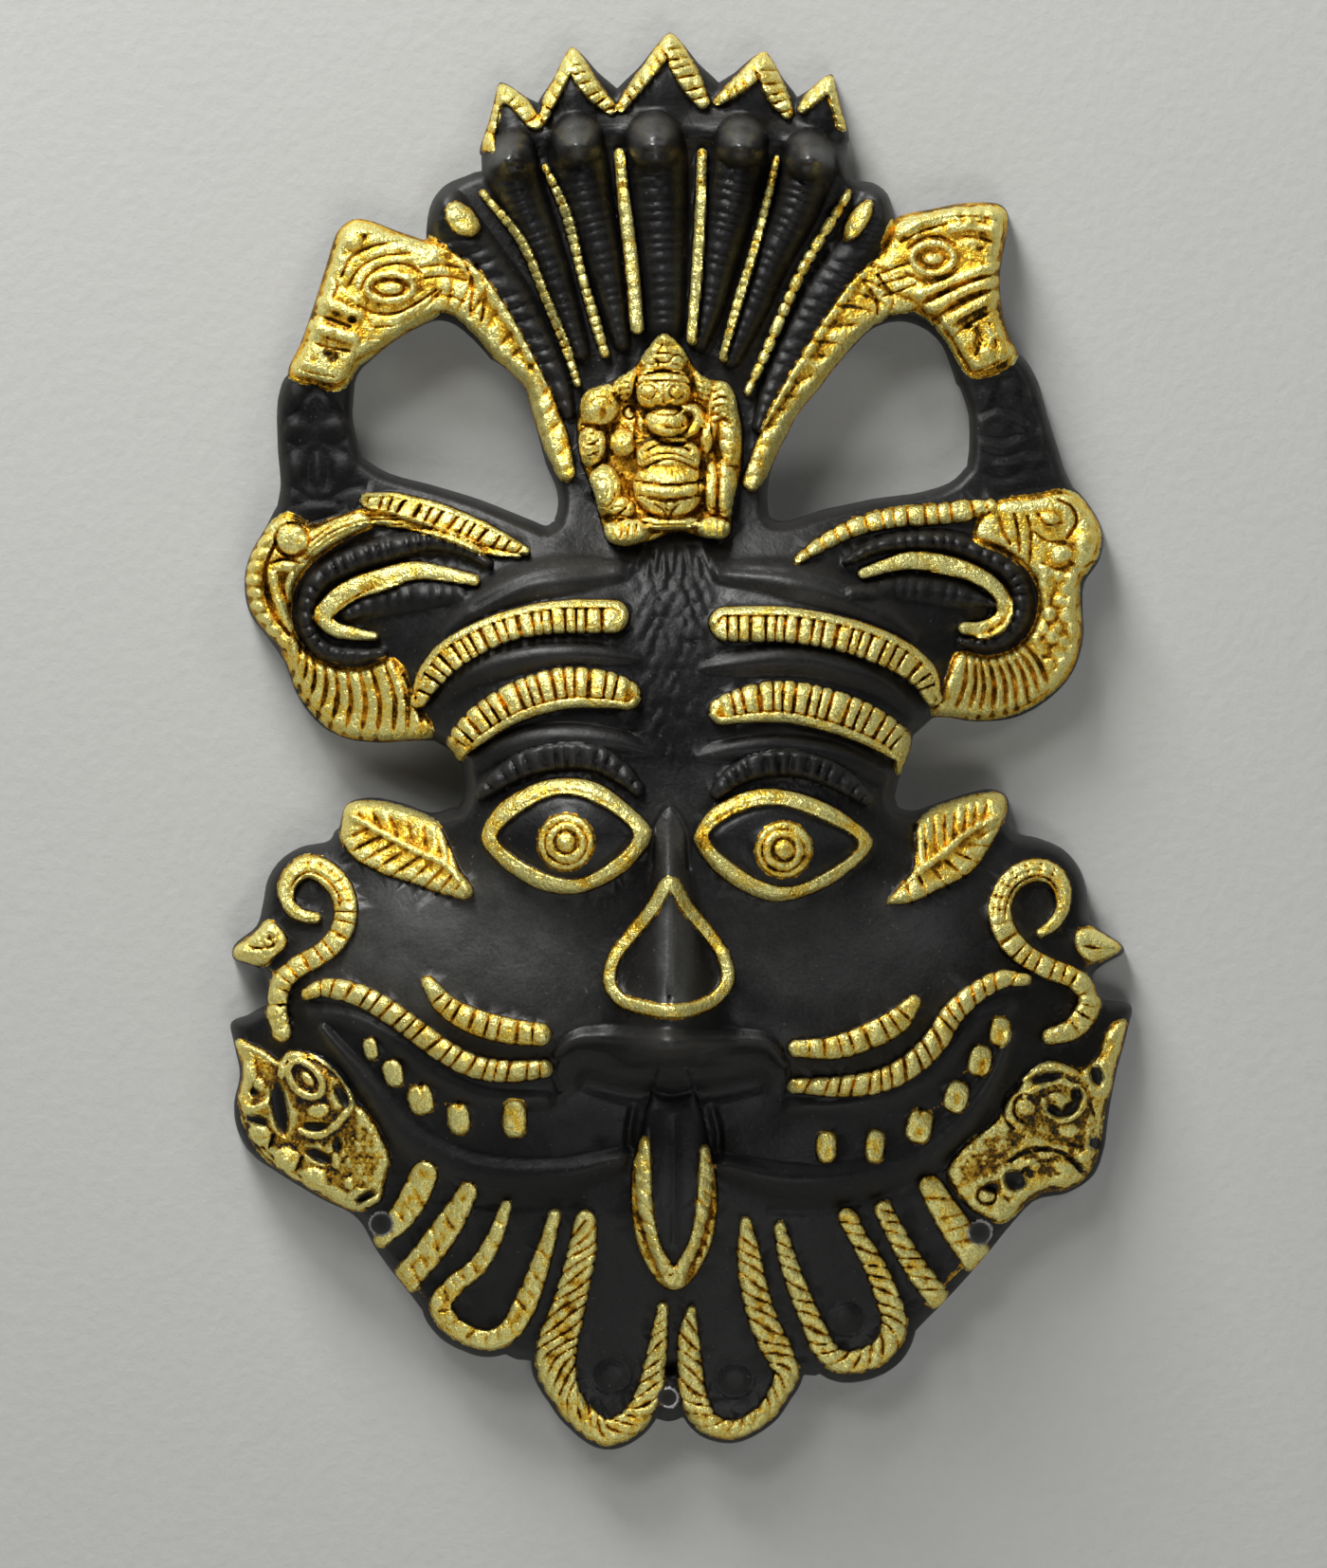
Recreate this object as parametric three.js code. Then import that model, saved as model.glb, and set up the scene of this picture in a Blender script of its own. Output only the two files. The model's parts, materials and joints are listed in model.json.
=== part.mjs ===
// Kirtimukha wall mask: a hollow, flat-backed casting about 280 mm tall.
// Frame: millimetres, +Z up, the flat back lies in the plane y = 0 and the face
// looks along -Y. The origin is on the flat back, behind the middle cobra hood.
import * as THREE from 'three';

// ---------------------------------------------------------------- driving sizes
const CELL = 0.9;            // spacing of the working grid
const WALL = 4.0;            // wall thickness over the hollow back
const RIM = 3.2;             // width of the flat rim that lies on the wall
const HOLLOW_RUN = 4.5;      // over which the hollow reaches its full depth
const HOLLOW_TOP = -16;      // above this height the crown is solid
const HOLLOW_RISE = 24;      // over which the hollow deepens below the crown
const EDGE_R = 2.6;          // rounding of the outer edge
const EDGE_SQUARE = 0.52;    // share of the height that stands square at the edge
const DRAFT_LENGTH = 1000;   // forms narrow towards a point this far in front
const DRAFT_AXIS = [-1.5, -130.3];
const NOSE = { x: -0.4, top: -133.7, root: -136.5, tip: -182.3, halfTop: 1.9, halfGrow: 11.6, h0: 1.5, h1: 10.5, end: -186.6 };
const COBRA_HEAD_H = 6.0;
const EYE_BULGE = 4.5, EYE_BULGE_RUN = 11, LID_H = 1.3, IRIS_H = 1.6;
const HEART_W = 2.6, HEART_H = 1.0;
const TOOTH_H = 1.6;
const LOCK_H = 1.9;          // the flame locks of the beard
const TRIANGLES = 9400;

// ------------------------------------------- named shapes, [x, z] in the wall plane
// OUTLINE: the parts whose union is the silhouette. RIDGES: raised cords along a
// curve, with their width w, height h and section k (g, r, s, c = square-shouldered,
// round, soft, low-domed). PADS: raised plates with the run e of their rounded edge. DEPTHS:
// half-width, z and height stations of the modelled ground, the same on both sides.
const OUTLINE = {
  crown_block: { smooth: false, p: [[-37.4,-3.7],[-35.2,1.5],[-31.4,3.4],[-26,3.9],[-18.3,4.9],[-10.5,6],[-1.5,5.6],[9.3,6.7],[17.2,5.6],[24.5,5.2],[30.3,4.1],[34,1.5],[34.8,-3.7],[35,-10.8],[26.6,-46.8],[20,-72.9],[20.6,-91.6],[-22.4,-91.6],[-23.2,-72.9],[-29.2,-50.5],[-37.4,-11.2]] },
  side_hood_l: { smooth: true, p: [[-37,-9.5],[-40.8,-10.5],[-44.5,-12.2],[-47.1,-15.3],[-48.2,-20.6],[-47.9,-24.7],[-38.9,-37.4],[-27.7,-37.4],[-27.7,-20.6]] },
  side_hood_r: { smooth: true, p: [[33.7,-9.5],[36.8,-11.2],[40,-11.8],[42.6,-13.8],[43.9,-18.3],[44.9,-22.4],[35.9,-37.4],[26.6,-35.5],[26.6,-16.8]] },
  beast_l: { smooth: true, p: [[-55.7,-20.6],[-59.1,-19.3],[-62.6,-18.9],[-65.6,-21.1],[-67.9,-27.5],[-69.9,-34.2],[-72.9,-43],[-75.5,-49.7],[-70.7,-55.2],[-60.4,-50.5],[-52,-44.9],[-35.2,-46.8],[-24.9,-58],[-20.2,-72.9],[-12.7,-65.5],[-20.2,-46.8],[-35.2,-31.8],[-42.6,-24.7],[-48.6,-23]] },
  beast_r: { smooth: true, p: [[44.5,-18.5],[51.6,-16.8],[58,-15.7],[65.1,-16.1],[66.6,-18.3],[66,-23],[64.9,-29.7],[65.3,-36.5],[66.8,-41.9],[68.3,-45.6],[65.8,-54.2],[54.6,-50.5],[47.1,-41.1],[35.9,-46.8],[24.7,-58],[17.2,-76.7],[10.7,-65.5],[17.2,-46.8],[28.4,-35.5],[35.9,-24.3]] },
  strut_l: { smooth: true, p: [[-75.4,-49.4],[-77.4,-53.7],[-77.6,-63.8],[-77,-71.1],[-77.4,-78.5],[-68.8,-84.2],[-57.6,-76.7],[-61,-65.5],[-62.8,-58],[-62.8,-49.7]] },
  strut_r: { smooth: true, p: [[56.5,-47.5],[68.1,-45.3],[72,-50.1],[74.1,-56.8],[75.9,-62.8],[77.6,-68.3],[79.7,-74.8],[65.8,-86],[52.7,-80.4],[58,-69.2],[58.7,-58]] },
  ear_l: { smooth: true, p: [[-76.9,-74.4],[-79.8,-79.5],[-83,-85.1],[-84.2,-90.1],[-83.2,-96.3],[-79.3,-101.9],[-76.1,-106.6],[-73.9,-112.6],[-69.6,-118.4],[-64.5,-121.2],[-58.2,-122.1],[-46.8,-121.7],[-35.2,-123.4],[-16.5,-106.6],[-10.8,-80.4],[-23,-78.5],[-37.6,-73.9],[-50.1,-69.6],[-57.6,-67.7],[-63.2,-65.5]] },
  ear_r: { smooth: true, p: [[78.2,-71.1],[83,-76.1],[85.3,-81.2],[84.5,-86],[81.5,-90.7],[81.2,-95.4],[81.3,-101.4],[79.3,-108.1],[75,-113.1],[68.3,-117.1],[60.6,-118],[51.2,-117.2],[35.9,-123.4],[13.5,-106.6],[11.6,-80.4],[20.9,-77.6],[30.9,-75.9],[41.5,-73.7],[51.8,-71.8],[60.2,-67.3]] },
  brow_block: { smooth: false, p: [[-20.2,-80.4],[17.2,-80.4],[52.7,-116.3],[50.1,-118.6],[47.7,-120.8],[47.3,-123.4],[46.2,-126.4],[44.9,-129.4],[44.1,-132.8],[45.3,-136.5],[47.1,-155.2],[-46.4,-155.2],[-43.4,-136.9],[-41.3,-133.7],[-40.8,-130.9],[-41.3,-126.8],[-43.8,-123.4],[-47.1,-121.5]] },
  leaf_l: { smooth: true, p: [[-65.5,-138.8],[-64,-134.3],[-59.1,-133],[-52.9,-134.1],[-47.1,-135.9],[-41.5,-135],[-35.2,-144],[-35.2,-158.9],[-50.1,-160.8],[-62.1,-155.2],[-66.9,-144]] },
  leaf_r: { smooth: true, p: [[66.2,-132.8],[63.2,-131.3],[58.7,-132],[52.7,-133.9],[47.5,-135.6],[42.4,-134.6],[38.7,-144],[39.6,-158.9],[52.7,-160.8],[64,-153.3],[66.6,-140.2]] },
  cheek_l: { smooth: true, p: [[-65.8,-139.1],[-67.3,-141.4],[-72.9,-142.7],[-76.9,-145.1],[-79.5,-148.9],[-80.6,-154.3],[-81.7,-158.2],[-86.2,-162.1],[-86.4,-164.7],[-81.2,-166.8],[-79.8,-169.4],[-79.7,-175],[-70.7,-192.6],[-35.2,-203.8],[0,-207.6],[0,-144],[-35.2,-140.2]] },
  cheek_r: { smooth: true, p: [[65.8,-137.6],[68.1,-139.9],[72.6,-141],[77.4,-143.2],[80.8,-147.4],[82.1,-152.2],[82.7,-157.1],[89,-162.1],[89.4,-163.4],[85.6,-165.7],[83.2,-167.9],[84,-172],[80.8,-188.9],[35.9,-203.8],[0,-207.6],[0,-144],[35.9,-140.2]] },
  jowl_l: { smooth: true, p: [[-79.7,-173.9],[-83.4,-175.8],[-86.8,-177.3],[-86.2,-181.6],[-85.1,-187.4],[-86.2,-193.4],[-85.6,-198.2],[-83,-203.1],[-77.2,-207.2],[-69.2,-212.1],[-62.1,-215.8],[-57.8,-222.7],[-52.4,-229.8],[-46.4,-236.2],[-35.2,-237.5],[-20.2,-233.8],[-1.5,-218.8],[-1.5,-190.7],[-53.9,-173.9]] },
  jowl_r: { smooth: true, p: [[82.7,-171.3],[85.6,-172.8],[90.7,-173.9],[89.9,-179.1],[87.9,-187],[86.4,-194.9],[85.3,-202.7],[83.2,-207.6],[78.2,-210.9],[71.8,-212.4],[67.3,-216.9],[61.1,-224.4],[51.1,-235.2],[44.1,-240.9],[32.2,-237.5],[17.2,-233.8],[-1.5,-218.8],[-1.5,-190.7],[54.6,-172]] },
  chin: { smooth: false, p: [[-46.4,-209.4],[50.9,-209.4],[46.2,-239.4],[28.4,-247],[-1.5,-245],[-30.5,-243.8],[-44.5,-237.1]] },
};
const SPIKES = [{ tip: [-33.8,8.8], left: [-37.6,-6.4], right: [-24.3,2.2] }, { tip: [-19.6,15.9], left: [-26.6,2.2], right: [-9.7,4.9] }, { tip: [-0.2,18.7], left: [-11.6,4.5], right: [10.5,5.6] }, { tip: [18.5,15], left: [6.7,5.2], right: [25.1,3.7] }, { tip: [31.8,10.5], left: [23.9,3.7], right: [35,-3.7] }];
const OPENINGS = {
  left_hoop: [[-46.2,-38.9],[-50.1,-40.4],[-54.6,-43],[-58.3,-46],[-61.7,-49.4],[-62.6,-54.2],[-62.1,-60],[-60.4,-65.6],[-56.5,-68.6],[-46.8,-71.4],[-37.6,-74.2],[-27.7,-78.2],[-24.3,-79.3],[-22.6,-77],[-22.4,-72.9],[-24.5,-67.7],[-27.7,-61.3],[-31.2,-53.9],[-35.3,-46.9],[-39.6,-42.1],[-43.2,-39.5]],
  right_hoop: [[44.9,-39.1],[40,-40.4],[35.5,-44.5],[30.9,-50.1],[26.2,-56.8],[21.7,-63.8],[19.4,-69.6],[19.1,-74.1],[19.6,-77.6],[22.1,-78.4],[30.9,-75.9],[39.8,-74.1],[49.9,-72.6],[55.7,-70.3],[58.3,-66.9],[58.5,-61.7],[57.2,-55],[55.4,-48.6],[53.1,-43.4],[49.4,-40.2]],
};
const HOLES = [{ at: [-57.2,-217.1], r: 2.06 }, { at: [61,-218.8], r: 2.06 }, { at: [-0.6,-251.3], r: 1.68 }];
const LUGS = [{ at: [-0.6,-251], r: 5.05 }];
const LOCKS = {
  beard_l1: { p: [[-48.8,-207.6],[-50.7,-211.7],[-53.7,-216.4],[-57.2,-220.3]], w: [5.61,5.8,5.05,2.81], edge: 0 },
  beard_l2: { p: [[-40.2,-210.9],[-43,-216],[-46.9,-221.6],[-52,-227.8]], w: [4.11,5.61,5.98,5.61], edge: 0 },
  beard_l3: { p: [[-32.5,-213.6],[-34.8,-219.7],[-38.1,-225.3],[-42.6,-229.1],[-45.4,-233],[-43.9,-236.2],[-40.8,-238.6],[-36.1,-239.9],[-32.4,-238.4],[-29,-233.4],[-26.6,-227.2],[-24.7,-221.6],[-23,-215.4]], w: [2.43,3.09,3.52,3.8,4.1,4.45,4.02,3.61,3.95,4.6,4.82,4.3,3.74,3.16,2.62], edge: 1.5 },
  beard_l4: { p: [[-16.8,-216.5],[-17.6,-222.5],[-18.9,-228.1],[-20.6,-234.7],[-22.3,-240.3],[-22.6,-245],[-21.1,-249.6],[-18.1,-254.3],[-12.7,-258.1],[-7.7,-255.8],[-4.5,-250.6],[-3.2,-245],[-2.2,-238.4],[-1.7,-233.8]], w: [4.49,5.72,6.11,6.62,7.39,8.23,7.84,5.85,5.24,5.24,5.24,5.24,5.03,4.41,3.42,2.24], edge: 0.94 },
  beard_r4: { p: [[14.8,-216.9],[15.3,-223.5],[16.6,-230.9],[18.7,-237.5],[21.3,-242.7],[22.6,-246.5],[20.9,-250.6],[18.3,-254.3],[12.5,-257.5],[7.5,-256.2],[4.7,-251.5],[3.7,-245],[3.6,-237.5],[4.1,-234.1]], w: [2.43,4.56,5.4,5.65,5.93,6.11,5.33,3.87,3.55,3.42,4.08,5.12,5.46,5.09,4.36,1.87], edge: 0.94 },
  beard_r3: { p: [[21.5,-217.9],[22.8,-223.5],[25.1,-230],[27.9,-236.6],[29.9,-241.2],[33.1,-244],[37.8,-243.8],[42.3,-241.2],[43.9,-236.6],[42.4,-230.9],[39.6,-224.4],[36.8,-219.7],[34.8,-215.6]], w: [2.43,3.52,3.95,4.21,4.45,4.79,4.53,4.49,4.66,5.12,5.11,4.82,4.41,3.76,4.11], edge: 1.87 },
  beard_r2: { p: [[41.9,-214.3],[45.3,-220.7],[48.6,-226.3],[52.4,-231.3]], w: [3.74,4.3,4.86,4.86], edge: 0 },
  beard_r1: { p: [[51.2,-209.6],[54.6,-215.4],[59.8,-223.3]], w: [4.86,6.17,6.17], edge: 0 },
};
const DEPTHS = [[0,18.7,7.5], [20.57,13.09,7.5], [35.53,7.48,7.5], [0,-7.48,10.5], [18.7,-7.48,10.5], [35.53,-10.29,10], [0,-24.31,12.5], [20.57,-24.31,12], [0,-39.27,14.5], [16.83,-50.49,14.5], [0,-63.58,18], [14.03,-80.41,21], [0,-82.28,23], [0,-91.63,28], [46.75,-20.57,10], [57.97,-31.79,11], [66.39,-20.57,9.5], [71.06,-48.62,10], [72,-65.45,10], [30.86,-54.23,13], [43.01,-37.4,12], [74.8,-79.47,11], [84.15,-87.89,8.5], [76.67,-104.72,9], [63.58,-95.37,12.5], [61.71,-117.81,9.5], [48.99,-87.89,17], [36.47,-86.02,22], [24.31,-91.63,29], [22.44,-106.59,34], [42.08,-106.59,27], [24.31,-123.42,35], [42.08,-123.42,26], [0,-106.59,34], [0,-125.29,37], [22.44,-141.19,37], [40.2,-141.19,29], [0,-138.38,39], [0,-155.21,38], [0,-173.91,38], [18.7,-162.69,36], [37.4,-158.95,32], [56.1,-155.21,25], [71.06,-155.21,15], [82.28,-155.21,10], [48.99,-140.25,21], [61.71,-138.01,13], [22.44,-181.39,37], [46.75,-173.91,31], [65.45,-173.91,23], [78.54,-173.91,13.5], [85.08,-179.52,9.5], [0,-182.89,36.5], [20.57,-182.89,36], [0,-190.74,28.5], [18.7,-190.74,29.5], [0,-200.09,27.5], [22.44,-200.09,28.5], [44.88,-192.61,27], [61.71,-194.48,18.5], [82.28,-198.22,8.5], [0,-211.31,25], [24.31,-211.31,24.5], [46.75,-211.31,18], [61.71,-216.92,10.5], [0,-228.14,18.5], [24.31,-228.14,17], [44.88,-231.88,10.5], [0,-246.84,10.5], [13.09,-259.93,7.5], [28.05,-245.91,9], [40.2,-243.1,8]];
const COBRAS = [{ at: [-31.2,-6.2], r: 4.11 }, { at: [-18.5,-3.4], r: 4.49 }, { at: [-3.4,-3.4], r: 4.86 }, { at: [13.8,-3.6], r: 4.49 }, { at: [27.1,-6.2], r: 4.3 }];
const RIDGES = {
  cobra_body_1: { p: [[-31.4,-9],[-28.4,-17.2],[-24.9,-25.8],[-21.1,-35.9],[-18,-45.3]], w: [11.09,10.14,9.05,7.89,6.88,5.65,4.26], h: [7.6,6,4.9,4.2,3.9,3.6,3.2], k: 'c' },
  cobra_body_2: { p: [[-18.3,-6.7],[-16.1,-16.8],[-13.1,-28.1],[-10.8,-38.3],[-9.7,-43.4]], w: [11.93,10.9,9.84,8.68,7.33,5.82,3.83], h: [7.6,6.3,5.2,4.5,4.1,3.8,3.2], k: 'c' },
  cobra_body_3: { p: [[-3,-6.4],[-2.2,-18.7],[-1.5,-29.9],[-1.1,-40.2]], w: [12.79,11.51,9.38,7.67], h: [7.6,5.4,4.2,3.8,3.2], k: 'c' },
  cobra_body_4: { p: [[13.3,-6.7],[11.2,-17.8],[9.2,-28.1],[7.1,-38.3],[5.6,-43.4]], w: [11.93,11,9.97,8.71,7.31,5.78,3.83], h: [7.6,6.4,5.3,4.5,4.1,3.8,3.2], k: 'c' },
  cobra_body_5: { p: [[26.9,-9],[24.3,-17.2],[20,-26.2],[15.7,-37.4],[12,-46.4]], w: [11.09,10.1,8.98,7.87,6.92,5.74,4.26], h: [7.6,5.9,4.8,4.1,3.9,3.6,3.2], k: 'c' },
  side_body_l: { p: [[-44.5,-17.2],[-38.9,-24.7],[-31.8,-34],[-26.6,-42.6],[-22.4,-50.9],[-20.2,-57.2]], w: [9.72,9.46,9.16,8.83,8.25,7.29,5.8,2.99], h: 2.8, k: 'c' },
  side_body_r: { p: [[41.1,-17.2],[35.9,-25.8],[29.5,-35.2],[24.3,-44.5],[19.4,-54.2],[17.2,-59.8]], w: [9.72,9.46,9.16,8.81,8.21,7.26,5.82,2.62], h: 2.8, k: 'c' },
  head_band: { p: [[-34.8,-7.5],[-31.2,-4.1],[-24.9,-2.2],[-18.5,-1.3],[-10.8,-1.1],[-1.9,-0.7],[6,-1.1],[13.8,-1.5],[20.9,-2.6],[27.1,-4.1],[32.2,-7.1]], w: [6.73,8.28,8.6,8.94,8.98,9.13,9.33,9.07,8.98,8.88,8.56,8.21,6.73], h: 2.4, k: 's' },
  rib_a: { p: [[-37,-13.8],[-29.5,-23.4],[-24.5,-35.2],[-20.8,-44.3],[-18.5,-51.2]], w: [1.68,2,2.23,2.11,2.11,2.23,1.68], h: 2.8, k: 'g' },
  rib_b: { p: [[-24.9,-8.6],[-20.8,-17.8],[-17.6,-29.9],[-15.1,-38.3],[-13.1,-45.3]], w: [1.68,2.17,2.36,2.15,2.26,2.56,2.06], h: 3.2, k: 'g' },
  rib_c: { p: [[-10.1,-6],[-9.5,-13.1],[-7.7,-28.8],[-6.7,-40.2]], w: [2.43,2.99,3.18,2.99], h: 3.2, k: 'g' },
  rib_d: { p: [[6.2,-6],[5.8,-16.8],[5,-29.9],[3.9,-42.6]], w: [2.24,2.43,2.43,2.06], h: 3.2, k: 'g' },
  rib_e: { p: [[20.9,-6.7],[19.4,-13.1],[16.6,-23.9],[13.1,-35.5],[10.1,-46.2]], w: [1.5,2.06,1.94,1.96,2.17,1.96,1.5], h: 3.2, k: 'g' },
  rib_f: { p: [[35.2,-13.7],[30.9,-20.6],[26,-28.8],[22.1,-37.4],[18.7,-45.3],[15.1,-52.9]], w: [1.68,2.26,2.43,2.43,2.43,2.43,2.24,1.68], h: 2.8, k: 'g' },
  chevron_1: { p: [[-36.1,-4.5],[-35.9,0],[-35.2,4.1],[-33.1,5.8],[-30.5,4.5],[-28.6,2.2],[-26.7,0.4],[-24.5,1.9]], w: [2.62,3.03,3.38,3.5,3.65,3.67,3.5,3.37,3.25,1.87], h: 2, k: 'g' },
  chevron_2: { p: [[-25.1,1.5],[-23.6,5.4],[-21.7,9.7],[-19.6,12.9],[-17.6,9.3],[-15,5.8],[-12,3]], w: [1.87,2.86,3.27,3.48,4.11,3.83,3.74,3.48,2.62], h: 2, k: 'g' },
  chevron_3: { p: [[-9.9,3.2],[-7.1,6.7],[-3.9,11],[-0.4,15.5],[1.9,11.6],[4.1,7.7],[6.2,4.3]], w: [2.24,2.54,2.81,3.22,4.15,4.49,4.49,4.34,2.99], h: 2, k: 'g' },
  chevron_4: { p: [[9.2,4.3],[12.7,6.9],[15.9,9.7],[18.3,12.2],[19.6,8.6],[21.1,5],[23,2.1]], w: [1.87,2.73,3.37,3.76,4.39,4.38,4.23,3.85,2.62], h: 2, k: 'g' },
  chevron_5: { p: [[25.6,2.6],[27.9,5.2],[30.3,7.5],[32.4,6.7],[33.3,3.6],[33.8,-0.2]], w: [1.5,2.62,3.37,3.72,3.53,3.4,2.92,2.24], h: 2, k: 'g' },
  arch_l: { p: [[-48.2,-30.3],[-41.9,-32.4],[-36.1,-38.1],[-30.9,-46],[-25.8,-55.4],[-22.4,-63.2],[-20.6,-68.8]], w: [13.84,10.73,8.79,7.54,6.71,6.26,5.8,5.25,3.55], h: 2.2, k: 'g', u: 1 },
  arch_r: { p: [[46.2,-30.3],[39.6,-34],[33.7,-40.6],[27.7,-49.2],[22.6,-57.4],[18.7,-64.9],[15.7,-70.7]], w: [13.84,10.32,8.49,7.52,7.16,6.69,6.08,5.22,3.55], h: 2.2, k: 'g', u: 1 },
  ear_band_l: { p: [[-59.8,-74.4],[-55.4,-74.8],[-51.2,-75.9],[-45.1,-77.8],[-35.5,-81.5],[-28.6,-84.3]], w: [2.99,4.32,4.9,5.18,4.97,4.64,3.38,1.5], h: 2.6, k: 'g' },
  ear_edge_l: { p: [[-70.7,-82.8],[-65.1,-79.7],[-59.8,-77.6],[-53.1,-78.5],[-45.1,-80.8],[-35.9,-84.3],[-29.9,-85.3]], w: [4.86,4.54,3.91,3.29,2.75,2.26,2.06,1.76,0.94], h: 1.6, k: 'g' },
  ear_rim_l: { p: [[-36.1,-86.8],[-40.8,-83.8],[-47.3,-82.3],[-53.9,-83.4],[-63.2,-86.2],[-69.2,-89.8],[-71.6,-94.2],[-71.8,-99.1],[-68.8,-103.6],[-63.6,-105.1],[-57.2,-104.5]], w: [2.24,4,4.66,5.44,6.02,6.11,5.8,5.09,4.45,4.24,4.21,4.15,2.62], h: 3.2, k: 'c' },
  ear_comma_l: { p: [[-38.9,-90.1],[-45.1,-88.8],[-51.1,-88.3],[-57,-89.9],[-62.6,-91.8],[-66.9,-94.8],[-68.6,-97.2],[-66.6,-99.7],[-62.8,-100.6],[-58.5,-101.2]], w: [2.43,2.79,3.25,3.87,4.38,4.64,4.51,4.49,4.04,3.16,2.71,1.5], h: 2.6, k: 'g' },
  ear_lobe_l: { p: [[-63.6,-96.7],[-57.6,-94.2],[-50.9,-92.9],[-42.3,-92.4]], w: [3.74,6.36,6.73,4.49], h: 2.2, k: 'c' },
  ear_band_r: { p: [[25.1,-86],[29.5,-83],[35.9,-79.8],[43.4,-78],[51.8,-77.2],[58.3,-76.3],[63.2,-75.2]], w: [1.87,3.09,3.55,3.8,3.93,4.15,4.34,4.49,2.24], h: 2.4, k: 'r' },
  ear_rim_r: { p: [[34.6,-86.4],[40.6,-83.4],[47.5,-82.3],[55.5,-82.7],[62.1,-85.3],[66.9,-88.5],[69.2,-93.1],[68.6,-97.8],[65.8,-101.2],[61.7,-102.7],[57.2,-102.1]], w: [1.87,3.22,4.06,4.53,4.75,4.92,5.05,5.05,4.77,4.67,4.53,3.8,1.87], h: 3.2, k: 'c' },
  ear_comma_r: { p: [[38,-88.8],[42.4,-87.3],[47.1,-86.2],[53.3,-87],[59.3,-88.6],[63.8,-91.4],[66,-95],[64.9,-98.2],[61.7,-99.9],[58,-99.7]], w: [2.24,2.84,3.57,4.04,4.28,4,3.67,3.4,3.22,3.68,3.74,2.62], h: 2.6, k: 'g' },
  ear_lobe_r: { p: [[35.9,-92.4],[45.3,-91.3],[54.6,-92.4],[60.6,-93.9],[64.3,-95.2]], w: [2.99,4.34,5.63,5.82,5.83,4.38,1.5], h: 2, k: 'c' },
  roll_l0: { p: [[-44.5,-100.6],[-38.9,-95.4],[-30.5,-91.1],[-20.2,-89],[-10.5,-88.3]], w: [4.49,7.84,9.16,9.72,9.72,8.23,5.61], h: [1.5,2.6,2.9,3,2.9,2.4,1.6], k: 's' },
  roll_l1: { p: [[-46,-114.4],[-42.6,-110],[-36.7,-107],[-27.7,-104.9],[-17.4,-104.3],[-6.7,-105.5]], w: [3.37,6.43,7.46,7.72,7.65,7.22,5.16,2.62], h: [0.8,1.7,2,2,1.9,1.8,1.3,0.6], k: 's' },
  roll_l2: { p: [[-40.4,-127.5],[-36.1,-124.4],[-29.5,-122.1],[-21.1,-121.2],[-11.8,-121.7],[-4.1,-123.8]], w: [3.37,6.38,7.26,7.67,7.78,7.35,5.68,2.62], h: [0.8,1.7,1.9,2,2,1.9,1.4,0.6], k: 's' },
  roll_r0: { p: [[9.7,-88.6],[20.9,-89.4],[32.2,-92],[41.5,-96.1],[47.5,-100.6]], w: [5.61,8.08,9.72,9.72,9.26,8.19,4.49], h: [1.6,2.3,2.8,3,2.9,2.7,1.5], k: 's' },
  roll_r1: { p: [[6.4,-107.3],[14.4,-106.2],[24.7,-105.5],[34.4,-107.3],[42.4,-110.7],[47.5,-115.9]], w: [2.62,6.11,7.44,7.85,7.85,7.27,5.97,3.37], h: [0.6,1.5,1.9,2,2,1.9,1.6,0.8], k: 's' },
  roll_r2: { p: [[5.2,-124.9],[13.5,-123.2],[22.8,-122.9],[31.8,-124.2],[39.3,-126.8],[44.1,-130.2]], w: [2.62,5.72,7.37,7.84,7.85,7.44,6.3,3.37], h: [0.6,1.4,1.9,2,2,1.9,1.7,0.8], k: 's' },
  band_l1: { p: [[-11.6,-97.2],[-15,-97.2],[-23,-97.4],[-32,-99.1],[-39.1,-102.1],[-44.5,-105.7],[-47.9,-109.8],[-49.7,-113.7]], w: [6.73,6.88,6.77,6.53,6.23,6.26,6.36,6.36,5.68,3.37], h: 3.6, k: 'g' },
  band_l2: { p: [[-8.8,-112.6],[-13.1,-111.6],[-20.2,-111.3],[-26.4,-112.6],[-32,-114.8],[-38,-118.7],[-41.5,-122.3],[-43,-125.3]], w: [6.17,7.67,8.25,8.55,8.43,8.04,7.67,7.33,6.25,2.99], h: 3.6, k: 'g' },
  band_r1: { p: [[10.8,-98.7],[15.7,-98.7],[22.8,-98.9],[32.2,-100.4],[39.6,-102.7],[46.2,-105.8],[49.9,-109.2],[51.6,-113.1]], w: [6.92,7.29,7.29,7.24,7.12,7.11,7.03,6.77,6.11,3.74], h: 3.6, k: 'g' },
  band_r2: { p: [[10.1,-115.8],[13.3,-115],[17.2,-114.3],[22.8,-114.1],[30.3,-115.6],[38.1,-118.4],[43.9,-121.9],[46.2,-124.7],[45.8,-127.3]], w: [5.8,7.18,8.15,8.56,8.6,8.58,8.4,8.15,7.46,6.15,2.99], h: 3.6, k: 'g' },
  lash_l: { p: [[-37.4,-132],[-33.7,-129],[-28.6,-126.4],[-21.7,-124.9],[-14.6,-125.5],[-9.9,-128.1],[-6.7,-131.3]], w: [2.99,4.51,5.05,5.24,5.24,5.24,5.14,4.79,2.99], h: 2.8, k: 'r' },
  lash_r: { p: [[9.2,-132],[12.7,-128.7],[18.3,-126.6],[24.7,-126.4],[30.7,-128.1],[35.5,-130.7],[38.5,-133.1]], w: [2.99,4.39,4.99,5.24,5.24,5.24,5.16,4.88,2.99], h: 2.8, k: 'r' },
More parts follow.
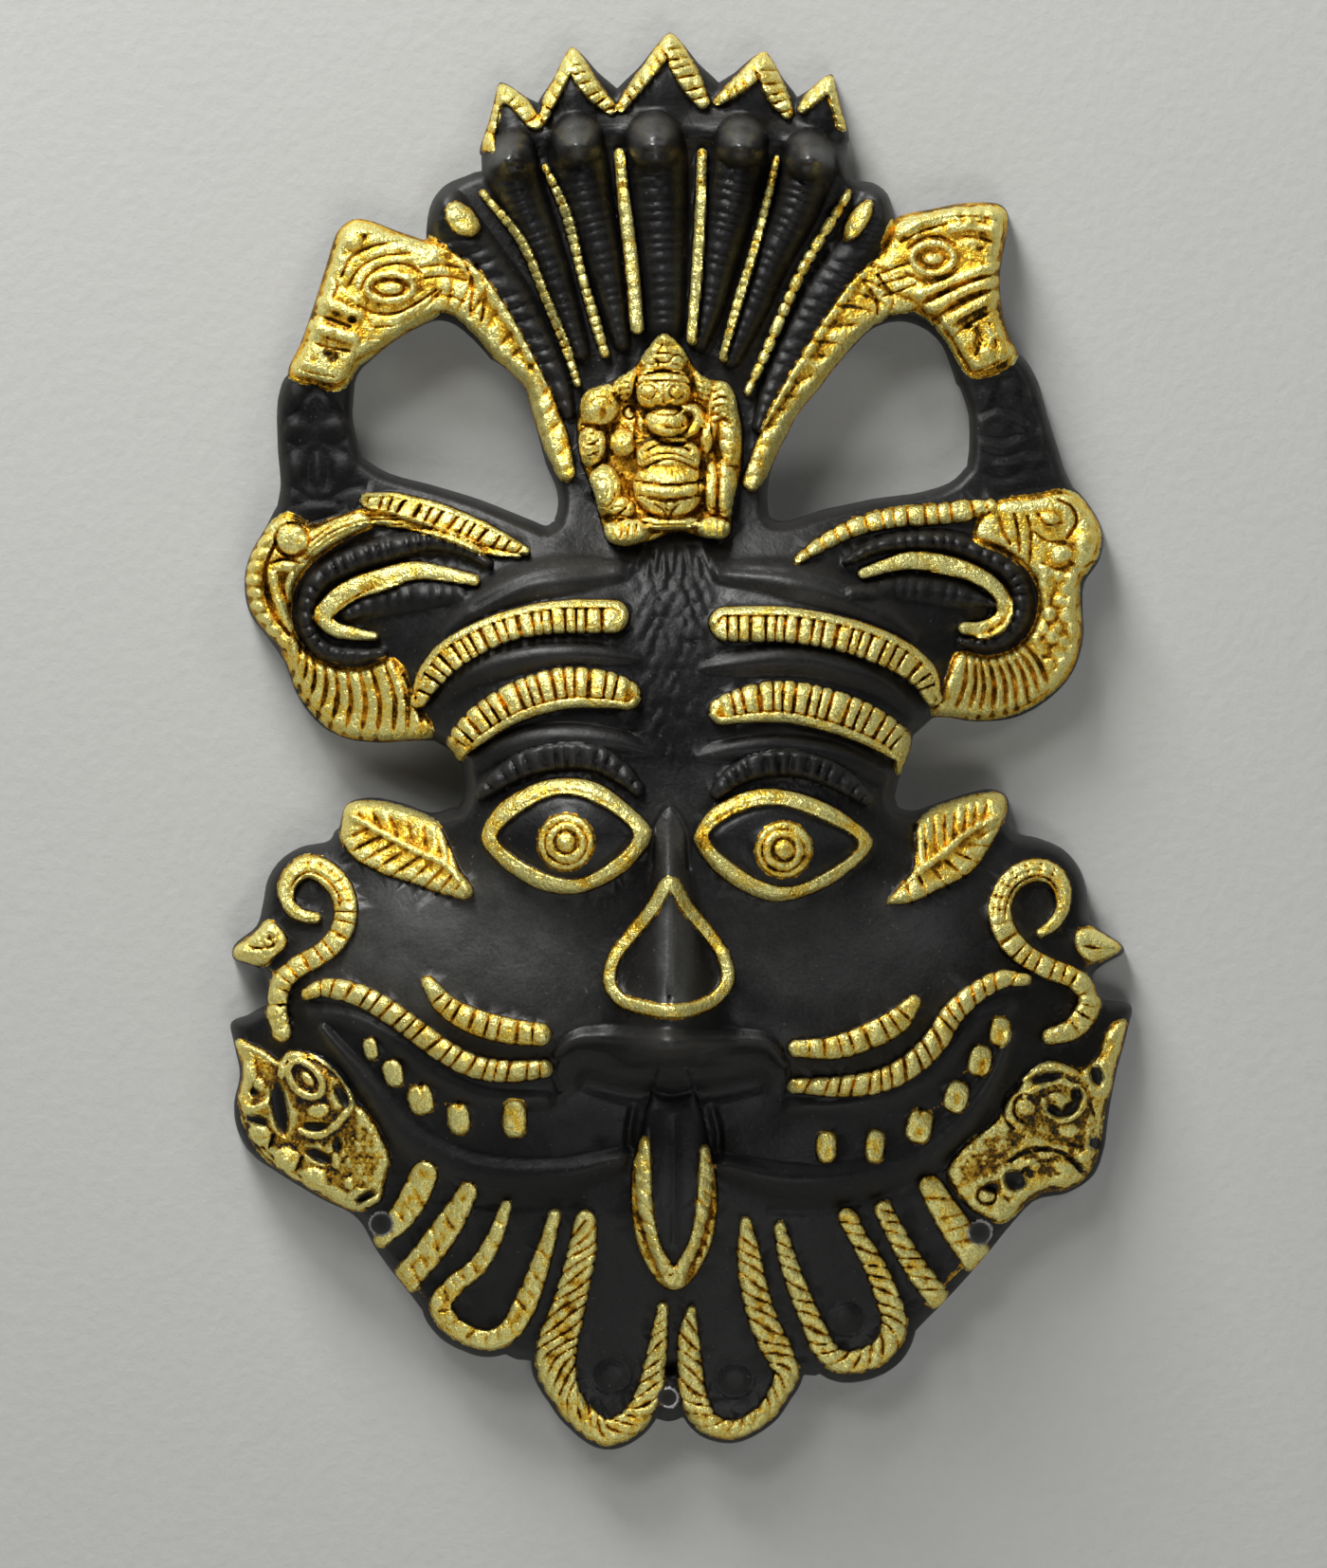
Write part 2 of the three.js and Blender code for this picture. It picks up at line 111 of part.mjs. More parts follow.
  scroll_l: { p: [[-76.9,-179.1],[-77.8,-174.3],[-76.9,-169.8],[-74.1,-166.6],[-69.8,-164.2],[-66.2,-161.2],[-64.3,-157.1],[-64.7,-152.2],[-67.3,-148.5],[-71.4,-146.6],[-74.6,-148.5],[-75.9,-151.8],[-74.8,-154.8],[-72.6,-156.3],[-70.1,-156.7]], w: [4.11,4.24,4.3,4.3,4.3,4.3,4.41,4.56,4.71,4.84,4.99,4.86,4.41,3.68,3.05,2.69,2.24], h: 2.8, k: 'r' },
  scroll_r: { p: [[74.8,-180.1],[78.9,-178.8],[81.9,-175.4],[82.3,-171.5],[79.1,-168.5],[74.4,-166.6],[69.2,-163.6],[65.8,-159.3],[64.9,-154.3],[66.9,-149.8],[71.1,-147.4],[74.8,-147.9],[77,-150.7],[77.2,-154.5],[75.5,-157.8],[72.9,-159.7]], w: [3.37,4.38,4.79,4.58,4.36,4.3,4.38,4.62,4.79,4.81,4.67,4.67,4.81,4.62,3.95,3.16,2.69,1.87], h: 2.8, k: 'r' },
  lip_l: { p: [[-71.8,-171.7],[-68.4,-170.5],[-61.9,-171.9],[-55.9,-175],[-50.1,-179.1],[-44.1,-183.4],[-38.1,-186.3],[-31.4,-187],[-25.1,-186.4]], w: [2.62,4.24,4.67,4.82,4.86,4.86,4.86,4.73,4.6,4.34,3.74], h: 3.4, k: 'r' },
  whisker_l: { p: [[-47.9,-169.6],[-44.5,-173.9],[-38.9,-177.1],[-32.4,-179],[-25.8,-179.7]], w: [2.81,4.24,4.94,5.24,5.24,4.97,4.49], h: 2.8, k: 'r' },
  lip_r: { p: [[69.9,-168.9],[65.1,-168.9],[59.7,-171.9],[55.5,-175.8],[52.4,-180.8],[47.9,-185.3],[42.3,-188.5],[34,-190],[24.3,-189.8]], w: [2.62,3.96,4.28,4.79,5.01,5.05,4.96,4.77,4.53,3.81,2.99], h: 3.4, k: 'r' },
  whisker_r: { p: [[24.7,-182.5],[32.2,-182.3],[38.9,-180.1],[44.5,-177.1],[47.9,-173.3]], w: [3.37,4.11,4.77,5.11,5.31,5.09,2.99], h: 2.8, k: 'r' },
  lip_edge_l: { p: [[-70.7,-175.4],[-61.7,-177.3],[-53.9,-181.8],[-46,-188.1],[-36.7,-192.2],[-24.9,-192.6]], w: 4.86, h: 1.1, k: 's' },
  lip_edge_r: { p: [[66.2,-174.3],[60.2,-177.3],[55.4,-183.6],[48.1,-190],[35.9,-193.7],[23.7,-194.1]], w: 4.86, h: 1.1, k: 's' },
  lower_lip_l: { p: [[-68.8,-178.6],[-59.1,-190.7],[-52,-200.1],[-38.9,-206.8],[-22.1,-207.6],[-8.6,-204.2]], w: [2.99,5.24,7.35,8.81,9.33,9.13,8.13,5.61], h: 2.3, k: 's' },
  lower_lip_r: { p: [[66.9,-179.9],[62.1,-190.7],[52.7,-201.2],[39.6,-207.6],[22.8,-208.7],[9.3,-205.3]], w: [2.99,5.87,7.7,8.85,9.35,9.13,8.08,5.61], h: 2.3, k: 's' },
  upper_fold: { p: [[-22.4,-183.6],[-19.1,-181],[-12.7,-180.5],[-0.7,-181.4],[11.6,-181],[18.7,-181.8],[22.4,-185.5]], w: [2.24,5.16,6.06,6.43,6.68,6.3,5.93,5.31,2.62], h: [2,2.7,2.8,2.9,3,2.9,2.8,2.6,2], k: 's' },
  tongue: { p: [[0.4,-188.9],[0.6,-198.2],[0.6,-209.4],[0.6,-218.8],[0.6,-227.6]], w: [7.48,11.35,13.91,15.43,14.03,10.62,4.86], h: [1.2,2.3,3.1,3.5,3.6,3.3,2.6], k: 'g' },
  tongue_edge: { p: [[-5.2,-201.2],[-5.8,-207.6],[-5.4,-216],[-3.6,-222.9],[0.6,-228],[4.3,-223.8],[6.4,-218.4],[7.1,-210.6],[6.7,-202.7]], w: [2.43,4.06,4.3,4.36,4.49,4.66,4.51,4.34,4.3,3.7,2.24], h: 1.8, k: 'g' },
};
const PADS = {
  beast_head_l: { p: [[-55.7,-21.7],[-59.1,-20.2],[-62.5,-19.8],[-65.1,-21.9],[-67.1,-28.1],[-69.2,-34.8],[-72.2,-43.8],[-74.6,-49],[-70.7,-50.5],[-65.8,-51.4],[-64.3,-50.1],[-62.1,-46.6],[-55.7,-43.4],[-50.1,-38.9],[-46,-35.9],[-44.5,-29.9],[-45.4,-24.7],[-48.2,-23.4]], h: 2.4, e: 2.24 },
  beast_head_r: { p: [[45.3,-19.1],[51.6,-17.6],[58,-16.5],[64.3,-16.8],[65.5,-18.7],[65.1,-23],[64,-29.7],[64.3,-36.5],[65.8,-41.9],[67.1,-45.6],[63.6,-48.2],[59.8,-49],[58,-46.8],[55.7,-42.8],[52.2,-38.3],[47.1,-35.2],[43.4,-33.7],[41.9,-29],[43,-23.4]], h: 2.4, e: 2.24 },
  ear_flange_l: { p: [[-75.9,-77.6],[-79.1,-80.4],[-81.9,-84.2],[-83.2,-89.4],[-82.5,-94.6],[-79.8,-99.1],[-76.3,-103],[-74.8,-107.2],[-72.6,-112.2],[-69.4,-116.3],[-64.5,-120.2],[-58.2,-121.4],[-48.2,-120.8],[-47.9,-118.6],[-50.5,-115],[-52.5,-109.4],[-55.4,-106],[-60.6,-107.7],[-66.6,-107.3],[-71.8,-104.7],[-74.8,-99.9],[-75.2,-93.5],[-72.9,-88.6],[-68.8,-84.5],[-63.6,-81.3],[-59.1,-78.9],[-60.6,-77],[-66.6,-78.2],[-70.7,-79.7]], h: 2, e: 1.68 },
  ear_flange_r: { p: [[63.2,-75.4],[71.4,-74.1],[78.2,-73.3],[82.3,-76.7],[84,-81.2],[83,-85.6],[79.8,-90.1],[79.8,-95.4],[80.4,-100.8],[78.4,-107.3],[74.4,-111.6],[67.7,-115.6],[60.6,-116.9],[52.4,-116.5],[52.7,-114.4],[54.8,-109.4],[57,-104.7],[63,-105.5],[68.8,-103.2],[72.2,-98.4],[72.9,-93.1],[70.7,-87.9],[65.8,-84.2],[60.2,-81.5],[60.6,-78.9]], h: 2, e: 1.68 },
  leaf_l: { p: [[-64,-134.3],[-59.1,-133.9],[-53.9,-134.8],[-49,-136.5],[-45.8,-138.6],[-43.9,-142.1],[-41.9,-146.8],[-39.1,-151.5],[-40.4,-153],[-44.9,-152],[-50.9,-150],[-58,-147.5],[-63.2,-144.2],[-65.1,-139.9]], h: 2.4, e: 1.87 },
  leaf_r: { p: [[65.5,-132.6],[62.1,-132.4],[55.7,-133.9],[50.5,-136.3],[48.2,-139.5],[48.2,-143.6],[47.5,-147.7],[45.3,-150.7],[43,-153.7],[46.8,-153.7],[53.1,-150.9],[59.1,-147.7],[62.8,-142.7],[65.5,-136.9]], h: 2.4, e: 1.87 },
  snake_eye_l: { p: [[-44.5,-17.2],[-43,-15.5],[-40.8,-15.9],[-38.5,-18],[-37.6,-20.6],[-38.9,-22.3],[-41.5,-22.1],[-43.8,-20.2]], h: 2.2, e: 1.5 },
  snake_eye_r: { p: [[39.6,-15.3],[37.4,-15.7],[35.2,-18],[34,-20.9],[34.4,-23],[36.7,-22.4],[38.5,-20.2],[39.6,-18]], h: 2.2, e: 1.5 },
  nub_l: { p: [[-79.5,-157.5],[-77.4,-158.4],[-75.7,-161.4],[-77.8,-164.2],[-81.5,-166.2],[-84.9,-164.9],[-86.2,-163.4],[-83.4,-160.8]], h: 2, e: 1.5 },
  nub_r: { p: [[80,-159.5],[82.3,-158.8],[85.6,-160.1],[88.5,-162.5],[86,-164.4],[83.4,-165.3],[80.8,-164.2],[79.7,-161.9]], h: 2, e: 1.5 },
  jowl_beast_l: { p: [[-85.5,-181.2],[-81,-182.7],[-77.2,-184.9],[-75.5,-183.1],[-71.1,-184.2],[-66.8,-187.4],[-63,-192.2],[-59.5,-195.6],[-57,-199.9],[-55.4,-204.8],[-56.5,-207.9],[-57.6,-212.4],[-63.2,-214.1],[-69.2,-210.9],[-75.5,-207.4],[-80.8,-202.7],[-83.6,-197.8],[-84.9,-192.6],[-84.3,-186.1]], h: 2.2, e: 2.24 },
  jowl_beast_r: { p: [[89.4,-177.3],[86,-179.1],[84.5,-183.6],[81.2,-186.4],[75.7,-185.3],[70.9,-187.7],[67.7,-191.3],[63.6,-197.1],[57.6,-202],[54.6,-206.8],[56.3,-210.7],[60.8,-214.9],[65.5,-216.4],[69.9,-212.4],[74.1,-210],[78.5,-209.6],[81.9,-206.8],[83.8,-202.7],[84.9,-195.4],[87.3,-187]], h: 2.2, e: 2.24 },
};
const EYES = {
  left: { lid: [[-37.6,-141],[-35,-135.2],[-28.4,-130.7],[-20.9,-129],[-14.2,-130.2],[-8.2,-134.5],[-3.7,-139.9],[-7.5,-146.2],[-12.7,-150],[-19.1,-152],[-26.7,-150.9],[-34.4,-145.7]], ball: [[-34.2,-140.8],[-28.1,-134.8],[-20.9,-132.4],[-13.1,-135],[-7.5,-140.4],[-12.3,-146],[-19.1,-149],[-27.3,-146.8]], iris: [-20.8,-141.7], r: 5.61 },
  right: { lid: [[4.5,-141],[7.5,-135.6],[12.7,-132.4],[18.3,-131.1],[26.6,-132.4],[34.6,-136.3],[39.8,-141.7],[34.6,-148.1],[27.7,-152],[20.6,-153.5],[13.5,-151.1],[7.5,-146.4]], ball: [[7.5,-140.6],[13.5,-135.9],[20.2,-134.5],[28.8,-136.9],[37,-142.1],[29.9,-148.1],[22.1,-150.5],[13.5,-147]], iris: [22.3,-143.2], r: 5.61 },
};
const HEART = [[-0.2,-150],[-3.7,-154.8],[-8.2,-160.4],[-11.2,-164.6],[-12.2,-169.4],[-10.1,-172.8],[-6,-174.3],[-0.2,-175.2],[5.2,-174.5],[9,-172.4],[11.2,-169],[10.5,-164.6],[7.5,-159.9],[3.4,-154.8]];
const TEETH = [[-59.3,-182.5,2.99,4.49,-12], [-54.8,-187.4,4.11,5.61,-14], [-49.4,-192.6,5.05,5.98,-12], [-41.9,-196.3,4.49,6.36,-8], [-30.9,-196.3,4.86,7.48,0], [30.7,-202,4.11,6.36,0], [40.2,-201.8,3.93,6.54,6], [49,-197.8,5.24,6.73,14], [56.3,-192,4.86,6.36,18], [61,-184.9,4.67,6.36,14], [64.9,-179.1,4.11,5.8,10]];
const DEITY = [[-1.5,-41.5],[-4.5,-44.1],[-7.5,-48.2],[-11.8,-50.9],[-17,-53.1],[-18.5,-58],[-18.1,-64.7],[-16.8,-69.2],[-15.1,-73.5],[-13.8,-78.5],[-12.5,-82.3],[-9.7,-83.6],[-4.3,-82.5],[1.3,-80.6],[6.7,-81.7],[11.2,-81.7],[12.3,-74.8],[14,-67.3],[13.8,-58],[11.2,-51.2],[6.7,-50.1],[4.5,-47.9],[1.9,-43.8]];
// its rounded body masses: x, z, half-width, half-height, height, lean in degrees
const MASSES = [[-1.5,-45.6,4.86,4.86,3.8,0], [-1.7,-52.4,5.8,5.05,4.8,0], [-9,-50.9,2.24,3.93,3.4,8], [6.4,-51.2,1.68,3.74,3.2,-8], [-14.2,-55.2,4.11,4.49,3.2,0], [10.1,-55.2,2.99,4.49,3,0], [11.6,-61.3,2.43,6.73,2.8,-3], [7.5,-60.8,1.68,4.49,2.6,12], [-15.7,-63.6,2.99,4.11,3.2,8], [-9.7,-63,2.62,2.81,3.6,0], [-0.9,-58.7,4.49,3.18,5.4,0], [-0.4,-65.8,6.73,4.11,4.8,0], [-0.4,-71.6,7.29,6.36,5.4,0], [-13.1,-72.2,3.37,5.05,4.2,-4], [-9.9,-75.9,2.99,2.62,3.2,20], [10.7,-72,2.62,5.98,3.8,-3], [8,-72,1.68,5.24,3.2,0], [-8.8,-80.4,4.67,2.81,4,-4], [8.4,-79.8,3.37,2.43,3.8,0], [-0.6,-78.7,7.11,1.5,2.6,0]];
const TRUNK = { p: [[-3,-60.2],[-0.7,-61.3],[1.9,-61.5],[4.3,-60.2],[5.4,-58.2],[4.3,-56.3],[2.6,-56.3]], w: [1.5,2.15,2.58,2.81,2.81,2.66,2.37,2.08,1.5] };

// ---------------------------------------------------------------- curves
function spline(P, closed = false, step = 0.8) {
  const n = P.length, out = [], m = closed ? n : n - 1;
  const at = (i) => P[(i + n) % n];
  for (let i = 0; i < m; i++) {
    const p1 = at(i), p2 = at(i + 1);
    const p0 = closed || i > 0 ? at(i - 1) : [2 * p1[0] - p2[0], 2 * p1[1] - p2[1]];
    const p3 = closed || i + 2 < n ? at(i + 2) : [2 * p2[0] - p1[0], 2 * p2[1] - p1[1]];
    const len = (a, b) => Math.max(Math.hypot(a[0] - b[0], a[1] - b[1]), 1e-6);
    const a1 = Math.sqrt(len(p0, p1)), a2 = Math.sqrt(len(p1, p2)), a3 = Math.sqrt(len(p2, p3));
    const k = Math.max(1, Math.ceil(len(p1, p2) / step));
    for (let j = 0; j < k; j++) {
      const t = j / k, t2 = t * t, t3 = t2 * t, q = [0, 0];
      for (let c = 0; c < 2; c++) {
        const m1 = a2 * ((p2[c] - p1[c]) / a2 - (p2[c] - p0[c]) / (a1 + a2) + (p1[c] - p0[c]) / a1);
        const m2 = a2 * ((p3[c] - p2[c]) / a3 - (p3[c] - p1[c]) / (a2 + a3) + (p2[c] - p1[c]) / a2);
        q[c] = (2 * t3 - 3 * t2 + 1) * p1[c] + (t3 - 2 * t2 + t) * m1 + (3 * t2 - 2 * t3) * p2[c] + (t3 - t2) * m2;
      }
      out.push(q);
    }
  }
  if (!closed) out.push(P[n - 1]);
  return out;
}
const along = (v, s) => { const t = s * (v.length - 1), a = Math.min(v.length - 1, Math.floor(t)), b = Math.min(v.length - 1, a + 1); return v[a] + (v[b] - v[a]) * (t - a); };
const clamp = (t, a = 0, b = 1) => Math.min(b, Math.max(a, t));
const smooth = (t) => { t = clamp(t); return t * t * (3 - 2 * t); };
const SECTION = {
  r: (q) => Math.sqrt(Math.max(0, 1 - q * q)),
  s: (q) => (1 - q * q) ** 2,
  c: (q) => 1 - q * q,
  g: (q) => Math.sqrt(Math.max(0, 1 - q ** 4)),
};

// ---------------------------------------------------------------- working grid
const X0 = -90, Z0 = -266, NX = Math.ceil(183 / CELL) + 1, NZ = Math.ceil(288 / CELL) + 1;
const gx = (i) => X0 + i * CELL, gz = (k) => Z0 + k * CELL;
const id = (i, k) => k * NX + i;
const field = (v) => new Float64Array(NX * NZ).fill(v);

// distance, arc position and total length of a polyline on the cells around it
function near(line, R, closed = false) {
  const D = new Map();
  const L = closed ? [...line, line[0]] : line;
  let s = 0;
  for (let n = 0; n + 1 < L.length; n++) {
    const [ax, az] = L[n], dx = L[n + 1][0] - ax, dz = L[n + 1][1] - az, len = Math.hypot(dx, dz);
    if (len < 1e-9) continue;
    const i0 = Math.max(0, Math.floor((Math.min(ax, ax + dx) - R - X0) / CELL)), i1 = Math.min(NX - 1, Math.ceil((Math.max(ax, ax + dx) + R - X0) / CELL));
    const k0 = Math.max(0, Math.floor((Math.min(az, az + dz) - R - Z0) / CELL)), k1 = Math.min(NZ - 1, Math.ceil((Math.max(az, az + dz) + R - Z0) / CELL));
    for (let k = k0; k <= k1; k++) for (let i = i0; i <= i1; i++) {
      const px = gx(i) - ax, pz = gz(k) - az, t = clamp((px * dx + pz * dz) / (len * len));
      const d = Math.hypot(px - t * dx, pz - t * dz);
      if (d > R) continue;
      const c = id(i, k), o = D.get(c);
      if (!o || d < o[0]) D.set(c, [d, s + t * len]);
    }
    s += len;
  }
  return { D, length: s };
}
function inside(line, x, z) {
  let c = false;
  for (let a = 0, b = line.length - 1; a < line.length; b = a++) {
    const [xa, za] = line[a], [xb, zb] = line[b];
    if ((za <= z) !== (zb <= z) && x < xa + (z - za) / (zb - za) * (xb - xa)) c = !c;
  }
  return c;
}
// signed distance to a closed curve, positive inside and limited to R
function region(line, R, visit) {
  const { D } = near(line, R, true);
  const xs = line.map((p) => p[0]), zs = line.map((p) => p[1]);
  const i0 = Math.max(0, Math.floor((Math.min(...xs) - R - X0) / CELL)), i1 = Math.min(NX - 1, Math.ceil((Math.max(...xs) + R - X0) / CELL));
  const k0 = Math.max(0, Math.floor((Math.min(...zs) - R - Z0) / CELL)), k1 = Math.min(NZ - 1, Math.ceil((Math.max(...zs) + R - Z0) / CELL));
  for (let k = k0; k <= k1; k++) for (let i = i0; i <= i1; i++) {
    const c = id(i, k), o = D.get(c), d = o ? o[0] : R;
    visit(c, inside(line, gx(i), gz(k)) ? d : -d);
  }
}

// ---------------------------------------------------------------- silhouette
const F = field(-50);
const union = (c, d) => { if (d > F[c]) F[c] = d; };
for (const part of Object.values(OUTLINE)) region(part.smooth ? spline(part.p, true, 1.2) : part.p, 8, union);
for (const { tip, left, right } of SPIKES) {
  const mix = (b, f) => [tip[0] + (b[0] - tip[0]) * f, tip[1] + (b[1] - tip[1]) * f];
  region(spline([left, mix(left, 0.5), mix(left, 0.17), [tip[0], tip[1] - 0.75], mix(right, 0.17), mix(right, 0.5), right, [(left[0] + right[0]) / 2, -3.7]], true), 8, union);
}
for (const { p, w, edge } of Object.values(LOCKS)) {
  if (!edge) continue;
  const line = spline(p), { D, length } = near(line, Math.max(...[w].flat()) / 2 + edge + 1);
  for (const [c, [d, s]] of D) union(c, along([w].flat(), s / length) / 2 + edge - d);
  region(line, 6, union);
}
for (const { at, r } of LUGS) for (let k = 0; k < NZ; k++) for (let i = 0; i < NX; i++) union(id(i, k), r - Math.hypot(gx(i) - at[0], gz(k) - at[1]));
for (const p of Object.values(OPENINGS)) region(spline(p, true), 8, (c, d) => { F[c] = Math.min(F[c], -d); });

// true distance to the outline near the edge
{
  const R = 8, segs = [], cut = (i, k, j, l) => { const a = F[id(i, k)], b = F[id(j, l)], t = a / (a - b); return [gx(i) + (j - i) * t * CELL, gz(k) + (l - k) * t * CELL]; };
  const inn = Uint8Array.from(F, (v) => (v > 0 ? 1 : 0));
  for (let k = 0; k + 1 < NZ; k++) for (let i = 0; i + 1 < NX; i++) {
    const c = [[i, k], [i + 1, k], [i + 1, k + 1], [i, k + 1]], pts = [];
    for (let e = 0; e < 4; e++) { const a = c[e], b = c[(e + 1) % 4]; if (inn[id(...a)] !== inn[id(...b)]) pts.push(cut(...a, ...b)); }
    for (let e = 0; e + 1 < pts.length; e += 2) segs.push([pts[e], pts[e + 1]]);
  }
  const D = field(R);
  const reach = Math.ceil(R / CELL) + 1;
  for (const [[ax, az], [bx, bz]] of segs) {
    const dx = bx - ax, dz = bz - az, l2 = dx * dx + dz * dz + 1e-12, ic = Math.round((ax - X0) / CELL), kc = Math.round((az - Z0) / CELL);
    for (let k = Math.max(0, kc - reach); k <= Math.min(NZ - 1, kc + reach); k++) for (let i = Math.max(0, ic - reach); i <= Math.min(NX - 1, ic + reach); i++) {
      const px = gx(i) - ax, pz = gz(k) - az, t = clamp((px * dx + pz * dz) / l2), d = Math.hypot(px - t * dx, pz - t * dz), c = id(i, k);
      if (d < D[c]) D[c] = d;
    }
  }
  for (let c = 0; c < F.length; c++) F[c] = inn[c] ? D[c] : -D[c];
}

// ---------------------------------------------------------------- ground surface
// a thin-plate surface through the depth stations
const GROUND = (() => {
  const st = [];
  for (const [a, z, h] of DEPTHS) { st.push([a, z, h]); if (a) st.push([-a, z, h]); }
  const n = st.length, N = n + 3, U = (r2) => r2 * Math.log(Math.max(r2, 1e-9));
  const A = Array.from({ length: N }, () => new Float64Array(N + 1));
  st.forEach((p, i) => {
    st.forEach((q, j) => { A[i][j] = U((p[0] - q[0]) ** 2 + (p[1] - q[1]) ** 2) + (i === j ? 40 : 0); });
    A[i][n] = A[n][i] = 1; A[i][n + 1] = A[n + 1][i] = p[0]; A[i][n + 2] = A[n + 2][i] = p[1]; A[i][N] = p[2];
  });
  for (let c = 0; c < N; c++) {
    let b = c;
    for (let r = c + 1; r < N; r++) if (Math.abs(A[r][c]) > Math.abs(A[b][c])) b = r;
    [A[c], A[b]] = [A[b], A[c]];
    for (let r = 0; r < N; r++) if (r !== c && A[r][c]) { const f = A[r][c] / A[c][c]; for (let k = c; k <= N; k++) A[r][k] -= f * A[c][k]; }
  }
  const w = A.map((row, i) => row[N] / row[i]);
  return (x, z) => { let h = w[n] + w[n + 1] * x + w[n + 2] * z; for (let i = 0; i < n; i++) h += w[i] * U((x - st[i][0]) ** 2 + (z - st[i][1]) ** 2); return h; };
})();
const B = field(0), H = field(0);
for (let k = 0; k < NZ; k++) for (let i = 0; i < NX; i++) if (F[id(i, k)] > -2 * CELL) B[id(i, k)] = GROUND(gx(i), gz(k));
H.set(B);

// ---------------------------------------------------------------- raised work
const each = (fn) => { for (let k = 0; k < NZ; k++) for (let i = 0; i < NX; i++) if (F[id(i, k)] > -2 * CELL) fn(id(i, k), gx(i), gz(k)); };
for (const { at, r } of COBRAS) each((c, x, z) => {
  const q = Math.hypot((x - at[0]) / (1.2 * r), (z - at[1]) / (1.25 * r));
  if (q < 1) H[c] += COBRA_HEAD_H * (1 - q * q) ** 0.85;
});
const UNDER = field(0);   // the arches, which the beast heads grow out of
function ridge(p, w, h, k, u) {
  const ws = [w].flat(), hs = [h].flat(), { D, length } = near(spline(p), Math.max(...ws) / 2);
  for (const [c, [d, s]] of D) {
    const q = 2 * d / along(ws, s / length);
    if (q >= 1) continue;
    const rise = along(hs, s / length) * SECTION[k](q);
    H[c] += rise;
    if (u) UNDER[c] = Math.max(UNDER[c], rise);
  }
}
for (const { p, w, h, k, u } of Object.values(RIDGES)) ridge(p, w, h, k, u);
for (const { p, w } of Object.values(LOCKS)) ridge(p, w, LOCK_H, 'g');
const dome = (d, run) => (d > 0 ? Math.sqrt(Math.max(0, 1 - (1 - clamp(d / run)) ** 2)) : 0);
for (const { p, h, e } of Object.values(PADS)) region(spline(p, true), e + 1, (c, d) => { H[c] += Math.max(0, h * dome(d, e) - UNDER[c]); });
for (const { lid, ball, iris, r } of Object.values(EYES)) {
  const outer = field(-9), inner = field(-9);
  region(spline(lid, true), 16, (c, d) => { outer[c] = d; });
  region(spline(ball, true), 16, (c, d) => { inner[c] = d; });
  each((c, x, z) => {
    H[c] += EYE_BULGE * dome(outer[c], EYE_BULGE_RUN) + LID_H * smooth(Math.min(outer[c], -inner[c]) / 0.9);
    const q = Math.hypot(x - iris[0], z - iris[1]) / r;
    if (q < 1) H[c] += IRIS_H * Math.sqrt(1 - q * q);
  });
}
// the nose: a ridge that widens from its root to the tip, cut short above the mouth
each((c, x, z) => {
  const t = clamp((NOSE.root - z) / (NOSE.root - NOSE.tip)), a = Math.abs(x - NOSE.x) / (NOSE.halfTop + NOSE.halfGrow * t);
  if (a < 1.15) H[c] += (NOSE.h0 + NOSE.h1 * t ** 1.1) * (0.34 * Math.exp(-((2.2 * a) ** 2)) + 0.66 * (1 - smooth(a / 1.15))) * smooth((NOSE.top - z) / 16) * smooth((z - NOSE.end) / 4);
});
for (const [c, [d]] of near(spline(HEART, true), HEART_W / 2, true).D) H[c] += HEART_H * SECTION.g(d * 2 / HEART_W);
for (const [x0, z0, w, h, lean] of TEETH) {
  const ca = Math.cos(lean * Math.PI / 180), sa = Math.sin(lean * Math.PI / 180);
  each((c, x, z) => {
    const u = ((x - x0) * ca - (z - z0) * sa) * 2 / w, v = ((x - x0) * sa + (z - z0) * ca) * 2 / h;
    const q = (Math.abs(u) ** 2.6 + Math.abs(v) ** 2.6) ** (1 / 2.6);
    if (q < 1) H[c] += TOOTH_H * Math.sqrt(1 - q * q);
  });
}
// the seated elephant-headed figure: a plate with rounded body masses on it.
const DEITY_H = 3.0, DEITY_EDGE = 2.2;
{
  const plate = field(0);
  region(spline(DEITY, true), 8, (c, d) => { plate[c] = DEITY_H * dome(d, DEITY_EDGE); });
  each((c, x, z) => {
    if (!plate[c]) return;
    let top = 0;
    for (const [x0, z0, a, b, h, lean] of MASSES) {
      const ca = Math.cos(lean * Math.PI / 180), sa = Math.sin(lean * Math.PI / 180);
      const q = Math.hypot(((x - x0) * ca - (z - z0) * sa) / a, ((x - x0) * sa + (z - z0) * ca) / b);
      if (q < 1) top = Math.max(top, h * Math.sqrt(1 - q * q));
    }
    H[c] += plate[c] + top;
  });
  ridge(TRUNK.p, TRUNK.w, 2.6, 'r');
}

// ---------------------------------------------------------------- edges, holes, hollow
for (let c = 0; c < F.length; c++) H[c] *= EDGE_SQUARE + (1 - EDGE_SQUARE) * dome(clamp(F[c] / EDGE_R, 1e-9, 1), 1);
for (const { at, r } of HOLES) for (let k = 0; k < NZ; k++) for (let i = 0; i < NX; i++) {
  const c = id(i, k), d = Math.hypot(gx(i) - at[0], gz(k) - at[1]) - r;
  if (d < F[c]) F[c] = d;
}
const back = (c, z) => Math.max(0, B[c] - WALL) * smooth((F[c] - RIM) / HOLLOW_RUN) * smooth((HOLLOW_TOP - z) / HOLLOW_RISE);

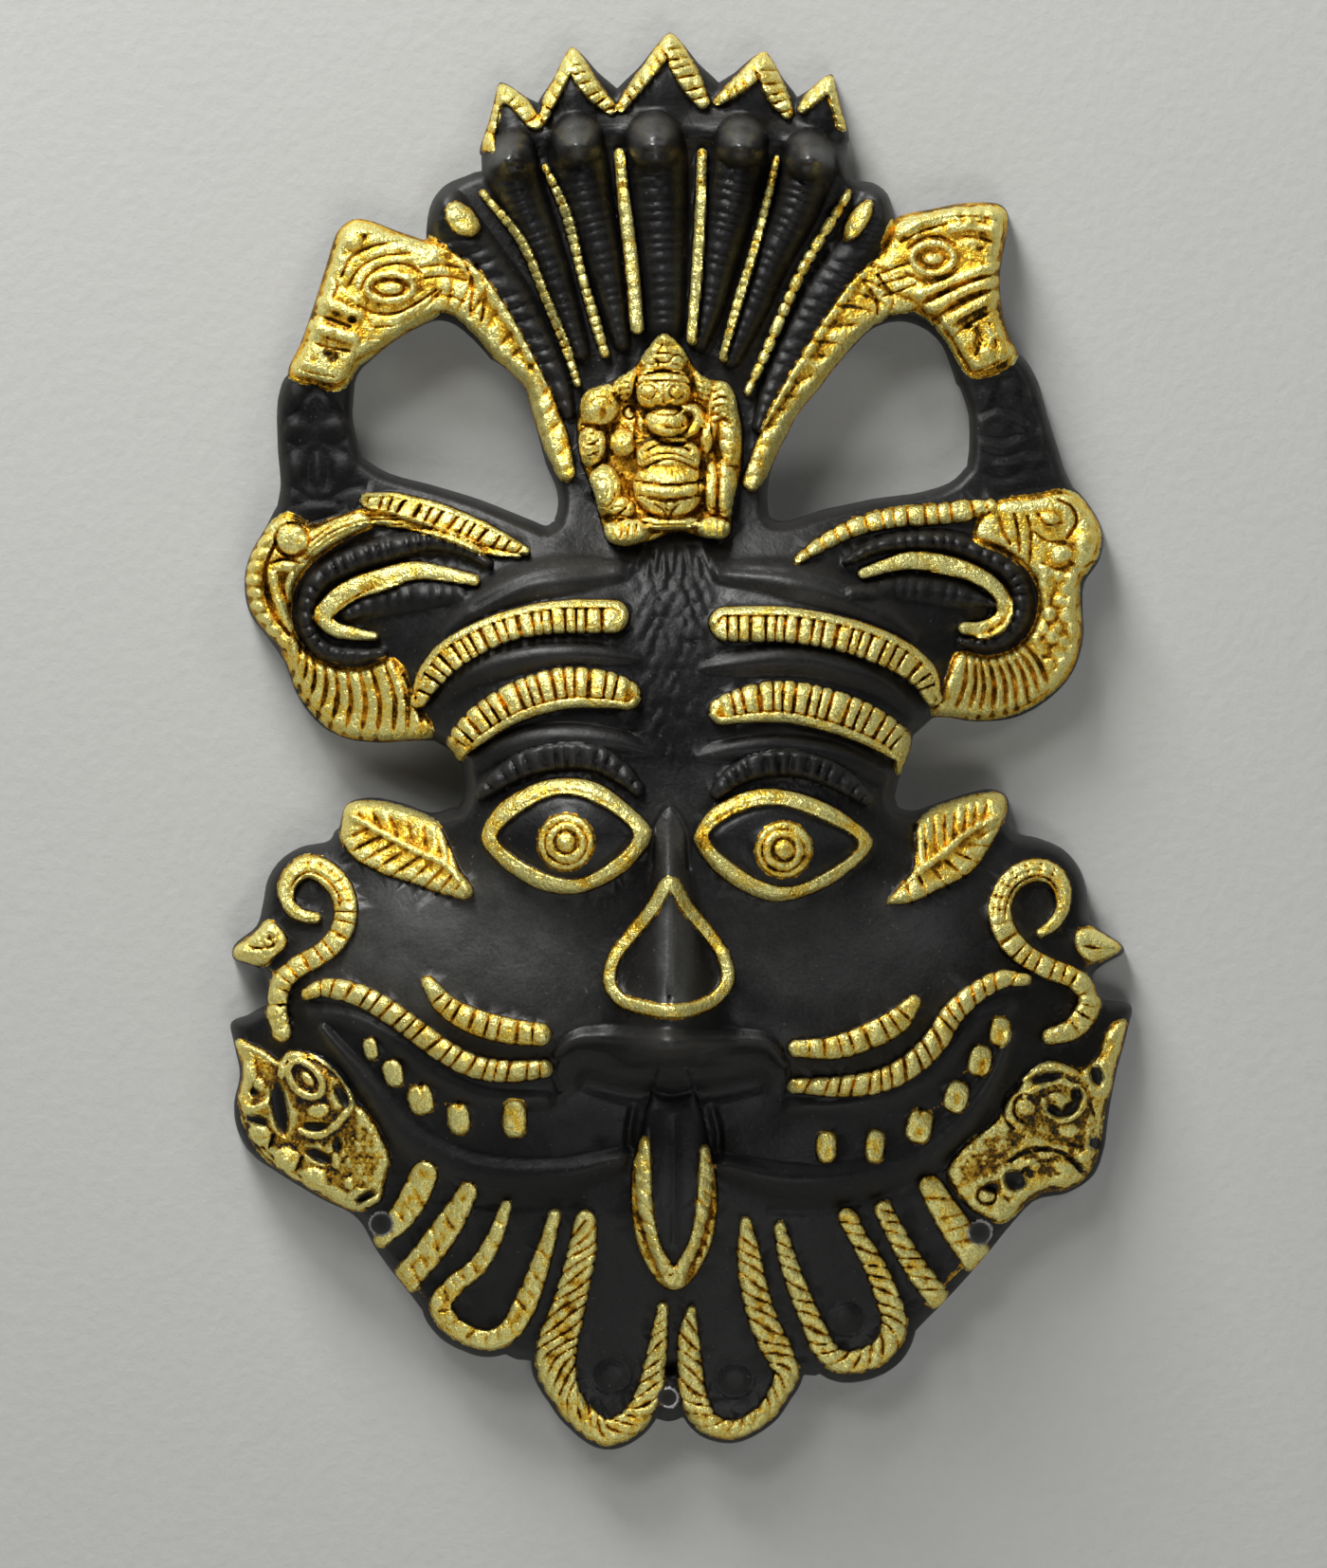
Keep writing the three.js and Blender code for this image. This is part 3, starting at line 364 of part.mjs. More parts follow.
// ---------------------------------------------------------------- plan mesh
const verts = [], tris = [];
{
  const px = new Float64Array(NX * NZ), pz = new Float64Array(NX * NZ), G = Float64Array.from(F);
  for (let k = 0; k < NZ; k++) for (let i = 0; i < NX; i++) {
    const c = id(i, k); px[c] = gx(i); pz[c] = gz(k);
    if (i && k && i < NX - 1 && k < NZ - 1 && Math.abs(F[c]) < 0.24 * CELL) {
      const dx = (F[c + 1] - F[c - 1]) / 2, dz = (F[c + NX] - F[c - NX]) / 2, l = Math.hypot(dx, dz) || 1;
      px[c] -= F[c] * dx / l; pz[c] -= F[c] * dz / l; G[c] = 0;
    }
  }
  const seen = new Map();
  const vertex = (key, x, z, h, b) => {
    if (!seen.has(key)) { seen.set(key, verts.length); verts.push([x, z, h, b]); }
    return seen.get(key);
  };
  const node = (c) => vertex('n' + c, px[c], pz[c], H[c], G[c] === 0 ? 0 : back(c, pz[c]));
  const cross = (a, b) => {
    if (a > b) [a, b] = [b, a];
    const t = G[a] / (G[a] - G[b]), m = (f) => f[a] + (f[b] - f[a]) * t;
    return vertex('e' + a + '_' + b, m(px), m(pz), G[a] > 0 ? H[a] + (H[b] - H[a]) * t : H[b] + (H[a] - H[b]) * (1 - t), 0);
  };
  for (let k = 0; k + 1 < NZ; k++) for (let i = 0; i + 1 < NX; i++) {
    const c = [id(i, k), id(i + 1, k), id(i + 1, k + 1), id(i, k + 1)];
    if (!c.some((n) => G[n] > 0)) continue;
    const ring = [];
    for (let e = 0; e < 4; e++) {
      const a = c[e], b = c[(e + 1) % 4];
      if (G[a] >= 0) ring.push(node(a));
      if ((G[a] > 0 && G[b] < 0) || (G[a] < 0 && G[b] > 0)) ring.push(cross(a, b));
    }
    if (ring.length < 3) continue;
    // the shorter diagonal in height keeps the ridges crisp
    if (ring.length === 4) {
      const h = ring.map((n) => verts[n][2]);
      if (Math.abs(h[0] - h[2]) <= Math.abs(h[1] - h[3])) tris.push([ring[0], ring[1], ring[2]], [ring[0], ring[2], ring[3]]);
      else tris.push([ring[1], ring[2], ring[3]], [ring[1], ring[3], ring[0]]);
    } else for (let n = 1; n + 1 < ring.length; n++) tris.push([ring[0], ring[n], ring[n + 1]]);
  }
}

// ---------------------------------------------------------------- closed body
// front skin, hollow back and square sides; in plan both skins share one net
const pos = [], faces = [];
{
  const draft = (x, y, z) => { const f = 1 + y / DRAFT_LENGTH; return [DRAFT_AXIS[0] + (x - DRAFT_AXIS[0]) * f, y, DRAFT_AXIS[1] + (z - DRAFT_AXIS[1]) * f]; };
  for (const [x, z, h] of verts) pos.push(draft(x, -h, z));
  for (const [x, z, , b] of verts) pos.push(draft(x, -b, z));
  const n = verts.length, edges = new Map();
  for (const [a, b, c] of tris) {
    faces.push([a, b, c], [n + a, n + c, n + b]);
    for (const [p, q] of [[a, b], [b, c], [c, a]]) { const key = p < q ? p + '_' + q : q + '_' + p; edges.set(key, edges.has(key) ? null : [p, q]); }
  }
  for (const e of edges.values()) if (e) faces.push([e[1], e[0], n + e[0]], [e[1], n + e[0], n + e[1]]);
}

// ---------------------------------------------------------------- fewer, larger facets
// edges are collapsed in the order of the quadric error they cause
function simplify(P, T, target) {
  const V = P.map((p) => p.slice()), n = V.length, Q = Array.from({ length: n }, () => new Float64Array(10));
  const alive = new Uint8Array(T.length).fill(1), at = Array.from({ length: n }, () => new Set());
  const normal = (a, b, c) => {
    const ux = b[0] - a[0], uy = b[1] - a[1], uz = b[2] - a[2], vx = c[0] - a[0], vy = c[1] - a[1], vz = c[2] - a[2];
    return [uy * vz - uz * vy, uz * vx - ux * vz, ux * vy - uy * vx];
  };
  T.forEach((t, f) => {
    const m = normal(V[t[0]], V[t[1]], V[t[2]]), l = Math.hypot(...m) || 1e-12, a = m[0] / l, b = m[1] / l, c = m[2] / l;
    const d = -(a * V[t[0]][0] + b * V[t[0]][1] + c * V[t[0]][2]), w = l / 2 + 1e-6, q = [a * a, a * b, a * c, a * d, b * b, b * c, b * d, c * c, c * d, d * d];
    for (const v of t) { at[v].add(f); for (let k = 0; k < 10; k++) Q[v][k] += w * q[k]; }
  });
  const cost = (q, p) => q[0] * p[0] * p[0] + 2 * q[1] * p[0] * p[1] + 2 * q[2] * p[0] * p[2] + 2 * q[3] * p[0] + q[4] * p[1] * p[1] + 2 * q[5] * p[1] * p[2] + 2 * q[6] * p[1] + q[7] * p[2] * p[2] + 2 * q[8] * p[2] + q[9];
  const stamp = new Uint32Array(n), heap = [];
  const up = (i) => { while (i) { const j = (i - 1) >> 1; if (heap[j].c <= heap[i].c) break; [heap[i], heap[j]] = [heap[j], heap[i]]; i = j; } };
  const pop = () => {
    const top = heap[0], last = heap.pop();
    if (heap.length) { heap[0] = last; for (let i = 0; ;) { let j = 2 * i + 1; if (j >= heap.length) break; if (j + 1 < heap.length && heap[j + 1].c < heap[j].c) j++; if (heap[i].c <= heap[j].c) break; [heap[i], heap[j]] = [heap[j], heap[i]]; i = j; } }
    return top;
  };
  const push = (a, b) => {
    const q = Q[a].map((v, k) => v + Q[b][k]), pa = V[a], pb = V[b], mid = [(pa[0] + pb[0]) / 2, (pa[1] + pb[1]) / 2, (pa[2] + pb[2]) / 2];
    let best = null;
    for (const p of [pa, pb, mid]) { const c = cost(q, p); if (!best || c < best.c) best = { c, p }; }
    const l = Math.hypot(pa[0] - pb[0], pa[1] - pb[1], pa[2] - pb[2]);
    heap.push({ c: best.c + 1e-5 * l * l, p: best.p.slice(), a, b, sa: stamp[a], sb: stamp[b] });
    up(heap.length - 1);
  };
  const done = new Set();
  for (const t of T) for (const [a, b] of [[t[0], t[1]], [t[1], t[2]], [t[2], t[0]]]) if (a < b) { const k = a * n + b; if (!done.has(k)) { done.add(k); push(a, b); } }
  let count = T.length;
  const ringOf = (v) => { const r = new Set(); for (const f of at[v]) for (const w of T[f]) if (w !== v) r.add(w); return r; };
  while (count > target && heap.length) {
    const e = pop();
    if (e.sa !== stamp[e.a] || e.sb !== stamp[e.b]) continue;
    const { a, b, p } = e, ra = ringOf(a), rb = ringOf(b);
    let common = 0; for (const v of ra) if (rb.has(v)) common++;
    if (common !== 2) continue;
    let ok = true;
    for (const v of [a, b]) for (const f of at[v]) {
      const t = T[f]; if (t.includes(a) && t.includes(b)) continue;
      const o = t.map((w) => V[w]), m = t.map((w) => (w === v ? p : V[w])), n0 = normal(...o), n1 = normal(...m);
      const l0 = Math.hypot(...n0), l1 = Math.hypot(...n1), long = Math.max(Math.hypot(m[0][0] - m[1][0], m[0][1] - m[1][1], m[0][2] - m[1][2]), Math.hypot(m[1][0] - m[2][0], m[1][1] - m[2][1], m[1][2] - m[2][2]), Math.hypot(m[2][0] - m[0][0], m[2][1] - m[0][1], m[2][2] - m[0][2]));
      if (n0[0] * n1[0] + n0[1] * n1[1] + n0[2] * n1[2] < 0.35 * l0 * l1 || l1 < 0.035 * long * long || l1 < 0.01) { ok = false; break; }
    }
    if (!ok) continue;
    V[a] = p; for (let k = 0; k < 10; k++) Q[a][k] += Q[b][k];
    for (const f of at[b]) {
      if (T[f].includes(a)) { alive[f] = 0; count--; for (const w of T[f]) if (w !== b) at[w].delete(f); }
      else { T[f] = T[f].map((w) => (w === b ? a : w)); at[a].add(f); }
    }
    at[b].clear(); stamp[b]++; stamp[a]++;
    for (const v of ringOf(a)) push(Math.min(a, v), Math.max(a, v));
  }
  const index = new Map(), out = [], tri = [];
  T.forEach((t, f) => { if (alive[f]) tri.push(t.map((v) => { if (!index.has(v)) { index.set(v, out.length); out.push(V[v]); } return index.get(v); })); });
  return { out, tri };
}
const { out, tri } = simplify(pos, faces, TRIANGLES);

// ---------------------------------------------------------------- the part
const geometry = new THREE.BufferGeometry();
geometry.setAttribute('position', new THREE.BufferAttribute(new Float32Array(out.flat()), 3));
geometry.setIndex(tri.flat());
geometry.computeVertexNormals();
const casting = new THREE.Mesh(geometry, new THREE.MeshStandardMaterial({ color: 0x2c2c2d, roughness: 0.55, metalness: 0.1 }));
casting.name = 'mask_casting';
const group = new THREE.Group();
group.add(casting);
export default group;
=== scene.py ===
import sys
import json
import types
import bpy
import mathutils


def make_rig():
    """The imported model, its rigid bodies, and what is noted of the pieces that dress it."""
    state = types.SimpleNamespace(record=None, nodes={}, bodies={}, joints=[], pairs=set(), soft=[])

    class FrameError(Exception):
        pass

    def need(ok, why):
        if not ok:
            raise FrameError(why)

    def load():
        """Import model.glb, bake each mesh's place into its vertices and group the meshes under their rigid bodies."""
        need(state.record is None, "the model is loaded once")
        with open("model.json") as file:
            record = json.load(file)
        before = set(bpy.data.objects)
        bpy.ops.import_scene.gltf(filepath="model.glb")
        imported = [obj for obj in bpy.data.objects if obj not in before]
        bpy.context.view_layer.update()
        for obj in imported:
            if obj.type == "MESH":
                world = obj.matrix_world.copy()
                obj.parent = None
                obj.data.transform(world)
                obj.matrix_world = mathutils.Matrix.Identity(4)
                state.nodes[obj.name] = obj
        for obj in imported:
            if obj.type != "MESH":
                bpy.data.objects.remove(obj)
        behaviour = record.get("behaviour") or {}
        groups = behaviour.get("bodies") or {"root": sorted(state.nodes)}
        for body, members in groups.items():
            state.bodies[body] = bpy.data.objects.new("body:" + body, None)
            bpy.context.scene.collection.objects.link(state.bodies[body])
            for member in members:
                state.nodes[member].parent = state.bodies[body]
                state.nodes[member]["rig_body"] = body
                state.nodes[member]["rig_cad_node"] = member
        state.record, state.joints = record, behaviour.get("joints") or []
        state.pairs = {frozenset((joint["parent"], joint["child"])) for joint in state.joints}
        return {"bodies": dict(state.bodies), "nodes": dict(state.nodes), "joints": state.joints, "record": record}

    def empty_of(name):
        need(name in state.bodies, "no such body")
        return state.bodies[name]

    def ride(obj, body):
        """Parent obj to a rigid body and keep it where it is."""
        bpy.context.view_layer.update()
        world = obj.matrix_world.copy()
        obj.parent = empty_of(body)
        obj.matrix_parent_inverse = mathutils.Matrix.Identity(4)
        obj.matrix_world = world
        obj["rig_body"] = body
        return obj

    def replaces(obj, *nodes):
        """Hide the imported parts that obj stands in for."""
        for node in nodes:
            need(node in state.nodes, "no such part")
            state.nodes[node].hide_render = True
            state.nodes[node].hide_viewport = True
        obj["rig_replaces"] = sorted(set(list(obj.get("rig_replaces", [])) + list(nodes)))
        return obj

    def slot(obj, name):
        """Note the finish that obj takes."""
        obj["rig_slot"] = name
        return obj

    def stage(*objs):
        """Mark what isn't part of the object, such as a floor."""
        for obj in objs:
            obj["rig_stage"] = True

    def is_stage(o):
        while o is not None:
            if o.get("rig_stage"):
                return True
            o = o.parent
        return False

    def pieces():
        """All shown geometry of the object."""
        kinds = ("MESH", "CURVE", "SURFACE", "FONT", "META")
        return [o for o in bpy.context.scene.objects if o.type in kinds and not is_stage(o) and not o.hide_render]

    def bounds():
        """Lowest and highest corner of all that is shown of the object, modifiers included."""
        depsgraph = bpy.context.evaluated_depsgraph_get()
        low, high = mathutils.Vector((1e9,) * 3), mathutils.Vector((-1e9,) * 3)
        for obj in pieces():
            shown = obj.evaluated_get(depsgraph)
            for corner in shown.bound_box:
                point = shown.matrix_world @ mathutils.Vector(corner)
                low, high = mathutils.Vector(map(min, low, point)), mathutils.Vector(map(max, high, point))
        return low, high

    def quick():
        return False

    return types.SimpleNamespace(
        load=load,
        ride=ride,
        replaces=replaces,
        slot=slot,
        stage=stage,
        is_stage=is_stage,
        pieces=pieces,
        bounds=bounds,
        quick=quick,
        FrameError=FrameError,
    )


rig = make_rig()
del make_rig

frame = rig.load()
cad_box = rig.bounds()
import bpy, json, math, mathutils
import numpy as np

# Guardian face in painted cast aluminium: a hollow relief, flat behind, that hangs on a wall.
# Everything is worked out in mm on a plan (x across, z up) with a height towards the viewer,
# and turned into one closed mesh at the end.
CELL, CELL_QUICK = 0.36, 0.60          # plan grid
FACES = 192000
WALL_RGB, FLOOR_RGB = (203, 204, 201), (203, 203, 201)
AMBIENT = 0.035
LAMPS = [("key", (-.40, -.48, .95), (0, 0, -.12), (.45, .35), 15.0, (1, .995, .98)),
         ("left", (-.85, -1.05, .80), (0, 0, -.14), (.40, .40), 2.3, (1, .995, .99)),
         ("sheen", (-.38, -.92, .74), (0, 0, -.14), (.30, .30), 3.0, (1, .995, .99)),
         ("front", (.20, -1.0, -.72), (0, 0, -.28), (.40, .30), 1.6, (1, .995, .99)),
         ("right", (.95, -1.1, .60), (0, 0, -.14), (.4, .4), 2.0, (.98, .99, 1)),
         ("behind", (.25, 1.1, .15), (0, 0, -.12), (1.2, 1.2), 8.0, (1, 1, 1))]

# closed curves that together make the silhouette, in mm: x across, z up. s is a smooth curve, p has straight sides
OUTLINE = {
 'crown_block': ('p',
     [(-37.4, -3.74), (-35.16, 1.5), (-31.42, 3.37), (-25.99, 3.93), (-18.33, 4.86), (-10.47, 5.98), (-1.5, 5.61), (9.35, 6.73), (17.2, 5.61),
         (24.5, 5.24), (30.29, 4.11), (34.03, 1.5), (34.78, -3.74), (34.97, -10.85), (26.55, -46.75), (20.01, -72.93), (20.57, -91.63), (-22.44, -91.63),
         (-23.19, -72.93), (-29.17, -50.49), (-37.4, -11.22)]),
 'side_hood_l': ('s',
     [(-37.03, -9.54), (-40.77, -10.47), (-44.51, -12.15), (-47.12, -15.33), (-48.25, -20.57), (-47.87, -24.68), (-38.9, -37.4), (-27.68, -37.4),
         (-27.68, -20.57)]),
 'side_hood_r': ('s',
     [(33.66, -9.54), (36.84, -11.22), (40.02, -11.78), (42.64, -13.84), (43.95, -18.33), (44.88, -22.44), (35.9, -37.4), (26.55, -35.53), (26.55, -16.83)]),
 'beast_l': ('s',
     [(-55.73, -20.57), (-59.09, -19.26), (-62.65, -18.89), (-65.64, -21.13), (-67.88, -27.49), (-69.94, -34.22), (-72.93, -43.01), (-75.55, -49.74),
         (-70.69, -55.16), (-60.4, -50.49), (-51.99, -44.88), (-35.16, -46.75), (-24.87, -57.97), (-20.2, -72.93), (-12.72, -65.45), (-20.2, -46.75),
         (-35.16, -31.79), (-42.64, -24.68), (-48.62, -23)]),
 'beast_r': ('s',
     [(44.51, -18.51), (51.61, -16.83), (57.97, -15.71), (65.08, -16.08), (66.57, -18.33), (66.01, -23), (64.89, -29.73), (65.26, -36.47), (66.76, -41.89),
         (68.25, -45.63), (65.82, -54.23), (54.6, -50.49), (47.12, -41.14), (35.9, -46.75), (24.68, -57.97), (17.2, -76.67), (10.66, -65.45), (17.2, -46.75),
         (28.42, -35.53), (35.9, -24.31)]),
 'strut_l': ('s',
     [(-75.36, -49.37), (-77.42, -53.67), (-77.61, -63.77), (-77.04, -71.06), (-77.42, -78.54), (-68.82, -84.15), (-57.6, -76.67), (-60.96, -65.45),
         (-62.83, -57.97), (-62.83, -49.74)]),
 'strut_r': ('s',
     [(56.47, -47.5), (68.07, -45.25), (72, -50.12), (74.05, -56.85), (75.92, -62.83), (77.61, -68.25), (79.66, -74.8), (65.82, -86.02), (52.73, -80.41),
         (57.97, -69.19), (58.72, -57.97)]),
 'ear_l': ('s',
     [(-76.86, -74.43), (-79.85, -79.47), (-83.03, -85.08), (-84.15, -90.13), (-83.22, -96.31), (-79.29, -101.92), (-76.11, -106.59), (-73.86, -112.57),
         (-69.56, -118.37), (-64.52, -121.18), (-58.16, -122.11), (-46.75, -121.74), (-35.16, -123.42), (-16.46, -106.59), (-10.85, -80.41), (-23, -78.54),
         (-37.59, -73.86), (-50.12, -69.56), (-57.6, -67.69), (-63.21, -65.45)]),
 'ear_r': ('s',
     [(78.17, -71.06), (83.03, -76.11), (85.27, -81.16), (84.52, -86.02), (81.53, -90.69), (81.16, -95.37), (81.34, -101.35), (79.29, -108.09),
         (74.99, -113.14), (68.25, -117.06), (60.59, -118), (51.24, -117.25), (35.9, -123.42), (13.46, -106.59), (11.59, -80.41), (20.94, -77.61),
         (30.86, -75.92), (41.51, -73.68), (51.8, -71.81), (60.21, -67.32)]),
 'brow_block': ('p',
     [(-20.2, -80.41), (17.2, -80.41), (52.73, -116.31), (50.12, -118.56), (47.69, -120.8), (47.31, -123.42), (46.19, -126.41), (44.88, -129.4),
         (44.13, -132.77), (45.25, -136.51), (47.12, -155.21), (-46.38, -155.21), (-43.38, -136.88), (-41.33, -133.71), (-40.77, -130.9), (-41.33, -126.79),
         (-43.76, -123.42), (-47.12, -121.55)]),
 'leaf_l': ('s',
     [(-65.45, -138.75), (-63.95, -134.27), (-59.09, -132.96), (-52.92, -134.08), (-47.12, -135.95), (-41.51, -135.01), (-35.16, -143.99),
         (-35.16, -158.95), (-50.12, -160.82), (-62.08, -155.21), (-66.95, -143.99)]),
 'leaf_r': ('s',
     [(66.2, -132.77), (63.21, -131.27), (58.72, -132.02), (52.73, -133.89), (47.5, -135.57), (42.45, -134.64), (38.71, -143.99), (39.64, -158.95),
         (52.73, -160.82), (63.95, -153.34), (66.57, -140.25)]),
 'cheek_l': ('s',
     [(-65.82, -139.13), (-67.32, -141.37), (-72.93, -142.68), (-76.86, -145.11), (-79.47, -148.85), (-80.6, -154.28), (-81.72, -158.2), (-86.21, -162.13),
         (-86.39, -164.75), (-81.16, -166.8), (-79.85, -169.42), (-79.66, -175.03), (-70.69, -192.61), (-35.16, -203.83), (0, -207.57), (0, -143.99),
         (-35.16, -140.25)]),
 'cheek_r': ('s',
     [(65.82, -137.63), (68.07, -139.88), (72.56, -141), (77.42, -143.24), (80.78, -147.36), (82.09, -152.22), (82.65, -157.08), (89.01, -162.13),
         (89.39, -163.44), (85.65, -165.68), (83.22, -167.93), (83.96, -172.04), (80.78, -188.87), (35.9, -203.83), (0, -207.57), (0, -143.99),
         (35.9, -140.25)]),
 'jowl_l': ('s',
     [(-79.66, -173.91), (-83.4, -175.78), (-86.77, -177.28), (-86.21, -181.58), (-85.08, -187.37), (-86.21, -193.36), (-85.65, -198.22),
         (-83.03, -203.08), (-77.23, -207.2), (-69.19, -212.06), (-62.08, -215.8), (-57.78, -222.72), (-52.36, -229.82), (-46.38, -236.18), (-35.16, -237.49),
         (-20.2, -233.75), (-1.5, -218.79), (-1.5, -190.74), (-53.86, -173.91)]),
 'jowl_r': ('s',
     [(82.65, -171.29), (85.65, -172.79), (90.69, -173.91), (89.95, -179.15), (87.89, -187), (86.39, -194.85), (85.27, -202.71), (83.22, -207.57),
         (78.17, -210.94), (71.81, -212.43), (67.32, -216.92), (61.15, -224.4), (51.05, -235.25), (44.13, -240.86), (32.16, -237.49), (17.2, -233.75),
         (-1.5, -218.79), (-1.5, -190.74), (54.6, -172.04)]),
 'chin': ('p', [(-46.38, -209.44), (50.86, -209.44), (46.19, -239.36), (28.42, -247.03), (-1.5, -244.97), (-30.48, -243.85), (-44.51, -237.12)])}

# points of the crown: tip, left foot, right foot
SPIKES = [((-33.85, 8.79), (-37.59, -6.36), (-24.31, 2.24)), ((-19.64, 15.89), (-26.55, 2.24), (-9.72, 4.86)), ((-0.19, 18.7), (-11.59, 4.49), (10.47, 5.61)),
 ((18.51, 14.96), (6.73, 5.24), (25.06, 3.74)), ((31.79, 10.47), (23.94, 3.74), (34.97, -3.74))]

# the two hoops beside the crown, right through
OPENINGS = {
 'left_hoop': [(-46.19, -38.9), (-50.12, -40.39), (-54.6, -43.01), (-58.34, -46), (-61.71, -49.37), (-62.65, -54.23), (-62.08, -60.03), (-60.4, -65.64),
     (-56.47, -68.63), (-46.75, -71.43), (-37.59, -74.24), (-27.68, -78.17), (-24.31, -79.29), (-22.63, -77.04), (-22.44, -72.93), (-24.5, -67.69),
     (-27.68, -61.34), (-31.23, -53.86), (-35.34, -46.94), (-39.64, -42.08), (-43.2, -39.46)],
 'right_hoop': [(44.88, -39.08), (40.02, -40.39), (35.53, -44.51), (30.86, -50.12), (26.18, -56.85), (21.69, -63.77), (19.45, -69.56), (19.07, -74.05),
     (19.64, -77.61), (22.07, -78.35), (30.86, -75.92), (39.83, -74.05), (49.93, -72.56), (55.73, -70.31), (58.34, -66.95), (58.53, -61.71),
     (57.22, -54.98), (55.35, -48.62), (53.11, -43.38), (49.37, -40.2)]}

# drilled holes: centre, radius
HOLES = [((-57.22, -217.11), 2.06), ((60.96, -218.79), 2.06), ((-0.56, -251.33), 1.68)]

# round lugs that carry a hole
LUGS = [((-0.56, -250.95), 5.05)]

# its curled trunk
TRUNK = {
 'p': [(-2.99, -60.21), (-0.75, -61.34), (1.87, -61.52), (4.3, -60.21), (5.42, -58.16), (4.3, -56.29), (2.62, -56.29)],
 'w': [1.5, 2.15, 2.58, 2.81, 2.81, 2.66, 2.37, 2.08, 1.5]}

# how far the casting runs past these beard locks
LOCK_EDGE = {'beard_l3': 1.5, 'beard_l4': 0.94, 'beard_r4': 0.94, 'beard_r3': 1.87}

# height of the bare face over the wall: distance from the centre line, z, height
DEPTHS = [(0, 18.7, 7.5), (20.57, 13.09, 7.5), (35.53, 7.48, 7.5), (0, -7.48, 10.5), (18.7, -7.48, 10.5), (35.53, -10.29, 10), (0, -24.31, 12.5),
 (20.57, -24.31, 12), (0, -39.27, 14.5), (16.83, -50.49, 14.5), (0, -63.58, 18), (14.03, -80.41, 21), (0, -82.28, 23), (0, -91.63, 28),
 (46.75, -20.57, 10), (57.97, -31.79, 11), (66.39, -20.57, 9.5), (71.06, -48.62, 10), (72, -65.45, 10), (30.86, -54.23, 13), (43.01, -37.4, 12),
 (74.8, -79.47, 11), (84.15, -87.89, 8.5), (76.67, -104.72, 9), (63.58, -95.37, 12.5), (61.71, -117.81, 9.5), (48.99, -87.89, 17),
 (36.47, -86.02, 22), (24.31, -91.63, 29), (22.44, -106.59, 34), (42.08, -106.59, 27), (24.31, -123.42, 35), (42.08, -123.42, 26), (0, -106.59, 34),
 (0, -125.29, 37), (22.44, -141.19, 37), (40.2, -141.19, 29), (0, -138.38, 39), (0, -155.21, 38), (0, -173.91, 38), (18.7, -162.69, 36),
 (37.4, -158.95, 32), (56.1, -155.21, 25), (71.06, -155.21, 15), (82.28, -155.21, 10), (48.99, -140.25, 21), (61.71, -138.01, 13),
 (22.44, -181.39, 37), (46.75, -173.91, 31), (65.45, -173.91, 23), (78.54, -173.91, 13.5), (85.08, -179.52, 9.5), (0, -182.89, 36.5),
 (20.57, -182.89, 36), (0, -190.74, 28.5), (18.7, -190.74, 29.5), (0, -200.09, 27.5), (22.44, -200.09, 28.5), (44.88, -192.61, 27),
 (61.71, -194.48, 18.5), (82.28, -198.22, 8.5), (0, -211.31, 25), (24.31, -211.31, 24.5), (46.75, -211.31, 18), (61.71, -216.92, 10.5),
 (0, -228.14, 18.5), (24.31, -228.14, 17), (44.88, -231.88, 10.5), (0, -246.84, 10.5), (13.09, -259.93, 7.5), (28.05, -245.91, 9), (40.2, -243.1, 8)]

# cobra heads
COBRAS = [((-31.23, -6.17), 4.11), ((-18.51, -3.37), 4.49), ((-3.37, -3.37), 4.86), ((13.84, -3.55), 4.49), ((27.11, -6.17), 4.3)]

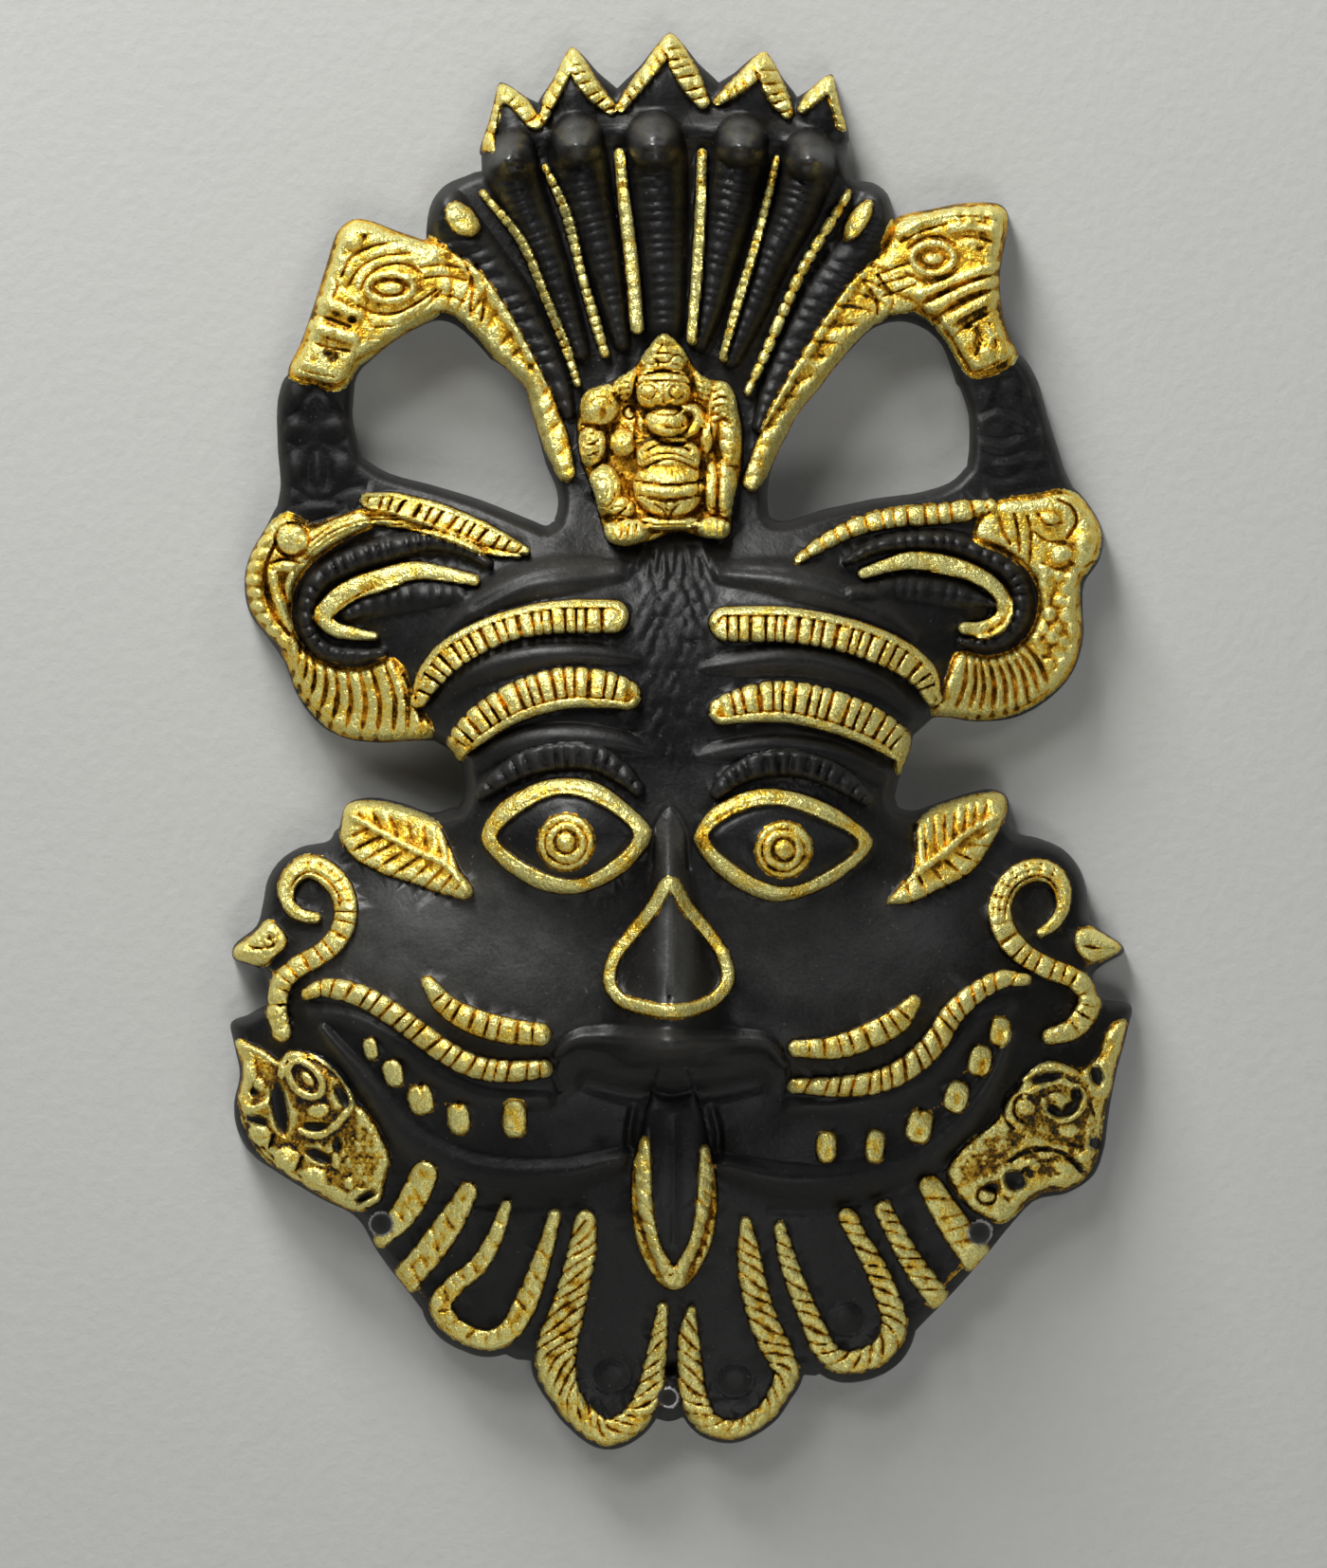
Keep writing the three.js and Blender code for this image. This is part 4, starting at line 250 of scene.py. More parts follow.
# raised cords: path, width, height, k = section (r round, s soft, k keel, f flat, g full), b and bd = pitch and depth of the bands, e = plain border, g = gilt
RIDGES = {
 'cobra_body_1': {
     'p': [(-31.42, -8.98), (-28.42, -17.2), (-24.87, -25.81), (-21.13, -35.9), (-17.95, -45.25)],
     'w': [11.09, 10.14, 9.05, 7.89, 6.88, 5.65, 4.26],
     'h': [7.6, 6.0, 4.9, 4.2, 3.9, 3.6, 3.2],
     'k': 'c',
     'b': 2.15,
     'bd': 0.1},
 'cobra_body_2': {
     'p': [(-18.33, -6.73), (-16.08, -16.83), (-13.09, -28.05), (-10.85, -38.34), (-9.72, -43.38)],
     'w': [11.93, 10.9, 9.84, 8.68, 7.33, 5.82, 3.83],
     'h': [7.6, 6.3, 5.2, 4.5, 4.1, 3.8, 3.2],
     'k': 'c',
     'b': 2.15,
     'bd': 0.1},
 'cobra_body_3': {
     'p': [(-2.99, -6.36), (-2.24, -18.7), (-1.5, -29.92), (-1.12, -40.2)],
     'w': [12.79, 11.51, 9.38, 7.67],
     'h': [7.6, 5.4, 4.2, 3.8, 3.2],
     'k': 'c',
     'b': 2.15,
     'bd': 0.1},
 'cobra_body_4': {
     'p': [(13.28, -6.73), (11.22, -17.77), (9.16, -28.05), (7.11, -38.34), (5.61, -43.38)],
     'w': [11.93, 11, 9.97, 8.71, 7.31, 5.78, 3.83],
     'h': [7.6, 6.4, 5.3, 4.5, 4.1, 3.8, 3.2],
     'k': 'c',
     'b': 2.15,
     'bd': 0.1},
 'cobra_body_5': {
     'p': [(26.93, -8.98), (24.31, -17.2), (20.01, -26.18), (15.71, -37.4), (11.97, -46.38)],
     'w': [11.09, 10.1, 8.98, 7.87, 6.92, 5.74, 4.26],
     'h': [7.6, 5.9, 4.8, 4.1, 3.9, 3.6, 3.2],
     'k': 'c',
     'b': 2.15,
     'bd': 0.1},
 'side_body_l': {
     'p': [(-44.51, -17.2), (-38.9, -24.68), (-31.79, -34.03), (-26.55, -42.64), (-22.44, -50.86), (-20.2, -57.22)],
     'w': [9.72, 9.46, 9.16, 8.83, 8.25, 7.29, 5.8, 2.99],
     'h': 2.8,
     'k': 'c',
     'b': 3.37,
     'bd': 0.22,
     'sk': 0.35},
 'side_body_r': {
     'p': [(41.14, -17.2), (35.9, -25.81), (29.55, -35.16), (24.31, -44.51), (19.45, -54.23), (17.2, -59.84)],
     'w': [9.72, 9.46, 9.16, 8.81, 8.21, 7.26, 5.82, 2.62],
     'h': 2.8,
     'k': 'c',
     'b': 2.99,
     'bd': 0.18,
     'sk': -0.3},
 'head_band': {
     'p': [(-34.78, -7.48), (-31.23, -4.11), (-24.87, -2.24), (-18.51, -1.31), (-10.85, -1.12), (-1.87, -0.75), (5.98, -1.12), (13.84, -1.5), (20.94, -2.62),
         (27.11, -4.11), (32.16, -7.11)],
     'w': [6.73, 8.28, 8.6, 8.94, 8.98, 9.13, 9.33, 9.07, 8.98, 8.88, 8.56, 8.21, 6.73],
     'h': 2.4,
     'k': 's'},
 'rib_a': {
     'p': [(-37.03, -13.84), (-29.55, -23.38), (-24.5, -35.16), (-20.76, -44.32), (-18.51, -51.24)],
     'w': [1.68, 2, 2.23, 2.11, 2.11, 2.23, 1.68],
     'h': 2.8,
     'k': 'g',
     'b': 2.06,
     'bd': 0.3,
     'g': 1,
     'sc': 0.16},
 'rib_b': {
     'p': [(-24.87, -8.6), (-20.76, -17.77), (-17.58, -29.92), (-15.15, -38.34), (-13.09, -45.25)],
     'w': [1.68, 2.17, 2.36, 2.15, 2.26, 2.56, 2.06],
     'h': 3.2,
     'k': 'g',
     'b': 2.06,
     'bd': 0.3,
     'g': 1,
     'sc': 0.16},
 'rib_c': {
     'p': [(-10.1, -5.98), (-9.54, -13.09), (-7.67, -28.8), (-6.73, -40.2)],
     'w': [2.43, 2.99, 3.18, 2.99],
     'h': 3.2,
     'k': 'g',
     'b': 2.43,
     'bd': 0.1,
     'g': 1},
 'rib_d': {
     'p': [(6.17, -5.98), (5.8, -16.83), (5.05, -29.92), (3.93, -42.64)],
     'w': [2.24, 2.43, 2.43, 2.06],
     'h': 3.2,
     'k': 'g',
     'b': 2.06,
     'bd': 0.12,
     'g': 1},
 'rib_e': {
     'p': [(20.94, -6.73), (19.45, -13.09), (16.64, -23.94), (13.09, -35.53), (10.1, -46.19)],
     'w': [1.5, 2.06, 1.94, 1.96, 2.17, 1.96, 1.5],
     'h': 3.2,
     'k': 'g',
     'b': 2.06,
     'bd': 0.3,
     'g': 1,
     'sc': 0.14},
 'rib_f': {
     'p': [(35.16, -13.65), (30.86, -20.57), (25.99, -28.8), (22.07, -37.4), (18.7, -45.25), (15.15, -52.92)],
     'w': [1.68, 2.26, 2.43, 2.43, 2.43, 2.43, 2.24, 1.68],
     'h': 2.8,
     'k': 'g',
     'b': 3.18,
     'bd': 0.4,
     'g': 1,
     'sc': 0.42},
 'chevron_1': {
     'p': [(-36.09, -4.49), (-35.9, 0), (-35.16, 4.11), (-33.1, 5.8), (-30.48, 4.49), (-28.61, 2.24), (-26.74, 0.37), (-24.5, 1.87)],
     'w': [2.62, 3.03, 3.38, 3.5, 3.65, 3.67, 3.5, 3.37, 3.25, 1.87],
     'h': 2.0,
     'k': 'g',
     'b': 2.34,
     'bd': 0.62,
     'g': 1,
     'sk': 0.3},
 'chevron_2': {
     'p': [(-25.06, 1.5), (-23.56, 5.42), (-21.69, 9.72), (-19.64, 12.9), (-17.58, 9.35), (-14.96, 5.8), (-11.97, 2.99)],
     'w': [1.87, 2.86, 3.27, 3.48, 4.11, 3.83, 3.74, 3.48, 2.62],
     'h': 2.0,
     'k': 'g',
     'b': 2.34,
     'bd': 0.62,
     'g': 1,
     'sk': 0.3},
 'chevron_3': {
     'p': [(-9.91, 3.18), (-7.11, 6.73), (-3.93, 11.03), (-0.37, 15.52), (1.87, 11.59), (4.11, 7.67), (6.17, 4.3)],
     'w': [2.24, 2.54, 2.81, 3.22, 4.15, 4.49, 4.49, 4.34, 2.99],
     'h': 2.0,
     'k': 'g',
     'b': 2.34,
     'bd': 0.62,
     'g': 1,
     'sk': 0.3},
 'chevron_4': {
     'p': [(9.16, 4.3), (12.72, 6.92), (15.89, 9.72), (18.33, 12.15), (19.64, 8.6), (21.13, 5.05), (23, 2.06)],
     'w': [1.87, 2.73, 3.37, 3.76, 4.39, 4.38, 4.23, 3.85, 2.62],
     'h': 2.0,
     'k': 'g',
     'b': 2.34,
     'bd': 0.62,
     'g': 1,
     'sk': 0.3},
 'chevron_5': {
     'p': [(25.62, 2.62), (27.86, 5.24), (30.29, 7.48), (32.35, 6.73), (33.29, 3.55), (33.85, -0.19)],
     'w': [1.5, 2.62, 3.37, 3.72, 3.53, 3.4, 2.92, 2.24],
     'h': 2.0,
     'k': 'g',
     'b': 2.34,
     'bd': 0.62,
     'g': 1,
     'sk': 0.3},
 'arch_l': {
     'p': [(-48.25, -30.29), (-41.89, -32.35), (-36.09, -38.15), (-30.86, -46), (-25.81, -55.35), (-22.44, -63.21), (-20.57, -68.82)],
     'w': [13.84, 10.73, 8.79, 7.54, 6.71, 6.26, 5.8, 5.25, 3.55],
     'h': 2.2,
     'k': 'g',
     'b': 4.11,
     'bd': 0.26,
     'g': 1,
     'sk': -0.35,
     'u': 1},
 'arch_r': {
     'p': [(46.19, -30.29), (39.64, -34.03), (33.66, -40.58), (27.68, -49.18), (22.63, -57.41), (18.7, -64.89), (15.71, -70.69)],
     'w': [13.84, 10.32, 8.49, 7.52, 7.16, 6.69, 6.08, 5.22, 3.55],
     'h': 2.2,
     'k': 'g',
     'b': 3.93,
     'bd': 0.26,
     'g': 1,
     'sk': -0.7,
     'u': 1},
 'ear_band_l': {
     'p': [(-59.84, -74.43), (-55.35, -74.8), (-51.24, -75.92), (-45.07, -77.79), (-35.53, -81.53), (-28.61, -84.34)],
     'w': [2.99, 4.32, 4.9, 5.18, 4.97, 4.64, 3.38, 1.5],
     'h': 2.6,
     'k': 'g',
     'b': 2.43,
     'bd': 0.6,
     'g': 1,
     'e': -1,
     'sk': 0.25},
 'ear_edge_l': {
     'p': [(-70.69, -82.84), (-65.08, -79.66), (-59.84, -77.61), (-53.11, -78.54), (-45.07, -80.78), (-35.9, -84.34), (-29.92, -85.27)],
     'w': [4.86, 4.54, 3.91, 3.29, 2.75, 2.26, 2.06, 1.76, 0.94],
     'h': 1.6,
     'k': 'g',
     'g': 1},
 'ear_rim_l': {
     'p': [(-36.09, -86.77), (-40.77, -83.78), (-47.31, -82.28), (-53.86, -83.4), (-63.21, -86.21), (-69.19, -89.76), (-71.62, -94.25), (-71.81, -99.11),
         (-68.82, -103.6), (-63.58, -105.09), (-57.22, -104.53)],
     'w': [2.24, 4, 4.66, 5.44, 6.02, 6.11, 5.8, 5.09, 4.45, 4.24, 4.21, 4.15, 2.62],
     'h': 3.2,
     'k': 'c',
     'b': 2.52,
     'bd': 0.3},
 'ear_comma_l': {
     'p': [(-38.9, -90.13), (-45.07, -88.83), (-51.05, -88.26), (-57.03, -89.95), (-62.65, -91.82), (-66.95, -94.81), (-68.63, -97.24), (-66.57, -99.67),
         (-62.83, -100.61), (-58.53, -101.17)],
     'w': [2.43, 2.79, 3.25, 3.87, 4.38, 4.64, 4.51, 4.49, 4.04, 3.16, 2.71, 1.5],
     'h': 2.6,
     'k': 'g',
     'g': 1},
 'ear_lobe_l': {
     'p': [(-63.58, -96.68), (-57.6, -94.25), (-50.86, -92.94), (-42.26, -92.38)],
     'w': [3.74, 6.36, 6.73, 4.49],
     'h': 2.2,
     'k': 'c',
     'b': 2.62,
     'bd': 0.28},
 'ear_band_r': {
     'p': [(25.06, -86.02), (29.55, -83.03), (35.9, -79.85), (43.38, -77.98), (51.8, -77.23), (58.34, -76.3), (63.21, -75.17)],
     'w': [1.87, 3.09, 3.55, 3.8, 3.93, 4.15, 4.34, 4.49, 2.24],
     'h': 2.4,
     'k': 'r',
     'b': 2.99,
     'bd': 0.5,
     'g': 1,
     'sc': 0.1},
 'ear_rim_r': {
     'p': [(34.59, -86.39), (40.58, -83.4), (47.5, -82.28), (55.54, -82.65), (62.08, -85.27), (66.95, -88.45), (69.19, -93.13), (68.63, -97.8),
         (65.82, -101.17), (61.71, -102.66), (57.22, -102.1)],
     'w': [1.87, 3.22, 4.06, 4.53, 4.75, 4.92, 5.05, 5.05, 4.77, 4.67, 4.53, 3.8, 1.87],
     'h': 3.2,
     'k': 'c',
     'b': 2.52,
     'bd': 0.3},
 'ear_comma_r': {
     'p': [(37.96, -88.83), (42.45, -87.33), (47.12, -86.21), (53.3, -86.95), (59.28, -88.64), (63.77, -91.44), (66.01, -95), (64.89, -98.17), (61.71, -99.86),
         (57.97, -99.67)],
     'w': [2.24, 2.84, 3.57, 4.04, 4.28, 4, 3.67, 3.4, 3.22, 3.68, 3.74, 2.62],
     'h': 2.6,
     'k': 'g',
     'g': 1},
 'ear_lobe_r': {
     'p': [(35.9, -92.38), (45.25, -91.26), (54.6, -92.38), (60.59, -93.87), (64.33, -95.18)],
     'w': [2.99, 4.34, 5.63, 5.82, 5.83, 4.38, 1.5],
     'h': 2.0,
     'k': 'c',
     'b': 2.62,
     'bd': 0.28},
 'roll_l0': {
     'p': [(-44.51, -100.61), (-38.9, -95.37), (-30.48, -91.07), (-20.2, -89.01), (-10.47, -88.26)],
     'w': [4.49, 7.84, 9.16, 9.72, 9.72, 8.23, 5.61],
     'h': [1.5, 2.6, 2.9, 3.0, 2.9, 2.4, 1.6],
     'k': 's'},
 'roll_l1': {
     'p': [(-46, -114.44), (-42.64, -109.96), (-36.65, -106.96), (-27.68, -104.91), (-17.39, -104.35), (-6.73, -105.47)],
     'w': [3.37, 6.43, 7.46, 7.72, 7.65, 7.22, 5.16, 2.62],
     'h': [0.8, 1.7, 2.0, 2.0, 1.9, 1.8, 1.3, 0.6],
     'k': 's'},
 'roll_l2': {
     'p': [(-40.39, -127.53), (-36.09, -124.36), (-29.55, -122.11), (-21.13, -121.18), (-11.78, -121.74), (-4.11, -123.79)],
     'w': [3.37, 6.38, 7.26, 7.67, 7.78, 7.35, 5.68, 2.62],
     'h': [0.8, 1.7, 1.9, 2.0, 2.0, 1.9, 1.4, 0.6],
     'k': 's'},
 'roll_r0': {
     'p': [(9.72, -88.64), (20.94, -89.39), (32.16, -92), (41.51, -96.12), (47.5, -100.61)],
     'w': [5.61, 8.08, 9.72, 9.72, 9.26, 8.19, 4.49],
     'h': [1.6, 2.3, 2.8, 3.0, 2.9, 2.7, 1.5],
     'k': 's'},
 'roll_r1': {
     'p': [(6.36, -107.34), (14.4, -106.22), (24.68, -105.47), (34.41, -107.34), (42.45, -110.7), (47.5, -115.94)],
     'w': [2.62, 6.11, 7.44, 7.85, 7.85, 7.27, 5.97, 3.37],
     'h': [0.6, 1.5, 1.9, 2.0, 2.0, 1.9, 1.6, 0.8],
     'k': 's'},
 'roll_r2': {
     'p': [(5.24, -124.92), (13.46, -123.23), (22.81, -122.86), (31.79, -124.17), (39.27, -126.79), (44.13, -130.15)],
     'w': [2.62, 5.72, 7.37, 7.84, 7.85, 7.44, 6.3, 3.37],
     'h': [0.6, 1.4, 1.9, 2.0, 2.0, 1.9, 1.7, 0.8],
     'k': 's'},
 'band_l1': {
     'p': [(-11.59, -97.24), (-14.96, -97.24), (-23, -97.43), (-31.98, -99.11), (-39.08, -102.1), (-44.51, -105.66), (-47.87, -109.77), (-49.74, -113.7)],
     'w': [6.73, 6.88, 6.77, 6.53, 6.23, 6.26, 6.36, 6.36, 5.68, 3.37],
     'h': 3.6,
     'k': 'g',
     'b': 2.34,
     'bd': 0.5,
     'g': 1,
     'e': 1,
     'sc': 0.1},
 'band_l2': {
     'p': [(-8.79, -112.57), (-13.09, -111.64), (-20.2, -111.27), (-26.37, -112.57), (-31.98, -114.82), (-37.96, -118.75), (-41.51, -122.3), (-43.01, -125.29)],
     'w': [6.17, 7.67, 8.25, 8.55, 8.43, 8.04, 7.67, 7.33, 6.25, 2.99],
     'h': 3.6,
     'k': 'g',
     'b': 2.43,
     'bd': 0.5,
     'g': 1,
     'e': -1,
     'sc': 0.1},
 'band_r1': {
     'p': [(10.85, -98.74), (15.71, -98.74), (22.81, -98.92), (32.16, -100.42), (39.64, -102.66), (46.19, -105.84), (49.93, -109.21), (51.61, -113.14)],
     'w': [6.92, 7.29, 7.29, 7.24, 7.12, 7.11, 7.03, 6.77, 6.11, 3.74],
     'h': 3.6,
     'k': 'g',
     'b': 2.43,
     'bd': 0.5,
     'g': 1,
     'e': -1,
     'sc': 0.1},
 'band_r2': {
     'p': [(10.1, -115.75), (13.28, -115), (17.2, -114.26), (22.81, -114.07), (30.29, -115.57), (38.15, -118.37), (43.95, -121.92), (46.19, -124.73),
         (45.81, -127.35)],
     'w': [5.8, 7.18, 8.15, 8.56, 8.6, 8.58, 8.4, 8.15, 7.46, 6.15, 2.99],
     'h': 3.6,
     'k': 'g',
     'b': 2.43,
     'bd': 0.5,
     'g': 1,
     'e': 1,
     'sc': 0.1},
 'lash_l': {
     'p': [(-37.4, -132.02), (-33.66, -129.03), (-28.61, -126.41), (-21.69, -124.92), (-14.59, -125.48), (-9.91, -128.09), (-6.73, -131.27)],
     'w': [2.99, 4.51, 5.05, 5.24, 5.24, 5.24, 5.14, 4.79, 2.99],
     'h': 2.8,
     'k': 'r',
     'b': 2.71,
     'bd': 0.36},
 'lash_r': {
     'p': [(9.16, -132.02), (12.72, -128.66), (18.33, -126.6), (24.68, -126.41), (30.67, -128.09), (35.53, -130.71), (38.52, -133.14)],
     'w': [2.99, 4.39, 4.99, 5.24, 5.24, 5.24, 5.16, 4.88, 2.99],
     'h': 2.8,
     'k': 'r',
     'b': 2.71,
     'bd': 0.36},
 'scroll_l': {
     'p': [(-76.86, -179.15), (-77.79, -174.28), (-76.86, -169.8), (-74.05, -166.62), (-69.75, -164.19), (-66.2, -161.19), (-64.33, -157.08), (-64.7, -152.22),
         (-67.32, -148.48), (-71.43, -146.61), (-74.61, -148.48), (-75.92, -151.84), (-74.8, -154.84), (-72.56, -156.33), (-70.12, -156.71)],
     'w': [4.11, 4.24, 4.3, 4.3, 4.3, 4.3, 4.41, 4.56, 4.71, 4.84, 4.99, 4.86, 4.41, 3.68, 3.05, 2.69, 2.24],
     'h': 2.8,
     'k': 'r',
     'b': 2.71,
     'bd': 0.5,
     'g': 1,
     'brange': (0.1, 0.55),
     'st': (0.5, 1.05, 3, 0.35)},
 'scroll_r': {
     'p': [(74.8, -180.08), (78.91, -178.77), (81.91, -175.41), (82.28, -171.48), (79.1, -168.49), (74.43, -166.62), (69.19, -163.62), (65.82, -159.32),
         (64.89, -154.28), (66.95, -149.79), (71.06, -147.36), (74.8, -147.92), (77.04, -150.72), (77.23, -154.46), (75.55, -157.83), (72.93, -159.7)],
     'w': [3.37, 4.38, 4.79, 4.58, 4.36, 4.3, 4.38, 4.62, 4.79, 4.81, 4.67, 4.67, 4.81, 4.62, 3.95, 3.16, 2.69, 1.87],
     'h': 2.8,
     'k': 'r',
     'b': 2.71,
     'bd': 0.5,
     'g': 1,
     'brange': (0.1, 0.56),
     'st': (0.52, 1.05, 4, 0.3)},
 'lip_l': {
     'p': [(-71.81, -171.67), (-68.44, -170.54), (-61.9, -171.85), (-55.91, -175.03), (-50.12, -179.15), (-44.13, -183.45), (-38.15, -186.25), (-31.42, -187),
         (-25.06, -186.44)],
     'w': [2.62, 4.24, 4.67, 4.82, 4.86, 4.86, 4.86, 4.73, 4.6, 4.34, 3.74],
     'h': 3.4,
     'k': 'r',
     'b': 2.81,
     'bd': 0.5,
     'g': 1,
     'sk': 0.2,
     'sc': 0.06},
 'whisker_l': {
     'p': [(-47.87, -169.61), (-44.51, -173.91), (-38.9, -177.09), (-32.35, -178.96), (-25.81, -179.71)],
     'w': [2.81, 4.24, 4.94, 5.24, 5.24, 4.97, 4.49],
     'h': 2.8,
     'k': 'r',
     'b': 2.9,
     'bd': 0.5,
     'g': 1},
 'lip_r': {
     'p': [(69.94, -168.86), (65.08, -168.86), (59.65, -171.85), (55.54, -175.78), (52.36, -180.83), (47.87, -185.32), (42.26, -188.5), (34.03, -189.99),
         (24.31, -189.81)],
     'w': [2.62, 3.96, 4.28, 4.79, 5.01, 5.05, 4.96, 4.77, 4.53, 3.81, 2.99],
     'h': 3.4,
     'k': 'r',
     'b': 2.81,
     'bd': 0.5,
     'g': 1,
     'sk': 0.35,
     'sc': 0.06},
 'whisker_r': {
     'p': [(24.68, -182.51), (32.16, -182.32), (38.9, -180.08), (44.51, -177.09), (47.87, -173.35)],
     'w': [3.37, 4.11, 4.77, 5.11, 5.31, 5.09, 2.99],
     'h': 2.8,
     'k': 'r',
     'b': 2.9,
     'bd': 0.5,
     'g': 1},
 'lip_edge_l': {'p': [(-70.69, -175.41), (-61.71, -177.28), (-53.86, -181.76), (-46, -188.12), (-36.65, -192.24), (-24.87, -192.61)], 'w': 4.86, 'h': 1.1, 'k': 's'},
 'lip_edge_r': {'p': [(66.2, -174.28), (60.21, -177.28), (55.35, -183.63), (48.06, -189.99), (35.9, -193.73), (23.75, -194.11)], 'w': 4.86, 'h': 1.1, 'k': 's'},
 'lower_lip_l': {
     'p': [(-68.82, -178.59), (-59.09, -190.74), (-51.99, -200.09), (-38.9, -206.82), (-22.07, -207.57), (-8.6, -204.2)],
     'w': [2.99, 5.24, 7.35, 8.81, 9.33, 9.13, 8.13, 5.61],
     'h': 2.3,
     'k': 's'},
 'lower_lip_r': {
     'p': [(66.95, -179.89), (62.08, -190.74), (52.73, -201.21), (39.64, -207.57), (22.81, -208.69), (9.35, -205.33)],
     'w': [2.99, 5.87, 7.7, 8.85, 9.35, 9.13, 8.08, 5.61],
     'h': 2.3,
     'k': 's'},
 'upper_fold': {
     'p': [(-22.44, -183.63), (-19.07, -181.02), (-12.72, -180.46), (-0.75, -181.39), (11.59, -181.02), (18.7, -181.76), (22.44, -185.5)],
     'w': [2.24, 5.16, 6.06, 6.43, 6.68, 6.3, 5.93, 5.31, 2.62],
     'h': [2.0, 2.7, 2.8, 2.9, 3.0, 2.9, 2.8, 2.6, 2.0],
     'k': 's'},
 'tongue': {
     'p': [(0.37, -188.87), (0.56, -198.22), (0.56, -209.44), (0.56, -218.79), (0.56, -227.58)],
     'w': [7.48, 11.35, 13.91, 15.43, 14.03, 10.62, 4.86],
     'h': [1.2, 2.3, 3.1, 3.5, 3.6, 3.3, 2.6],
     'k': 'g'},
 'tongue_edge': {
     'p': [(-5.24, -201.21), (-5.8, -207.57), (-5.42, -215.99), (-3.55, -222.9), (0.56, -227.95), (4.3, -223.84), (6.36, -218.42), (7.11, -210.56),
         (6.73, -202.71)],
     'w': [2.43, 4.06, 4.3, 4.36, 4.49, 4.66, 4.51, 4.34, 4.3, 3.7, 2.24],
     'h': 1.8,
     'k': 'g',
     'b': 2.99,
     'bd': 0.38,
     'g': 1,
     'sk': 0.8},
 'beard_l1': {
     'p': [(-48.81, -207.57), (-50.68, -211.68), (-53.67, -216.36), (-57.22, -220.29)],
     'w': [5.61, 5.8, 5.05, 2.81],
     'h': 1.9,
     'k': 'g',
     'b': 3.18,
     'bd': 0.24,
     'g': 1,
     'sk': 0.4,
     'sc': 0.06},
 'beard_l2': {
     'p': [(-40.2, -210.94), (-43.01, -215.99), (-46.94, -221.59), (-51.99, -227.77)],
     'w': [4.11, 5.61, 5.98, 5.61],
     'h': 1.9,
     'k': 'g',
     'b': 3.74,
     'bd': 0.24,
     'g': 1,
     'sk': 0.5,
     'sc': 0.06},
 'beard_l3': {
     'p': [(-32.54, -213.55), (-34.78, -219.72), (-38.15, -225.34), (-42.64, -229.07), (-45.44, -233), (-43.95, -236.18), (-40.77, -238.61), (-36.09, -239.92),
         (-32.35, -238.43), (-28.98, -233.38), (-26.55, -227.21), (-24.68, -221.59), (-23, -215.42)],
     'w': [2.43, 3.09, 3.52, 3.8, 4.1, 4.45, 4.02, 3.61, 3.95, 4.6, 4.82, 4.3, 3.74, 3.16, 2.62],
     'h': 1.9,
     'k': 'g',
     'b': 3.55,
     'bd': 0.24,
     'g': 1,
     'sk': 0.4,
     'sc': 0.06},
 'beard_l4': {
     'p': [(-16.83, -216.55), (-17.58, -222.53), (-18.89, -228.14), (-20.57, -234.69), (-22.25, -240.29), (-22.63, -244.97), (-21.13, -249.65),
         (-18.14, -254.32), (-12.72, -258.06), (-7.67, -255.82), (-4.49, -250.58), (-3.18, -244.97), (-2.24, -238.43), (-1.68, -233.75)],
     'w': [4.49, 5.72, 6.11, 6.62, 7.39, 8.23, 7.84, 5.85, 5.24, 5.24, 5.24, 5.24, 5.03, 4.41, 3.42, 2.24],
     'h': 1.9,
     'k': 'g',
     'b': 2.81,
     'bd': 0.42,
     'g': 1,
     'sk': -1.1,
     'sc': 0.12},
 'beard_r4': {
     'p': [(14.77, -216.92), (15.33, -223.47), (16.64, -230.94), (18.7, -237.49), (21.32, -242.73), (22.63, -246.47), (20.94, -250.58), (18.33, -254.32),
         (12.53, -257.5), (7.48, -256.19), (4.67, -251.51), (3.74, -244.97), (3.55, -237.49), (4.11, -234.12)],
     'w': [2.43, 4.56, 5.4, 5.65, 5.93, 6.11, 5.33, 3.87, 3.55, 3.42, 4.08, 5.12, 5.46, 5.09, 4.36, 1.87],
     'h': 1.9,
     'k': 'g',
     'b': 2.99,
     'bd': 0.42,
     'g': 1,
     'sk': 0.9,
     'sc': 0.12},
 'beard_r3': {
     'p': [(21.5, -217.85), (22.81, -223.47), (25.06, -230.01), (27.86, -236.56), (29.92, -241.23), (33.1, -244.03), (37.77, -243.85), (42.26, -241.23),
         (43.95, -236.56), (42.45, -230.94), (39.64, -224.4), (36.84, -219.72), (34.78, -215.61)],
     'w': [2.43, 3.52, 3.95, 4.21, 4.45, 4.79, 4.53, 4.49, 4.66, 5.12, 5.11, 4.82, 4.41, 3.76, 4.11],
     'h': 1.9,
     'k': 'g',
     'b': 2.99,
     'bd': 0.46,
     'g': 1,
     'sk': 0.8,
     'sc': 0.13},
 'beard_r2': {
     'p': [(41.89, -214.3), (45.25, -220.66), (48.62, -226.27), (52.36, -231.32)],
     'w': [3.74, 4.3, 4.86, 4.86],
     'h': 1.9,
     'k': 'g',
     'b': 2.62,
     'bd': 0.46,
     'g': 1,
     'sk': 0.8,
     'sc': 0.14},
 'beard_r1': {
     'p': [(51.24, -209.63), (54.6, -215.42), (59.84, -223.28)],
     'w': [4.86, 6.17, 6.17],
     'h': 1.9,
     'k': 'g',
     'b': 3.18,
     'bd': 0.34,
     'g': 1,
     'sk': 0.4,
     'sc': 0.06}}

